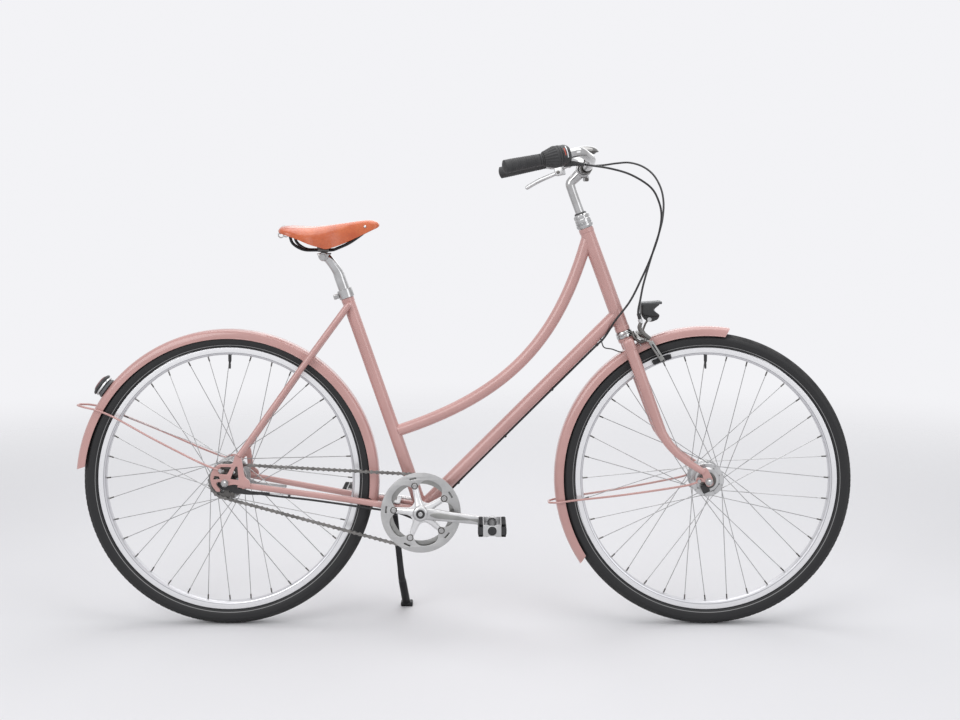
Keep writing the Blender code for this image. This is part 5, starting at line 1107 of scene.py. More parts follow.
def slot_hole(radius, middle, half_turn, half_width):
    """A narrow curved opening with round ends."""
    along = np.linspace(-half_turn, half_turn, 9) + middle
    outer, inner = polar(radius + half_width, along), polar(radius - half_width, along[::-1])
    return rounded(np.vstack((outer, inner)), half_width * 0.9, 2)


full_turn = TAU * np.arange(360) / 360
big_phase = front_turn[0] + np.pi / BIG_TEETH
ring_hole = polar(68.0 - 10.0 * near_bolt(full_turn, 0.125, 4), full_turn)
chainring = plate([toothed(BIG_TEETH, BIG_RADIUS, big_phase), ring_hole], BRACKET + SIDEWAYS * CHAIN_LINE,
                  2.4, 0.35)
# The chainring takes the darker grey as painted shade: it lies in shadow behind the guard disc.
piece("chainring_teeth", chainring, "crankset", GREY_ALLOY_AND_SHADE, "chainring")
disc_hole = polar(79.5 - 22.5 * near_bolt(full_turn, 0.24), full_turn)
slots = [slot_hole(83.0, turn, 0.10, 1.9) for turn in BOLT_TURNS]
rim_turn = TAU * np.arange(240) / 240
disc = plate([polar(95.5, rim_turn), disc_hole, *slots], BRACKET - SIDEWAYS * 51.6, 2.4, 0.6)
piece("chain_guard_disc", disc, "crankset", DISC_GREY, "chain_disc")

CRANK_TURN = math.radians(-5)
RIGHT_WAY = polar_at(1, CRANK_TURN)
CRANK_LENGTH = 170.0
BOLT_CIRCLE = 65.0
PEDAL_SIDE = 135.0
CRANK_ROWS = at((-0.02, 62.5, 13.0, 0.50), (0.16, 62.5, 13.8, 0.46), (0.45, 70.6, 11.8, 0.46),
                (0.8, 79.5, 10.6, 0.50), (1.0, 80.5, 10.6, 0.54))


def crank(side, way, boss_start):
    """An arm whose section is a squarish oval, drawn out from its round boss to the pedal's eye. Each
    row is the share of its length, its place sideways, half its height and its flatness."""
    points = BRACKET + way * CRANK_LENGTH * CRANK_ROWS[:, :1] + SIDEWAYS * side * CRANK_ROWS[:, 1:2]
    fine = smooth(np.hstack((points, CRANK_ROWS[:, 2:])), 49)
    arm = tube(fine[:, :3], fine[:, 3], 36, flat=fine[:, 4], power=0.72)
    boss = [(8.6, boss_start), (18.5, boss_start), (19, boss_start + 1), (19, 64), (17.5, 68.5), (13.5, 71),
            (8.6, 71)]
    arm += turned(boss, BRACKET, SIDEWAYS * side, 56, soft=1.2)
    eye = BRACKET + way * CRANK_LENGTH
    arm += turned([(0, 74.2), (12.4, 74.2), (13, 75.2), (13, 85.6), (12, 87), (0, 87)], eye,
                  SIDEWAYS * side, 40, soft=0.6)
    return arm


def flute_shade_strip(side, way):
    """Painted shade and reflection in an arm's outer flute: a shallow oval strip that narrows at both ends.
    """
    share = np.linspace(0.13, 0.90, 61)
    places = CRANK_ROWS[:, 0].clip(0)
    level, width, flat = (np.interp(share, places, CRANK_ROWS[:, i]) for i in (1, 2, 3))
    face = level + width * flat
    ends = np.sqrt(np.clip(1 - abs((share - 0.515) / 0.386)**6, 0.01, 1))
    path = BRACKET + way * CRANK_LENGTH * share[:, None] + SIDEWAYS * side * (face - 0.9)[:, None]
    return tube(path, width * 0.56 * ends, 24, flat=1.25 / (width * 0.56 * ends))


def spider():
    """Five arms that thin out from the boss to the bolts, with a round pad under each bolt."""
    corners = []
    for turn in BOLT_TURNS:
        for radius, half in ((27, -0.34), (59, -0.125), (72, -0.085), (72, 0.085), (59, 0.125), (27, 0.34)):
            corners.append(polar(radius, turn + half))
    arms = plate([rounded(corners, 6.0, 5)], BRACKET - SIDEWAYS * 48.3, 3.6, 1.1)
    for turn in BOLT_TURNS:
        way = polar_at(1, turn)
        start, end = BRACKET + way * 10 - SIDEWAYS * 56, BRACKET + way * 57 - SIDEWAYS * 49.5
        rib = [mix(start, end, share) for share in np.linspace(0, 1, 9)]
        size = (11.5, 10.5, 9.0, 7.8, 6.9, 6.2, 5.7, 5.3, 4.6)
        arms += tube(rib, size, 24, flat=0.52, power=0.8)
    return arms


def chainring_bolts():
    """A shouldered bolt head with a six-sided socket at each of the five places."""
    foot = BRACKET + polar_at(BOLT_CIRCLE, BOLT_TURN)
    head = turned([(0, 46.0), (4.6, 46.0), (4.6, 52.6), (5.9, 52.8), (5.9, 54.0), (5.2, 54.6), (2.9, 54.6),
                   (2.9, 53.2), (0, 53.2)], foot, -SIDEWAYS, 24, soft=0.2)
    back = turned(band(0, 5.6, 41.0, 43.5), foot, -SIDEWAYS, 24, soft=0.4)
    return copies(head + back, BOLT_TURNS - BOLT_TURN, BRACKET)


piece("right_crank_arm", crank(-1, RIGHT_WAY, 46.5), "crankset", SATIN, "right_crank")
# The spider is the arm's alloy painted lighter, as a painted highlight.
piece("crank_spider", spider(), "crankset", PAINTED_HIGHLIGHT_ALLOY)
washer_profile = [(5.4, 52.4), (8.2, 52.4), (8.2, 53.2), (7.6, 53.8), (5.4, 53.8)]
washers = turned(washer_profile, BRACKET + polar_at(BOLT_CIRCLE, BOLT_TURN), -SIDEWAYS, 28)
piece("chainring_washers", copies(washers, BOLT_TURNS - BOLT_TURN, BRACKET), "crankset", DARK_STEEL)
piece("left_crank_arm", crank(1, -RIGHT_WAY, 45.0), "crankset", SATIN, "left_crank")
# The flutes are painted shade and reflection, darker than the arms.
piece("right_flute_shade", flute_shade_strip(-1, RIGHT_WAY), "crankset", GREY_ALLOY_AND_SHADE)
piece("left_flute_shade", flute_shade_strip(1, -RIGHT_WAY), "crankset", GREY_ALLOY_AND_SHADE)
piece("chainring_bolts", chainring_bolts(), "crankset", CHROME)
for side, name in ((-1, "right"), (1, "left")):
    axis = SIDEWAYS * side
    cap = turned([(5.5, 70.6), (10.6, 70.6), (10.6, 71.6), (9.6, 72.4), (5.5, 72.0)], BRACKET, axis, 36,
                 soft=0.3)
    piece(f"{name}_crank_dust_cap", cap, "crankset", BLACK)
    bolt = turned([(2.4, 71.0), (2.4, 72.4), (4.8, 72.8), (5.4, 72.2), (5.4, 69), (0, 69), (0, 71.0)],
                  BRACKET, axis, 30)
    piece(f"{name}_crank_bolt", bolt, "crankset", CHROME)
axle = bar(BRACKET - SIDEWAYS * 58, BRACKET + SIDEWAYS * 58, 8.5, 30, 1.0)
piece("bottom_bracket_axle", axle, "crankset", DARK_STEEL, "crank_axle")
cups = turned([(9, 35.2), (17.8, 35.2), (18.6, 36), (18.6, 38.4), (17.4, 39.4), (9, 39.4)], BRACKET,
              SIDEWAYS, 12)
piece("bottom_bracket_rings", cups + cups.mirrored(), "frame", DARK_STEEL)


# Pedals
def pedal_rubber(eye, middle, side):
    """Two ridged rubber treads either side of a barrel that swells at its outer end."""
    parts = []
    for x in (-27.0, 27.0):
        ridges = np.linspace(-45.4, 45.4, 121)
        height = 7.6 + 0.8 * np.clip(np.sin(ridges * TAU / 9.5) * 3, -1, 1)
        path = middle + at(x, 0, 0) + ridges[:, None] * SIDEWAYS
        parts.append(tube(path, height * 1.12, 20, flat=6.0 / (height * 1.12), guide=FORWARD, power=0.35))
    barrel = turned([(5.3, 89.5), (9.0, 89.5), (9.6, 92), (8.2, 104), (8.2, 158), (10.2, 170), (10.2, 180),
                     (8.6, 181), (0, 181), (0, 174), (5.3, 174)], eye, SIDEWAYS * side, 32, soft=0.8)
    return joined([*parts, barrel])


def pedal_cage(middle, side):
    """A frame of pressed plates: an end plate at both ends, joined by two side plates."""
    half = at((6, -12.0), (11, -13.8), (21, -13.8), (21, 13.8), (11, 13.8), (6, 12.0))
    end_outline = rounded(np.vstack((half, -half)), 1.2, 3)
    cage = joined([plate([end_outline, ring(32, 10.4, 10.4)], middle + SIDEWAYS * y, 2.2, 0.5)
                   for y in (-44.4, 44.4)])
    for x in (-20.2, 20.2):
        cage += block(middle + at(x, 0, 0), (1.8, 88, 26.0), soft=0.6)
    return cage + turned([(10.3, 43.2), (12.0, 43.2), (12.0, 45.6), (11.2, 46), (10.3, 46)], middle,
                         SIDEWAYS * side, 32)


def pedal_flanges(middle):
    """Four flat strips above and below the treads, each with a row of eight small teeth."""
    strips = []
    for x in (-26.4, 26.4):
        for z in (-1, 1):
            strips.append(block(middle + at(x, 0, z * 13.2), (11.0, 82, 1.4), soft=0.5))
            for k in range(8):
                tooth = middle + at(x, (k - 3.5) * 10.6, z * 14.4)
                strips.append(block(tooth, (8.5, 2.6, 1.6), soft=0.4, steps=2))
    return joined(strips)


for side, way, name in ((-1, RIGHT_WAY, "right"), (1, -RIGHT_WAY, "left")):
    eye = BRACKET + way * CRANK_LENGTH
    middle = eye + SIDEWAYS * side * PEDAL_SIDE
    piece(f"{name}_pedal_rubber", pedal_rubber(eye, middle, side), f"{name}_pedal", BLACK, f"{name}_pedal")
    piece(f"{name}_pedal_cage", pedal_cage(middle, side), f"{name}_pedal", SATIN)
    piece(f"{name}_pedal_flanges", pedal_flanges(middle), f"{name}_pedal", BLACK_STEEL)
    spindle = bar(eye + SIDEWAYS * side * 84, eye + SIDEWAYS * side * 172.8, 4.9, 20, 0.5)
    spindle += turned(band(4, 7.6, 87, 88.8), eye, SIDEWAYS * side, 24, soft=0.4)
    piece(f"{name}_pedal_spindle", spindle, "crankset", CHROME)


# Rear cog
rear_start = path_length[len(front_turn)]
to_next_pin = math.ceil(rear_start / PITCH) * PITCH - rear_start
small_phase = rear_turn[0] + to_next_pin / SMALL_RADIUS + np.pi / SMALL_TEETH
cog_openings = [rounded(np.vstack((polar(22.0, TAU * k / 6 + at(-0.30, -0.1, 0.1, 0.30)),
                                   polar(30.0, TAU * k / 6 + at(0.27, 0.1, -0.1, -0.27)))), 2.0, 2)
                for k in range(6)]
cog = plate([toothed(SMALL_TEETH, SMALL_RADIUS, small_phase), ring(40, 13, 13), *cog_openings],
            REAR_AXLE + SIDEWAYS * CHAIN_LINE, 2.4, 0.35)
cog += turned([(13, 41.3), (16, 41.3), (16, 50), (15, 51), (13, 51)], REAR_AXLE, -SIDEWAYS, 40, soft=0.4)
piece("rear_cog_teeth", cog, "rear_cog", DARK_STEEL, "rear_cog")


# Stem and handlebar
STEM_TOP = head_point(781)
BAR_CLAMP = STEM_TOP + polar_at(48, np.pi / 4)
stem_line = [head_point(603), head_point(690), head_point(762), head_point(781, 3),
             mix(STEM_TOP, BAR_CLAMP, 0.45), mix(STEM_TOP, BAR_CLAMP, 0.9)]
stem_path = smooth(stem_line, 61)
stem_size = np.interp(np.linspace(0, 5, 61), range(6), (11.1, 11.1, 11.1, 11.6, 12.6, 14.0))
stem = tube(stem_path, stem_size, 36)
stem += turned(eased(13.0, 18, -19, 19, 1.2, 1.5), BAR_CLAMP, SIDEWAYS, 56, soft=0.8)
lugs = BAR_CLAMP + at(6, 0, -22)
for y in (-5.2, 5.2):
    stem += block(lugs + SIDEWAYS * y, (14, 9.2, 14), soft=3.0)
clamp_bolt = lugs + at(1, 0, -2)
stem += turned([(13.0, 700), (13.0, 703.2), (11.3, 703.6), (11.3, 700)], HEAD_FOOT, HEAD_UP, 40)
piece("stem", stem, "steering", CHROME, "handlebar_stem")
bolt = bar(clamp_bolt - SIDEWAYS * 10, clamp_bolt + SIDEWAYS * 10.4, 2.9, 20)
bolt += turned(socket_head(4.7, 9.6, 13.8, 0.6, 2.3, 1.8), clamp_bolt, -SIDEWAYS, 24, soft=0.3)
bolt += nut(clamp_bolt + SIDEWAYS * 9.6, SIDEWAYS, 8.4, 3.6)
piece("stem_clamp_bolt", bolt, "steering", DARK_STEEL)


def bar_way(side):
    """Direction of a grip, from its outer end inwards."""
    return unit(at(0.937, -0.29 * side, 0.19))


def bar_end(side):
    """The middle of a grip's outer end."""
    return BAR_CLAMP + at(-196, side * 290, -1)


def bar_curve(side, count):
    """One half of the bar: from a straight grip it sweeps up and in to the clamp."""
    end, way = bar_end(side), bar_way(side)
    sweep = BAR_CLAMP + at(*[(x, side * y, z) for x, y, z in
                             ((-6, 196, 26), (7, 145, 19), (6, 90, 8), (1, 45, 1.0), (0, 0, 0))])
    return np.vstack(([end], smooth([end + way * 152, end + way * 182, *sweep], count)))


right_half, left_half = bar_curve(-1, 90), bar_curve(1, 90)
bar_line = np.vstack((right_half, left_half[-2::-1]))
bar_size = 11.1 + 1.6 * np.clip((33 - abs(bar_line[:, 1])) / 6, 0, 1)
piece("handlebar_tube", tube(bar_line, bar_size, 32, guide=UP), "steering", CHROME, "handlebar")


def grip(side, length):
    """A rubber sleeve that swells towards its outer end, with a rim there, small grooves and two rings
    at its inner end."""
    s = np.linspace(-4, length, 160)
    size = 14.6 + 0.7 * np.cos(np.clip(s / length, 0, 1) * np.pi * 1.1)
    grooves = np.clip(np.sin(s * TAU / 5.0) * 3, -1, 1) * 0.35 * np.clip((s - 8) / 3, 0, 1)
    grooves *= np.clip((length - 14 - s) / 3, 0, 1)
    rings = np.clip(1 - abs(s - length + 9) / 1.2, 0, 1) + np.clip(1 - abs(s - length + 3.6) / 1.2, 0, 1)
    size = size + grooves - rings * 1.4
    size = size * np.sqrt(np.clip((s + 4.4) / 4.5, 0.05, 1))
    profile = np.vstack([[0, -4]] + [np.stack((size, s), -1)] + [[11.6, length], [11.6, -0.3], [0, -0.3]])
    return turned(profile, bar_end(side), bar_way(side), 48)


seal = turned([(11.2, 702.6), (14.8, 702.6), (15.2, 703.4), (13.4, 706), (11.2, 706.4)], HEAD_FOOT, HEAD_UP,
              40)
piece("stem_seal_ring", seal, "steering", BLACK)
piece("right_grip_rubber", grip(-1, 92.0), "steering", GRIP_RUBBER, "right_grip")
piece("left_grip_rubber", grip(1, 124.0), "steering", GRIP_RUBBER, "left_grip")
RIGHT_BAR = bar_way(-1)
SHIFTER_START = bar_end(-1) + RIGHT_BAR * 92.3
HOUSING_START = SHIFTER_START + RIGHT_BAR * 40.3


def ribs(count, height):
    """A squeeze for turned: the radius rises and falls count times round, with flattened tops."""
    def swell(angle):
        return 1 + height * np.clip(np.sin(angle * count) * 2.0, -1, 1)
    return swell


twist = turned([(11.6, 0), (15.8, 0), (16.8, 1), (18.8, 8), (21.4, 16), (24, 24), (24.8, 28.5),
                (11.6, 28.5)], SHIFTER_START, RIGHT_BAR, 120, squeeze=ribs(20, 0.028))
twist += turned([(11.6, 28), (24.4, 28), (25, 28.8), (25, 32.4), (23.8, 33.2), (23.8, 34.6), (24.8, 35.4),
                 (24.8, 39.4), (24.2, 40), (11.6, 40)], SHIFTER_START, RIGHT_BAR, 80)
piece("twist_grip_sleeve", twist, "twist_shifter", GRIP_RUBBER, "twist_shifter")
NOSE = HOUSING_START + RIGHT_BAR * 10 + at(0, 0, -19)
EXIT = NOSE + at(46, 4, -2)
housing = turned([(11.6, 0), (23.2, 0), (24, 1), (24, 12), (23.2, 15), (19.6, 21), (18.2, 22), (11.6, 22)],
                 HOUSING_START, RIGHT_BAR, 64, soft=0.5)
nose = smooth([NOSE, NOSE + at(13, 0, 0.3), NOSE + at(26, 1, 0), EXIT], 80)
s = np.linspace(0, 46, 80)
nose_size = np.interp(s, (0, 14, 26, 46), (8.4, 7.4, 6.0, 3.8)) + 0.45 * np.sin(s * TAU / 3.6) * (s > 16)
housing += tube(nose, nose_size, 28)
piece("shifter_body", housing, "steering", BLACK, "shifter_housing")


def gear_window():
    """A raised frame, a pale strip and a red mark that curve with the housing, on the side that faces up
    and out."""
    u, v = across(RIGHT_BAR)
    facing = UP * 0.30 - SIDEWAYS
    middle = math.atan2(facing @ v, facing @ u)

    def strip(half_angle, start, end, inner, outer):
        turn = np.linspace(-half_angle, half_angle, 15) + middle
        out = (u * np.cos(turn)[:, None] + v * np.sin(turn)[:, None])[:, None]
        corner = at(*band(inner, outer, start, end))[None]
        return surface(HOUSING_START + out * corner[..., :1] + RIGHT_BAR * corner[..., 1:])
    return (strip(0.70, 1.2, 14.0, 23, 24.7), strip(0.60, 10.0, 12.4, 24, 25.2),
            strip(0.36, 5.0, 7.4, 24, 25.0))


frame_strip, pale_strip, red_strip = gear_window()
piece("gear_dial_mark", red_strip, "steering", DIAL_RED)
piece("gear_window_frame", frame_strip, "steering", BLACK)
piece("gear_window", pale_strip, "steering", CLEAR_LENS)


# Brake lever
LEFT_BAR = bar_way(1)
LEVER_CLAMP = bar_end(1) + LEFT_BAR * 133
LEVER_SIDE = unit(np.cross(LEFT_BAR, UP))
LEVER_DOWN = unit(np.cross(LEFT_BAR, LEVER_SIDE))
LEVER_DOWN = LEVER_DOWN * (-1 if LEVER_DOWN[2] > 0 else 1)
PIVOT = LEVER_CLAMP + LEFT_BAR * 22 + LEVER_DOWN * 30


def lever_point(along, down):
    """A place from the lever's pivot, along the bar and down from it."""
    return PIVOT + LEFT_BAR * along + LEVER_DOWN * down


bracket = turned(eased(11.6, 16, -7, 7, 0.6, 0.8), LEVER_CLAMP, LEFT_BAR, 48, soft=0.5)
arm_line = [LEVER_CLAMP + LEFT_BAR * along + LEVER_DOWN * down
            for along, down in ((0, 11.5), (10, 13.5), (24, 15.5))]
bracket += tube(smooth(arm_line, 17), np.linspace(6.5, 6.0, 17), 24, guide=LEVER_SIDE)
house = lever_point(2, -3)
for y in (-8.4, 8.4):
    bracket += block(house + LEVER_SIDE * y, (24, 7.2, 24), LEFT_BAR, LEVER_SIDE, 2.6)
bracket += block(house - LEVER_DOWN * 9, (22, 22, 6), LEFT_BAR, LEVER_SIDE, 2.0)
LEVER_BARREL = lever_point(34, -12)
BARREL_START = lever_point(10, -8)
CABLE_WAY = unit(LEVER_BARREL - BARREL_START)
barrel_nut = LEVER_BARREL - CABLE_WAY * 8
bracket += bar(BARREL_START, barrel_nut, 4.0, 24)
bracket += turned([(2.6, 0), (4.9, 0), (5.4, 0.8), (5.4, 5.6), (4.4, 7.6), (2.6, 8)], barrel_nut, CABLE_WAY,
                  60, squeeze=ribs(15, 0.06))
piece("lever_bracket_cast", bracket, "steering", SATIN, "lever_bracket")
blade_rows = ((2.5, 0), (-10, 1.5), (-22, 4), (-60, 12), (-96, 24))
blade_path = smooth([lever_point(*row) for row in blade_rows], 61)
t = np.linspace(0, 4, 61)
blade_size = np.interp(t, range(5), (5.4, 5.4, 5.5, 6.0, 5.4)) * np.sqrt(np.clip((4.05 - t) / 0.12, 0.1, 1))
blade_flat = np.interp(t, range(5), (0.8, 0.85, 0.9, 1.3, 1.1))
blade = tube(blade_path, blade_size, 28, flat=blade_flat, guide=LEVER_SIDE, power=0.8)
piece("brake_lever_blade", blade, "brake_lever", SATIN, "brake_lever")
pin = bar(PIVOT - LEVER_SIDE * 12.4, PIVOT + LEVER_SIDE * 12.4, 2.9, 20)
for way in (LEVER_SIDE, -LEVER_SIDE):
    pin += turned([(0, 12), (4.6, 12), (4.6, 13.4), (2, 14.2), (0, 14.2)], PIVOT, way, 20)
piece("lever_pivot_pin", pin, "steering", DARK_STEEL)


# Bell
bell_spot = np.argmin(abs(right_half[:, 1] + 58))
on_right = right_half[bell_spot]
bell_way = unit(right_half[bell_spot + 1] - right_half[bell_spot - 1])
BELL_BOTTOM = on_right + UP * 38
bell_base = turned(eased(11.8, 14.5, -6, 6, 0.5, 0.6), on_right, bell_way, 40, soft=0.4)
bell_base += bar(on_right + UP * 13, on_right + UP * 34, 6.0, 28)
bell_base += turned([(0, -6), (19, -5.4), (20.6, -4.6), (25.6, -0.6), (25.4, 0), (0, 0)], BELL_BOTTOM, UP,
                    48, soft=0.4)
piece("bell_base_plate", bell_base, "steering", DARK_STEEL, "bell_base")
turn = np.linspace(0.02, np.pi / 2, 22)
dome_out = np.stack((29 * np.sin(turn)**0.92, 14.5 * np.cos(turn)**0.78), -1)
dome_in = np.stack((27.4 * np.sin(turn[::-1])**0.92, 0.3 + 12.7 * np.cos(turn[::-1])**0.78), -1)
dome = turned(np.vstack(([[0, 14.5]], dome_out, [[29, 0]], [[27.4, 0]], dome_in, [[0, 13.0]])), BELL_BOTTOM,
              UP, 72)
piece("bell_dome_polished", dome, "steering", BELL_METAL, "bell_dome")
# The lip's dark steel is painted shade: the dark line under the polished dome's edge.
bell_edge_shade = turned([(28.6, -0.4), (29.7, 0), (29.7, 1.8), (28.9, 2.2)], BELL_BOTTOM, UP, 72)
piece("bell_edge_shade", bell_edge_shade, "steering", DARK_STEEL)
BELL_PIVOT = BELL_BOTTOM + at(-14, -12, -7.4)
thumb = turned(eased(0, 3.5, -2.4, 2, 0.3, 0.4), BELL_PIVOT, UP, 24)
thumb_line = smooth([BELL_PIVOT, BELL_PIVOT + at(-12, -6, -1), BELL_PIVOT + at(-24, -6, -3)], 25)
thumb += tube(thumb_line, np.interp(np.linspace(0, 1, 25), (0, 0.5, 0.94, 1), (1.8, 2.0, 3.6, 2.2)), 16)
piece("bell_thumb_lever", thumb, "bell_lever", SATIN, "bell_lever")


# Rim brake
PAD_LEVEL = 46.0
YOKE_LEVEL = 42.4
ADJUSTER = at(989, -32, 737)
BARREL_WAY = unit(at(0.25, 0, -1))


def brake_point(level, down, side=0.0):
    """A place by its level along the brake's bolt, its way down the arms and its place sideways."""
    return CROWN + BOLT_WAY * level + ARM_WAY * down + SIDEWAYS * side


bolt = turned([(0, 16.3), (7.6, 16.3), (8, 17), (8, 24.7), (4, 24.7), (4, 37.6), (8, 37.6), (8, 38.4),
               (4.4, 38.4), (4.4, 50), (0, 50)], CROWN, BOLT_WAY, 30)
bolt += nut(CROWN + BOLT_WAY * 44.6, BOLT_WAY, 12.4, 5.2, 4.0)
LAMP_PIVOT = CROWN + at(51.5935, 0, 56.0647)
lamp_stay = [CROWN + BOLT_WAY * 43.6, CROWN + BOLT_WAY * 44 + at(6, 0, 16), LAMP_PIVOT + at(-7, 0, -11),
             LAMP_PIVOT - UP]
bolt += tube(smooth(lamp_stay, 25), 2.2, 20, flat=3.2, power=0.7)
bolt += bar(LAMP_PIVOT - SIDEWAYS * 9, LAMP_PIVOT + SIDEWAYS * 9, 4.4, 24)
piece("brake_bolt_and_lamp_stay", bolt, "steering", DARK_STEEL, "brake_bolt_and_lamp_bracket")
spring = smooth([brake_point(22, z, y) for y, z in
                 ((-23, 24), (-19, 8), (-9, -6), (0, -9), (9, -6), (19, 8), (23, 24))], 60)
piece("brake_spring", tube(spring, 1.1, 10, guide=BOLT_WAY), "steering", SATIN)
BRAKE_ARM = at((-9, -6), (-27, -8), (-37, 4), (-39, 30), (-37, 62), (-31, 87), (-20, 87), (-22, 74),
               (-26.5, 64), (-28, 30), (-27, 10), (-14, 7), (0, 9), (7, 5), (9, 0), (7, -6), (0, -9))


def brake_arm(side, level):
    """A curved forged arm with rounded edges. From 2 to 26 below the bolt it bends forward evenly to the
    level of the pads."""
    outline = rounded(BRAKE_ARM * (-side, 1), 5.0, 5)
    centre = CROWN + BOLT_WAY * level
    arm = plate([outline, ring(28, 4.3, 4.3)], centre, 6.4, 1.4, SIDEWAYS, ARM_WAY)
    down = (arm.points - centre) @ ARM_WAY
    arm.points = arm.points + BOLT_WAY * ((PAD_LEVEL - level) * np.clip((down - 2) / 24, 0, 1))[:, None]
    shank = brake_point(PAD_LEVEL, 53, side * 33.4)
    arm += block(shank, (56, 6.4, 12.5), unit(ARM_WAY - SIDEWAYS * side * 0.10), SIDEWAYS, 2.4)
    bolt_profile = [(0, -5.6), (5.4, -5.6), (5.4, -3.2), (5.9, -3), (5.9, 3), (0, 3)]
    arm += turned(bolt_profile, brake_point(PAD_LEVEL, 78, side * 26), -BOLT_WAY, 24, soft=0.3)
    return arm


def slot_shade_block(side):
    """Painted shade: a dark block in the slot down an arm, seen from beside the wheel."""
    way = unit(ARM_WAY - SIDEWAYS * side * 0.10)
    return block(brake_point(PAD_LEVEL, 50, side * 35.5), (36, 5.2, 5.0), way, SIDEWAYS, 2.2)


def brake_yoke():
    """A bridge plate in front of both arms with a second pivot, a cable barrel and a release cam."""
    centre = brake_point(YOKE_LEVEL, 0)
    outline = rounded([(-9, -9), (9, -9), (26, -3), (31, 12), (24, 16), (16, 5), (-16, 5), (-25, 10),
                       (-30, 2), (-24, -7)], 4.0, 4)
    yoke = plate([outline, ring(28, 4.3, 4.3)], centre, 5.0, 1.4, SIDEWAYS, ARM_WAY)
    hook = smooth([ADJUSTER + BARREL_WAY * 9, centre + at(-9, -31, 14), centre + at(-1, -29, 2),
                   brake_point(YOKE_LEVEL + 6, 20, -31)], 40)
    yoke += tube(hook, np.linspace(4.4, 5.4, 40), 20, flat=1.25, guide=SIDEWAYS, power=0.8)
    back = centre + at((-24, -20, 4), (-20, -25, -10), (-8, -28, -20), (4, -30, -18))
    yoke += tube(smooth(back, 30), 3.6, 18, guide=SIDEWAYS)
    for y, z in ((24, 6), (-24, 2)):
        yoke += turned(socket_head(5.0, -1.6, 4.0, 0.8, 2.2, 1.6), brake_point(YOKE_LEVEL, z, y), BOLT_WAY,
                       24, soft=0.3)
    for spot, size in ((at(-6, -32, 2), 5.2), (at(5, -35.5, -15), 4.4)):
        yoke += turned(socket_head(size, -3, 3, 1, 2.2, 1.4), centre + spot, -SIDEWAYS, 24)
    return yoke


def brake_shoe(side):
    """A pad that bends with the rim, with grooves across it, in a metal holder."""
    middle = brake_point(PAD_LEVEL, 79)
    outward = unit((middle - FRONT_AXLE) * (1, 0, 1))
    along = unit(np.cross(SIDEWAYS, outward))
    turn = np.linspace(-0.076, 0.076, 47)
    radius = 308
    curve = outward * np.cos(turn)[:, None] + along * np.sin(turn)[:, None]
    place = FRONT_AXLE + SIDEWAYS * side * 19.55 + radius * curve
    depth = 4.7 - 0.9 * np.clip(np.cos(turn * radius * TAU / 9.2) * 4 - 3, 0, 1)
    pad = tube(place, 5.4, 20, flat=depth / 5.4, power=0.35)
    holder = tube(place[3:-3] + SIDEWAYS * side * 3.4, 6.0, 20, flat=0.34, power=0.5)
    middle, way = place[len(place) // 2], SIDEWAYS * side
    stud = bar(middle + way * 3, middle + way * 13, 3.0, 20)
    stud += nut(middle + way * 9.6, way, 9.0, 4.4)
    return pad, holder + stud


piece("brake_yoke_plate", brake_yoke(), "steering", DARK_STEEL)
for side, level, name in ((-1, 28.0, "right"), (1, 34.3, "left")):
    pad, holder = brake_shoe(side)
    piece(f"{name}_brake_arm_forged", brake_arm(side, level), f"{name}_brake_arm", GREY_ALLOY_AND_SHADE,
          f"{name}_brake_arm")
    # a dark block as painted shade in the arm's slot
    piece(f"{name}_brake_arm_painted_slot_shade", slot_shade_block(side), f"{name}_brake_arm", BLACK_STEEL)
    piece(f"{name}_brake_pad", pad, f"{name}_brake_arm", BLACK)
    piece(f"{name}_pad_holder", holder, f"{name}_brake_arm", BLACK_STEEL)


# Headlamp
LAMP_OUTLINE = at((-17, 9), (-20, 14), (-20, 38), (-8, 41), (24, 41.5), (25, 35.5), (9.5, 23), (25, 11),
                  (24, 6), (8, 6))
LAMP_EAR = rounded([(-16, 10), (-14, 4), (-7, -4), (3, -6.5), (12, -4), (21, 0), (25, 8), (22, 13),
                    (-12, 14)], 4.0, 4)


def headlamp_shell():
    """The side outline carried across the lamp, drawn in towards both sides as a rounded box."""
    outline = rounded(LAMP_OUTLINE, 3.0, 4)
    middle = at(0, 25)
    y = np.concatenate((np.linspace(-25, -18, 7), np.linspace(18, 25, 7)))
    shrink = np.sqrt(np.clip(1 - (np.clip(abs(y) - 17.5, 0, 7.5) / 7.8)**2.4, 0.02, 1))
    drawn = middle + (outline - middle) * (0.62 + 0.38 * shrink)[:, None, None]
    grid = LAMP_PIVOT + drawn[..., :1] * FORWARD + drawn[..., 1:] * UP + y[:, None, None] * SIDEWAYS
    return surface(grid)


ears = [plate([LAMP_EAR], LAMP_PIVOT + SIDEWAYS * y, 8.0, 1.6) for y in (-15.0, 15.0)]
piece("headlamp_shell", joined([headlamp_shell(), *ears]), "headlamp", BLACK, "headlamp")
lens = block(LAMP_PIVOT + at(11.5, 0, 23), (22, 42, 4.0), UP, SIDEWAYS, 1.6)
piece("headlamp_lens", lens, "headlamp", CLEAR_LENS)
visor = block(LAMP_PIVOT + at(5.0, 0, 38.6), (51, 48, 6.6), unit(at(50, 0, 3.6)), SIDEWAYS, 1.8)
piece("headlamp_visor", visor, "headlamp", VISOR_GREY)
lamp_bolt = turned(socket_head(5.4, 17.5, 21, 0.6, 3.0, 0.8), LAMP_PIVOT, -SIDEWAYS, 24, soft=0.2)
piece("headlamp_bolt", lamp_bolt + lamp_bolt.mirrored(), "headlamp", SATIN)


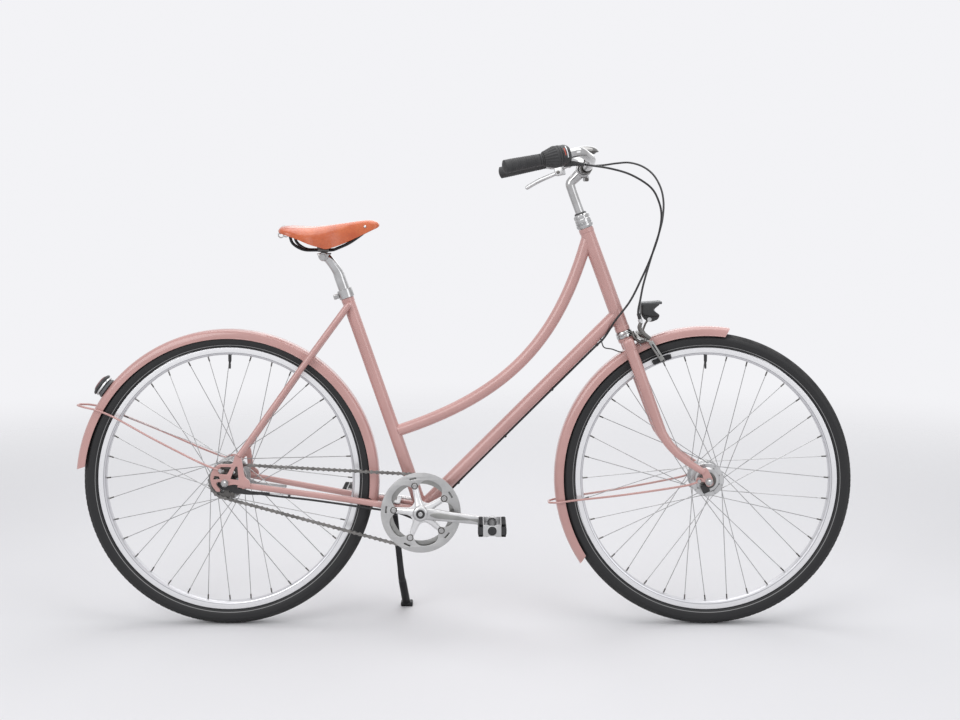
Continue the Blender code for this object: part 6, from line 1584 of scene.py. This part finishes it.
# Gear joint and brake arm
def gear_joint():
    """A flat housing round the axle with a long nose towards the cable, and a raised cable wheel."""
    turn = np.radians(np.linspace(10, 290, 36))
    outline = np.vstack((polar(20.0, turn), [(20, -27), (58, -31), (58, -21), (30, -15)]))
    middle = REAR_AXLE - SIDEWAYS * 54.4
    whole = plate([rounded(outline, 2.5, 3), ring(28, 5.4, 5.4)], middle, 6.2, 1.2)
    whole += turned(eased(12.5, 17.6, -3.4, 3.4, 0.6, 0.6), middle, SIDEWAYS, 60,
                    soft=0.4, squeeze=ribs(15, 0.015))
    return whole


piece("gear_joint_housing", gear_joint(), "frame", BLACK, "cassette_joint")
BOOT_START = REAR_AXLE + at(60, -54.4, -26)
boot_line = smooth(BOOT_START + at((-10, 0, 0), (14, 0.6, -1.4), (44, 1.4, -2.8)), 90)
s = np.linspace(-10, 44, 90)
boot_size = np.interp(s, (-10, 8, 44), (4.6, 4.4, 3.1))
boot_size += 0.4 * np.clip(np.sin(s * TAU / 3.6) * 2, -1, 1) * (s > 6)
piece("gear_cable_boot", tube(boot_line, boot_size, 20), "frame", BLACK)


def brake_arm_plate():
    """A flat steel strap from the axle forward to a clip on the stay."""
    turn = np.radians(np.linspace(60, 285, 30))
    strap = [(40, -33), (116, -39), (130, -36), (130, -28.8), (118, -28), (60, -22), (24, -8)]
    outline = rounded(np.vstack((polar(21.0, turn), strap)), 2.5, 3)
    whole = plate([outline, ring(28, 5.4, 5.4)], REAR_AXLE + SIDEWAYS * 57.3, 4.0, 0.9)
    clip = REAR_AXLE + at(122, 57.3, -32.5)
    whole += turned([(0, -4.4), (4.6, -4.4), (4.6, -3.2), (3.0, -3), (3.0, 3), (4.6, 3.2), (4.6, 4.8),
                     (0, 4.8)], clip, SIDEWAYS, 24, soft=0.3)
    return whole


piece("hub_brake_arm", brake_arm_plate(), "frame", SATIN, "coaster_brake_arm")


# Rear lamp, on the mudguard
LAMP_TURN = math.radians(143)
LAMP_OUT = polar_at(1, LAMP_TURN)
LAMP_ALONG = at(-math.sin(LAMP_TURN), 0, math.cos(LAMP_TURN))
LAMP_PLACE = GUARD_CENTRE + LAMP_OUT * 378.3


def lamp_box(low_level, high_level, reach, soft):
    """A dome over an oval foot: each level's half sizes shrink as a high power of the height."""
    share = np.linspace(0, 1, 15)
    scale = (1 - share**2.6 * 0.995)**(1 / 2.0)
    sizes = np.stack((reach[0] * scale, reach[1] * scale), -1)
    edge = ring(56, power=soft)[None] * sizes[:, None]
    level = mix(low_level, high_level, share)[:, None, None]
    grid = LAMP_PLACE + LAMP_ALONG * edge[..., :1] + SIDEWAYS * edge[..., 1:] + LAMP_OUT * level
    return surface(grid)


for name, low_level, high_level, reach, soft, finish, node in (
        ("housing", -12.0, 1.5, (24.0, 21.0), 0.7, VISOR_GREY, "rear_lamp"),
        ("bowl", -3.0, 9.5, (25.0, 21.5), 0.75, SATIN, None),
        ("shade", 3.5, 13.0, (27.5, 22.6), 0.85, BLACK, None),
        ("lens", 9.0, 15.5, (21.0, 17.0), 0.85, RED_LENS, None)):
    piece(f"rear_lamp_{name}", lamp_box(low_level, high_level, reach, soft), "frame", finish, node)


# Side stand
STAND_PIVOT = BRACKET + at(-69, 44, -13)
KNEE = at(412.14, 60, 97)
FOOT = at(422.14, 128, 6.708)
knee_line = smooth([mix(STAND_PIVOT, KNEE, 0.86), KNEE, mix(KNEE, FOOT, 0.15)], 17)
leg_line = np.vstack(([STAND_PIVOT], knee_line, [FOOT + at(-1, -5, 8)]))
leg_share = np.linspace(0, 1, len(leg_line))
leg = tube(leg_line, np.interp(leg_share, (0, 0.9, 1), (7.5, 9.0, 10.0)), 32,
           flat=np.interp(leg_share, (0, 0.9, 1), (0.9, 0.78, 0.74)), power=0.8)
leg += turned([(0, -8.7), (7.6, -8.7), (8.5, -7.6), (8.5, 7), (7.6, 8), (0, 8)], STAND_PIVOT, SIDEWAYS, 32,
              soft=0.5)
TREAD_WAY = at(0, math.cos(LEAN), math.sin(LEAN))
SOLE_OUT = unit(np.cross(TREAD_WAY, FORWARD))
pad_middle = FOOT - SOLE_OUT * 5.5
leg += block(pad_middle, (30, 26, 11), FORWARD, TREAD_WAY, 3.0)
for k in range(5):
    leg += block(pad_middle + FORWARD * (k - 2) * 6.0, (2.4, 24, 11.0), FORWARD, TREAD_WAY, 0.6)
piece("stand_leg", leg, "side_stand", BLACK_STEEL, "side_stand_leg")
STAY_AT = mix(REAR_AXLE, BRACKET, (BRACKET[0] - 69) / BRACKET[0])
slope = unit(BRACKET - REAR_AXLE)
STAY_NORMAL = at(-slope[2], 0, slope[0])
clamp = block(STAY_AT + STAY_NORMAL * 10.3, (34, 74, 4), slope, SIDEWAYS, 1.4)
clamp += nut(STAY_AT + STAY_NORMAL * 12.3, STAY_NORMAL, 13.0, 5.3)
piece("stand_clamp_plate", clamp, "frame", SATIN)
stand = block(STAY_AT - STAY_NORMAL * 10.3 + SIDEWAYS * 4, (34, 62, 4), slope, SIDEWAYS, 1.4)
stand += bar(STAY_AT - STAY_NORMAL * 17.6, STAY_AT + STAY_NORMAL * 13, 4.9, 24)
stand += block(STAY_AT - STAY_NORMAL * 18.6 + SIDEWAYS * 12, (30, 42, 16), slope, SIDEWAYS, 3.4)
stand += turned(eased(0, 8.5, -26, -9, 0.5, 0.6), STAND_PIVOT, SIDEWAYS, 32)
piece("stand_mount", stand, "frame", BLACK_STEEL, "stand_bracket")
turns = np.linspace(0, TAU * 9, 220)
spring_way = unit(KNEE - STAND_PIVOT)
su, sv = across(spring_way)
coil = STAND_PIVOT + spring_way * (8 + turns * 0.62)[:, None] + at(-9, -7, 0)
coil = coil + 3.4 * (su * np.cos(turns)[:, None] + sv * np.sin(turns)[:, None])
piece("stand_spring", tube(coil, 0.75, 6, guide=spring_way), "side_stand", DARK_STEEL)


# Saddle and seat post
CRADLE = seat_point(620) + at(-28.5397, 0, 24.5623)
SADDLE_MIDDLE = CRADLE + UP * 15.8
post = turned([(0, 393), (13.0, 393), (13.5, 394), (13.5, 600), (12.9, 604), (0, 606)], BRACKET, SEAT_UP,
              48)
neck = smooth([seat_point(590), seat_point(604), seat_point(617) + at(-5, 0, 3),
               mix(seat_point(624), CRADLE, 0.6) + UP, CRADLE], 45)
post += tube(neck, np.linspace(13.45, 10.2, 45), 40, flat=np.linspace(1.0, 1.3, 45), power=0.92)
piece("seat_post", post, "seat", CHROME, "seatpost")
clamp_parts = turned(eased(0, 10.5, -27, 27, 1, 1), CRADLE, SIDEWAYS, 40)
jaw = rounded(np.vstack((polar(12.0, np.radians(np.linspace(185, 355, 24))), [(15.5, 6), (-15.5, 6)])), 1.5,
              2)
for y in (-24.4, 24.4):
    clamp_parts += plate([jaw], CRADLE + SIDEWAYS * y + UP * 2, 5.0, 1.2)
for way in (SIDEWAYS, -SIDEWAYS):
    clamp_parts += turned(band(4, 8.5, 27, 28.4), CRADLE, way, 30)
    clamp_parts += nut(CRADLE + way * 28.4, way, 12.6, 5.4)
piece("seat_clamp", clamp_parts, "seat", CHROME)
# The clamp's top plates take dark steel as painted shade, for the saddle's shadow over the clamp.
rail_plates = block(CRADLE + UP * 11.9, (16, 26, 21.8), soft=2.6)
rail_plates += block(CRADLE + UP * 21.6, (30, 54, 4), soft=1.4)
for y in (-21.5, 21.5):
    rail_plates += block(CRADLE + at(0, y, 15.8), (28, 11, 8.4), soft=2.4)
piece("rail_plates", rail_plates, "seat", DARK_STEEL)

RAIL = at((-79, 40, 44), (-72, 40, 18), (-48, 29, 2), (-18, 22, 0), (18, 22, 0), (32, 21, 4), (62, 17, 18),
          (98, 10, 44), (110, 5, 60), (113, 0, 62.5))
rail_left = smooth(np.vstack(([(-80, 22, 49.4)], RAIL, [(110, -5, 60)])) + SADDLE_MIDDLE, 133)[:122]
cross = smooth(SADDLE_MIDDLE + at((-79.2, -41, 44.5), (-81, -26, 49.0), (-81, 0, 50.5), (-81, 26, 49.0),
                                  (-79.2, 41, 44.5)), 41)
rail = tube(rail_left[11:], 3.5, 18)
rail += tube(cross, 3.5, 18, guide=UP)
rail = rail + rail.mirrored()
rail += block(SADDLE_MIDDLE + at(109, 0, 59.5), (22, 20, 7), soft=3.0)
rail += bar(SADDLE_MIDDLE + at(98, 0, 47), SADDLE_MIDDLE + at(116, 0, 58), 3.8, 24)
rail += nut(SADDLE_MIDDLE + at(96, 0, 45.8), unit(at(18, 0, 11)), 11.0, 5.0)
piece("saddle_frame_rods", rail, "seat", BLACK_STEEL, "saddle_rails")

# Each station is the place along the saddle, half its width, its top's height and its edge's height.
SADDLE_STATIONS = at((-105, 52, 50, 46), (-98, 74, 57, 42), (-80, 87, 59, 36), (-55, 88, 58, 27),
                     (-28, 80, 57, 15), (-4, 63, 58.6, 7), (10, 52, 60, 3.5), (32, 37, 63, 10),
                     (62, 26, 67, 22), (92, 21, 71, 36), (112, 19, 72, 46), (127, 14, 68, 53),
                     (133, 6, 62, 58))


def saddle_leather():
    """A hide stretched from nose to cantle. Each cross section is a flattened arch from edge to edge:
    sideways place = half width times cosine to the power .55, height = edge + rise times sine to the
    power .75. The inside is the same arch 4.5 mm smaller, and a rolled lip joins the two."""
    rows = smooth(SADDLE_STATIONS, 90)
    a = np.linspace(0, np.pi, 61)
    c, s = np.cos(a), np.sin(a)

    def arch(inset):
        half = np.maximum(rows[:, 1:2] - inset, 1.2)
        rise = np.maximum(rows[:, 2:3] - rows[:, 3:4] - inset, 0.3)
        y = -half * np.sign(c) * abs(c)**0.55
        z = rows[:, 3:4] + rise * s**0.75
        x = np.broadcast_to(rows[:, :1], y.shape)
        return np.stack((x, y, z), -1)
    outer = arch(0.0)
    inner = arch(4.5)[:, ::-1]
    grid = np.concatenate((outer, inner), 1) + SADDLE_MIDDLE
    return surface(grid)


piece("saddle_hide", saddle_leather(), "seat", LEATHER, "saddle_leather", sharp=60)


def rivet(place, normal, size=4.6):
    """A low domed head at a place measured from the saddle's middle."""
    profile = [(0, -1.0), (size, -1.0), (size, 0.2), (size * 0.8, 1.2), (size * 0.4, 1.8), (0, 2.0)]
    return turned(profile, SADDLE_MIDDLE + place, normal, 20)


rivets = []
for x, y, z in ((-99.5, 0, 57.4), (-98.5, 24, 55.8), (-97, 45, 53.8), (-92.5, 64, 50.5), (-98.5, -24, 55.8),
                (-97, -45, 53.8), (-92.5, -64, 50.5)):
    rivets.append(rivet(at(x, y, z), at(-0.62, y * 0.004, 0.78)))
for y in (-8.5, 0, 8.5):
    rivets.append(rivet(at(124 - abs(y) * 0.3, y, 68.6 - abs(y) * 0.25), at(0.55, y * 0.03, 0.83), 3.2))
for side in (-1, 1):
    rivets.append(rivet(at(100, side * 20.2, 57), at(0.1, side, 0.35), 3.4))
    loop_turn = np.linspace(0, TAU, 41)[:-1]
    loop_at = SADDLE_MIDDLE + at(-99, side * 42, 37)
    ring_path = loop_at + 6.5 * (FORWARD * np.cos(loop_turn)[:, None] + UP * np.sin(loop_turn)[:, None])
    rivets.append(tube(ring_path, 1.4, 10, closed=True))
piece("saddle_rivets", joined(rivets), "seat", SATIN)
cantle = smooth([(-98, -66, 44), (-102, -40, 46), (-103, 0, 48), (-102, 40, 46), (-98, 66, 44)], 41)
piece("cantle_plate", tube(cantle + SADDLE_MIDDLE, 5.2, 16, flat=0.34, guide=FORWARD), "seat", BLACK_STEEL)


# Cables, as points that each sleeve runs through
CABLE_RADIUS = 2.5
UNDER = at(DOWN_WAY[2], 0, -DOWN_WAY[0]) * (DOWN_TUBE_RADIUS + CABLE_RADIUS + GAP)
UNDER_TOP = mix(BRACKET, DOWN_TUBE_HEAD, 0.90) + UNDER
UNDER_BOTTOM = mix(BRACKET, DOWN_TUBE_HEAD, 0.085) + UNDER


def under_stay(x, side, drop):
    """A place below the line from the rear axle to the bottom bracket."""
    return REAR_AXLE + (BRACKET - REAR_AXLE) * x / BRACKET[0] - UP * drop + SIDEWAYS * side


BRAKE_CABLE = [LEVER_BARREL + CABLE_WAY * 0.8, LEVER_BARREL + CABLE_WAY * 13, (885, 212, 1112),
               (918, 186, 1112), (951, 158, 1116), (981, 136, 1117), (1011, 112, 1107), (1036, 94, 1086),
               (1052, 76, 1054), (1057, 58, 1019), (1053, 40, 982), (1043, 20, 948), (1021, -6, 890),
               (999, -26, 824), (990, -32, 784), ADJUSTER - BARREL_WAY * 18, ADJUSTER]
brake_cable = smooth(BRAKE_CABLE, 220)
piece("brake_cable_sleeve", tube(brake_cable, CABLE_RADIUS, 14, guide=unit(at(0.2, 0.7, 0.1))), "steering",
      CABLE_BLACK, "brake_cable")
boot_rows = np.linspace(0, 1, 40)
boot_path = mix(ADJUSTER - BARREL_WAY * 14, ADJUSTER, boot_rows[:, None])
boot_size = 4.6 + 0.5 * np.sin(boot_rows * TAU * 4)
piece("brake_cable_boot", tube(boot_path, boot_size, 20), "steering", BLACK)
INNER_END = brake_point(41.6, 6, -24)
ferrule = bar(ADJUSTER - BARREL_WAY, ADJUSTER + BARREL_WAY * 12, 3.6, 24)
ferrule += bar(ADJUSTER + BARREL_WAY * 8, INNER_END, 0.9, 10)
ferrule += turned([(2.4, 1), (5.2, 1.4), (5.2, 7), (2.4, 7.4)], ADJUSTER, BARREL_WAY, 60,
                  squeeze=ribs(12, 0.06))
start_way = unit(brake_cable[1] - brake_cable[0])
ferrule += turned([(2.4, -1.5), (3.6, -1.5), (3.6, 9), (3.1, 9.6), (2.4, 9.6)], brake_cable[0], start_way,
                  24)
piece("brake_cable_ends", ferrule, "steering", SATIN)

BLEND_START = (930, -25, 732)
BLEND_END = (1000, -128, 1053)
SHIFT_CABLE = [EXIT + FORWARD * 2.8, (905, -182, 1094), (955, -158, 1080), (1002, -128, 1053),
               (1024, -104, 1022), (1034, -84, 985), (1029, -66, 938), (1013, -50, 885), (992, -41, 835),
               (965, -34, 780), BLEND_START, UNDER_TOP - SIDEWAYS * 6, mix(UNDER_TOP, UNDER_BOTTOM, 0.12),
               UNDER_BOTTOM, BRACKET + at(20, -9, -20.5), BRACKET + at(-6, -14, -26.5),
               under_stay(405, -33, 13), under_stay(330, -35, 13), under_stay(210, -44, 13),
               under_stay(125, -53, 15), REAR_AXLE + at(61, -54.4, -26)]
shift_cable = smooth(SHIFT_CABLE, 380)
cable_guide = unit(at(-0.25, 0.9, 0.36))
cable_piece = piece("shift_cable_sleeve", tube(shift_cable, CABLE_RADIUS, 14, guide=cable_guide), None,
                    CABLE_BLACK, "shift_cable")
tuple(placed(BLEND_START))
tuple(placed(BLEND_END))
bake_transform(cable_piece)


def cable_clip(place, way, out):
    """A small block round the cable, square to its tube."""
    return block(place, (6.5, 8.4, 7.0), way, unit(np.cross(way, out)), 1.8)


clips = [cable_clip(mix(BRACKET, DOWN_TUBE_HEAD, share) + UNDER, DOWN_WAY, UNDER)
         for share in (0.16, 0.40, 0.64, 0.87)]
clips += [cable_clip(under_stay(x, y, 11.8), slope, UP) for x, y in ((345, -34.5), (150, -50.5))]
piece("cable_clips", joined(clips), "frame", BLACK)
wire = smooth([(896, -7, 694), (899, -11, 680), (905, -14, 667), (924, -15, 663), (944, -14, 656),
               (957, -12, 658), (966, -8, 664)], 60)
wire_piece = piece("lamp_wire", tube(wire, 1.5, 10, guide=unit(at(0.1, 0.9, 0.2))), None, CABLE_BLACK)
tuple(placed((903, -13, 670)))
tuple(placed((956, -12, 658)))
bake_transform(wire_piece)


# Floor, background and lamps
MIDDLE = placed(at(575, 0, 0))
FLOOR_LEVEL = CAD_BOX[0][2]


def floor_paper():
    """Matt white paper whose edge fades out far from the bike, so that it has no visible end."""
    r = Recipe("white_paper")
    x, y, z = r.split(r.moved((float(MIDDLE[0]), float(MIDDLE[1]), 0.0)))
    distance = ((x * 0.8)**2.0 + y * y)**0.5
    grain = r.noise(300.0, 2.0)
    base = r.blend(grain * 0.1, (0.80, 0.80, 0.82), (0.78, 0.78, 0.80))
    return r.finish(Base_Color=base, Roughness=0.9, Alpha=1 - distance.between(1.2, 3.4),
                    Specular_IOR_Level=0.1)


floor_mesh = bpy.data.meshes.new("floor")
floor_corners = [(MIDDLE[0] + x, MIDDLE[1] + y, FLOOR_LEVEL)
                 for x, y in ((-5, -5), (5, -5), (5, 5), (-5, 5))]
floor_mesh.from_pydata(floor_corners, [], [(0, 1, 2, 3)])
floor = bpy.data.objects.new("floor", floor_mesh)
floor.data.materials.append(floor_paper())
bpy.context.scene.collection.objects.link(floor)


def soft_lamp(name, place, size, power, tone=(1.0, 1.0, 1.0)):
    """A rectangular lamp that faces the bike from a place measured from its middle."""
    lamp_data = bpy.data.lights.new(name, "AREA")
    lamp_data.shape = "RECTANGLE"
    lamp_data.size, lamp_data.size_y = size
    lamp_data.energy = power
    lamp_data.color = tone
    lamp = bpy.data.objects.new(name, lamp_data)
    lamp.location = TARGET + at(*place)
    lamp.rotation_euler = (Vector(TARGET) - lamp.location).to_track_quat("-Z", "Y").to_euler()
    bpy.context.scene.collection.objects.link(lamp)


TARGET = MIDDLE + at(0, 0, 0.55)
soft_lamp("lamp_left", (-2.2, -2.6, 1.9), (2.4, 2.4), 46.0)
soft_lamp("lamp_right", (2.6, -2.4, 1.2), (1.8, 2.4), 17.0, (0.97, 0.98, 1.0))
soft_lamp("lamp_above", (0.2, 0.2, 2.4), (3.4, 2.2), 50.0)
soft_lamp("lamp_behind", (0.6, 2.8, 1.5), (3.0, 1.6), 16.0)

world = bpy.data.worlds.new("studio")
world.use_nodes = True
bpy.context.scene.world = world
world_tree = world.node_tree
background = world_tree.nodes["Background"]
rays = world_tree.nodes.new("ShaderNodeLightPath")


def either(first, second):
    """The larger of two sockets, as when one of two kinds of ray is meant."""
    node = world_tree.nodes.new("ShaderNodeMath")
    node.operation = "MAXIMUM"
    world_tree.links.new(first, node.inputs[0])
    world_tree.links.new(second, node.inputs[1])
    return node.outputs[0]


seen = either(either(rays.outputs["Is Camera Ray"], rays.outputs["Is Glossy Ray"]),
              rays.outputs["Is Transmission Ray"])
tone = world_tree.nodes.new("ShaderNodeMix")
tone.data_type = "RGBA"
tone.inputs[MIX_FIRST].default_value = (0.42, 0.42, 0.43, 1.0)
tone.inputs[MIX_SECOND].default_value = (0.895, 0.895, 0.92, 1.0)
world_tree.links.new(seen, tone.inputs[MIX_SHARE])
world_tree.links.new(tone.outputs[MIX_COLOUR], background.inputs["Color"])

bpy.context.scene.view_settings.view_transform = "Standard"
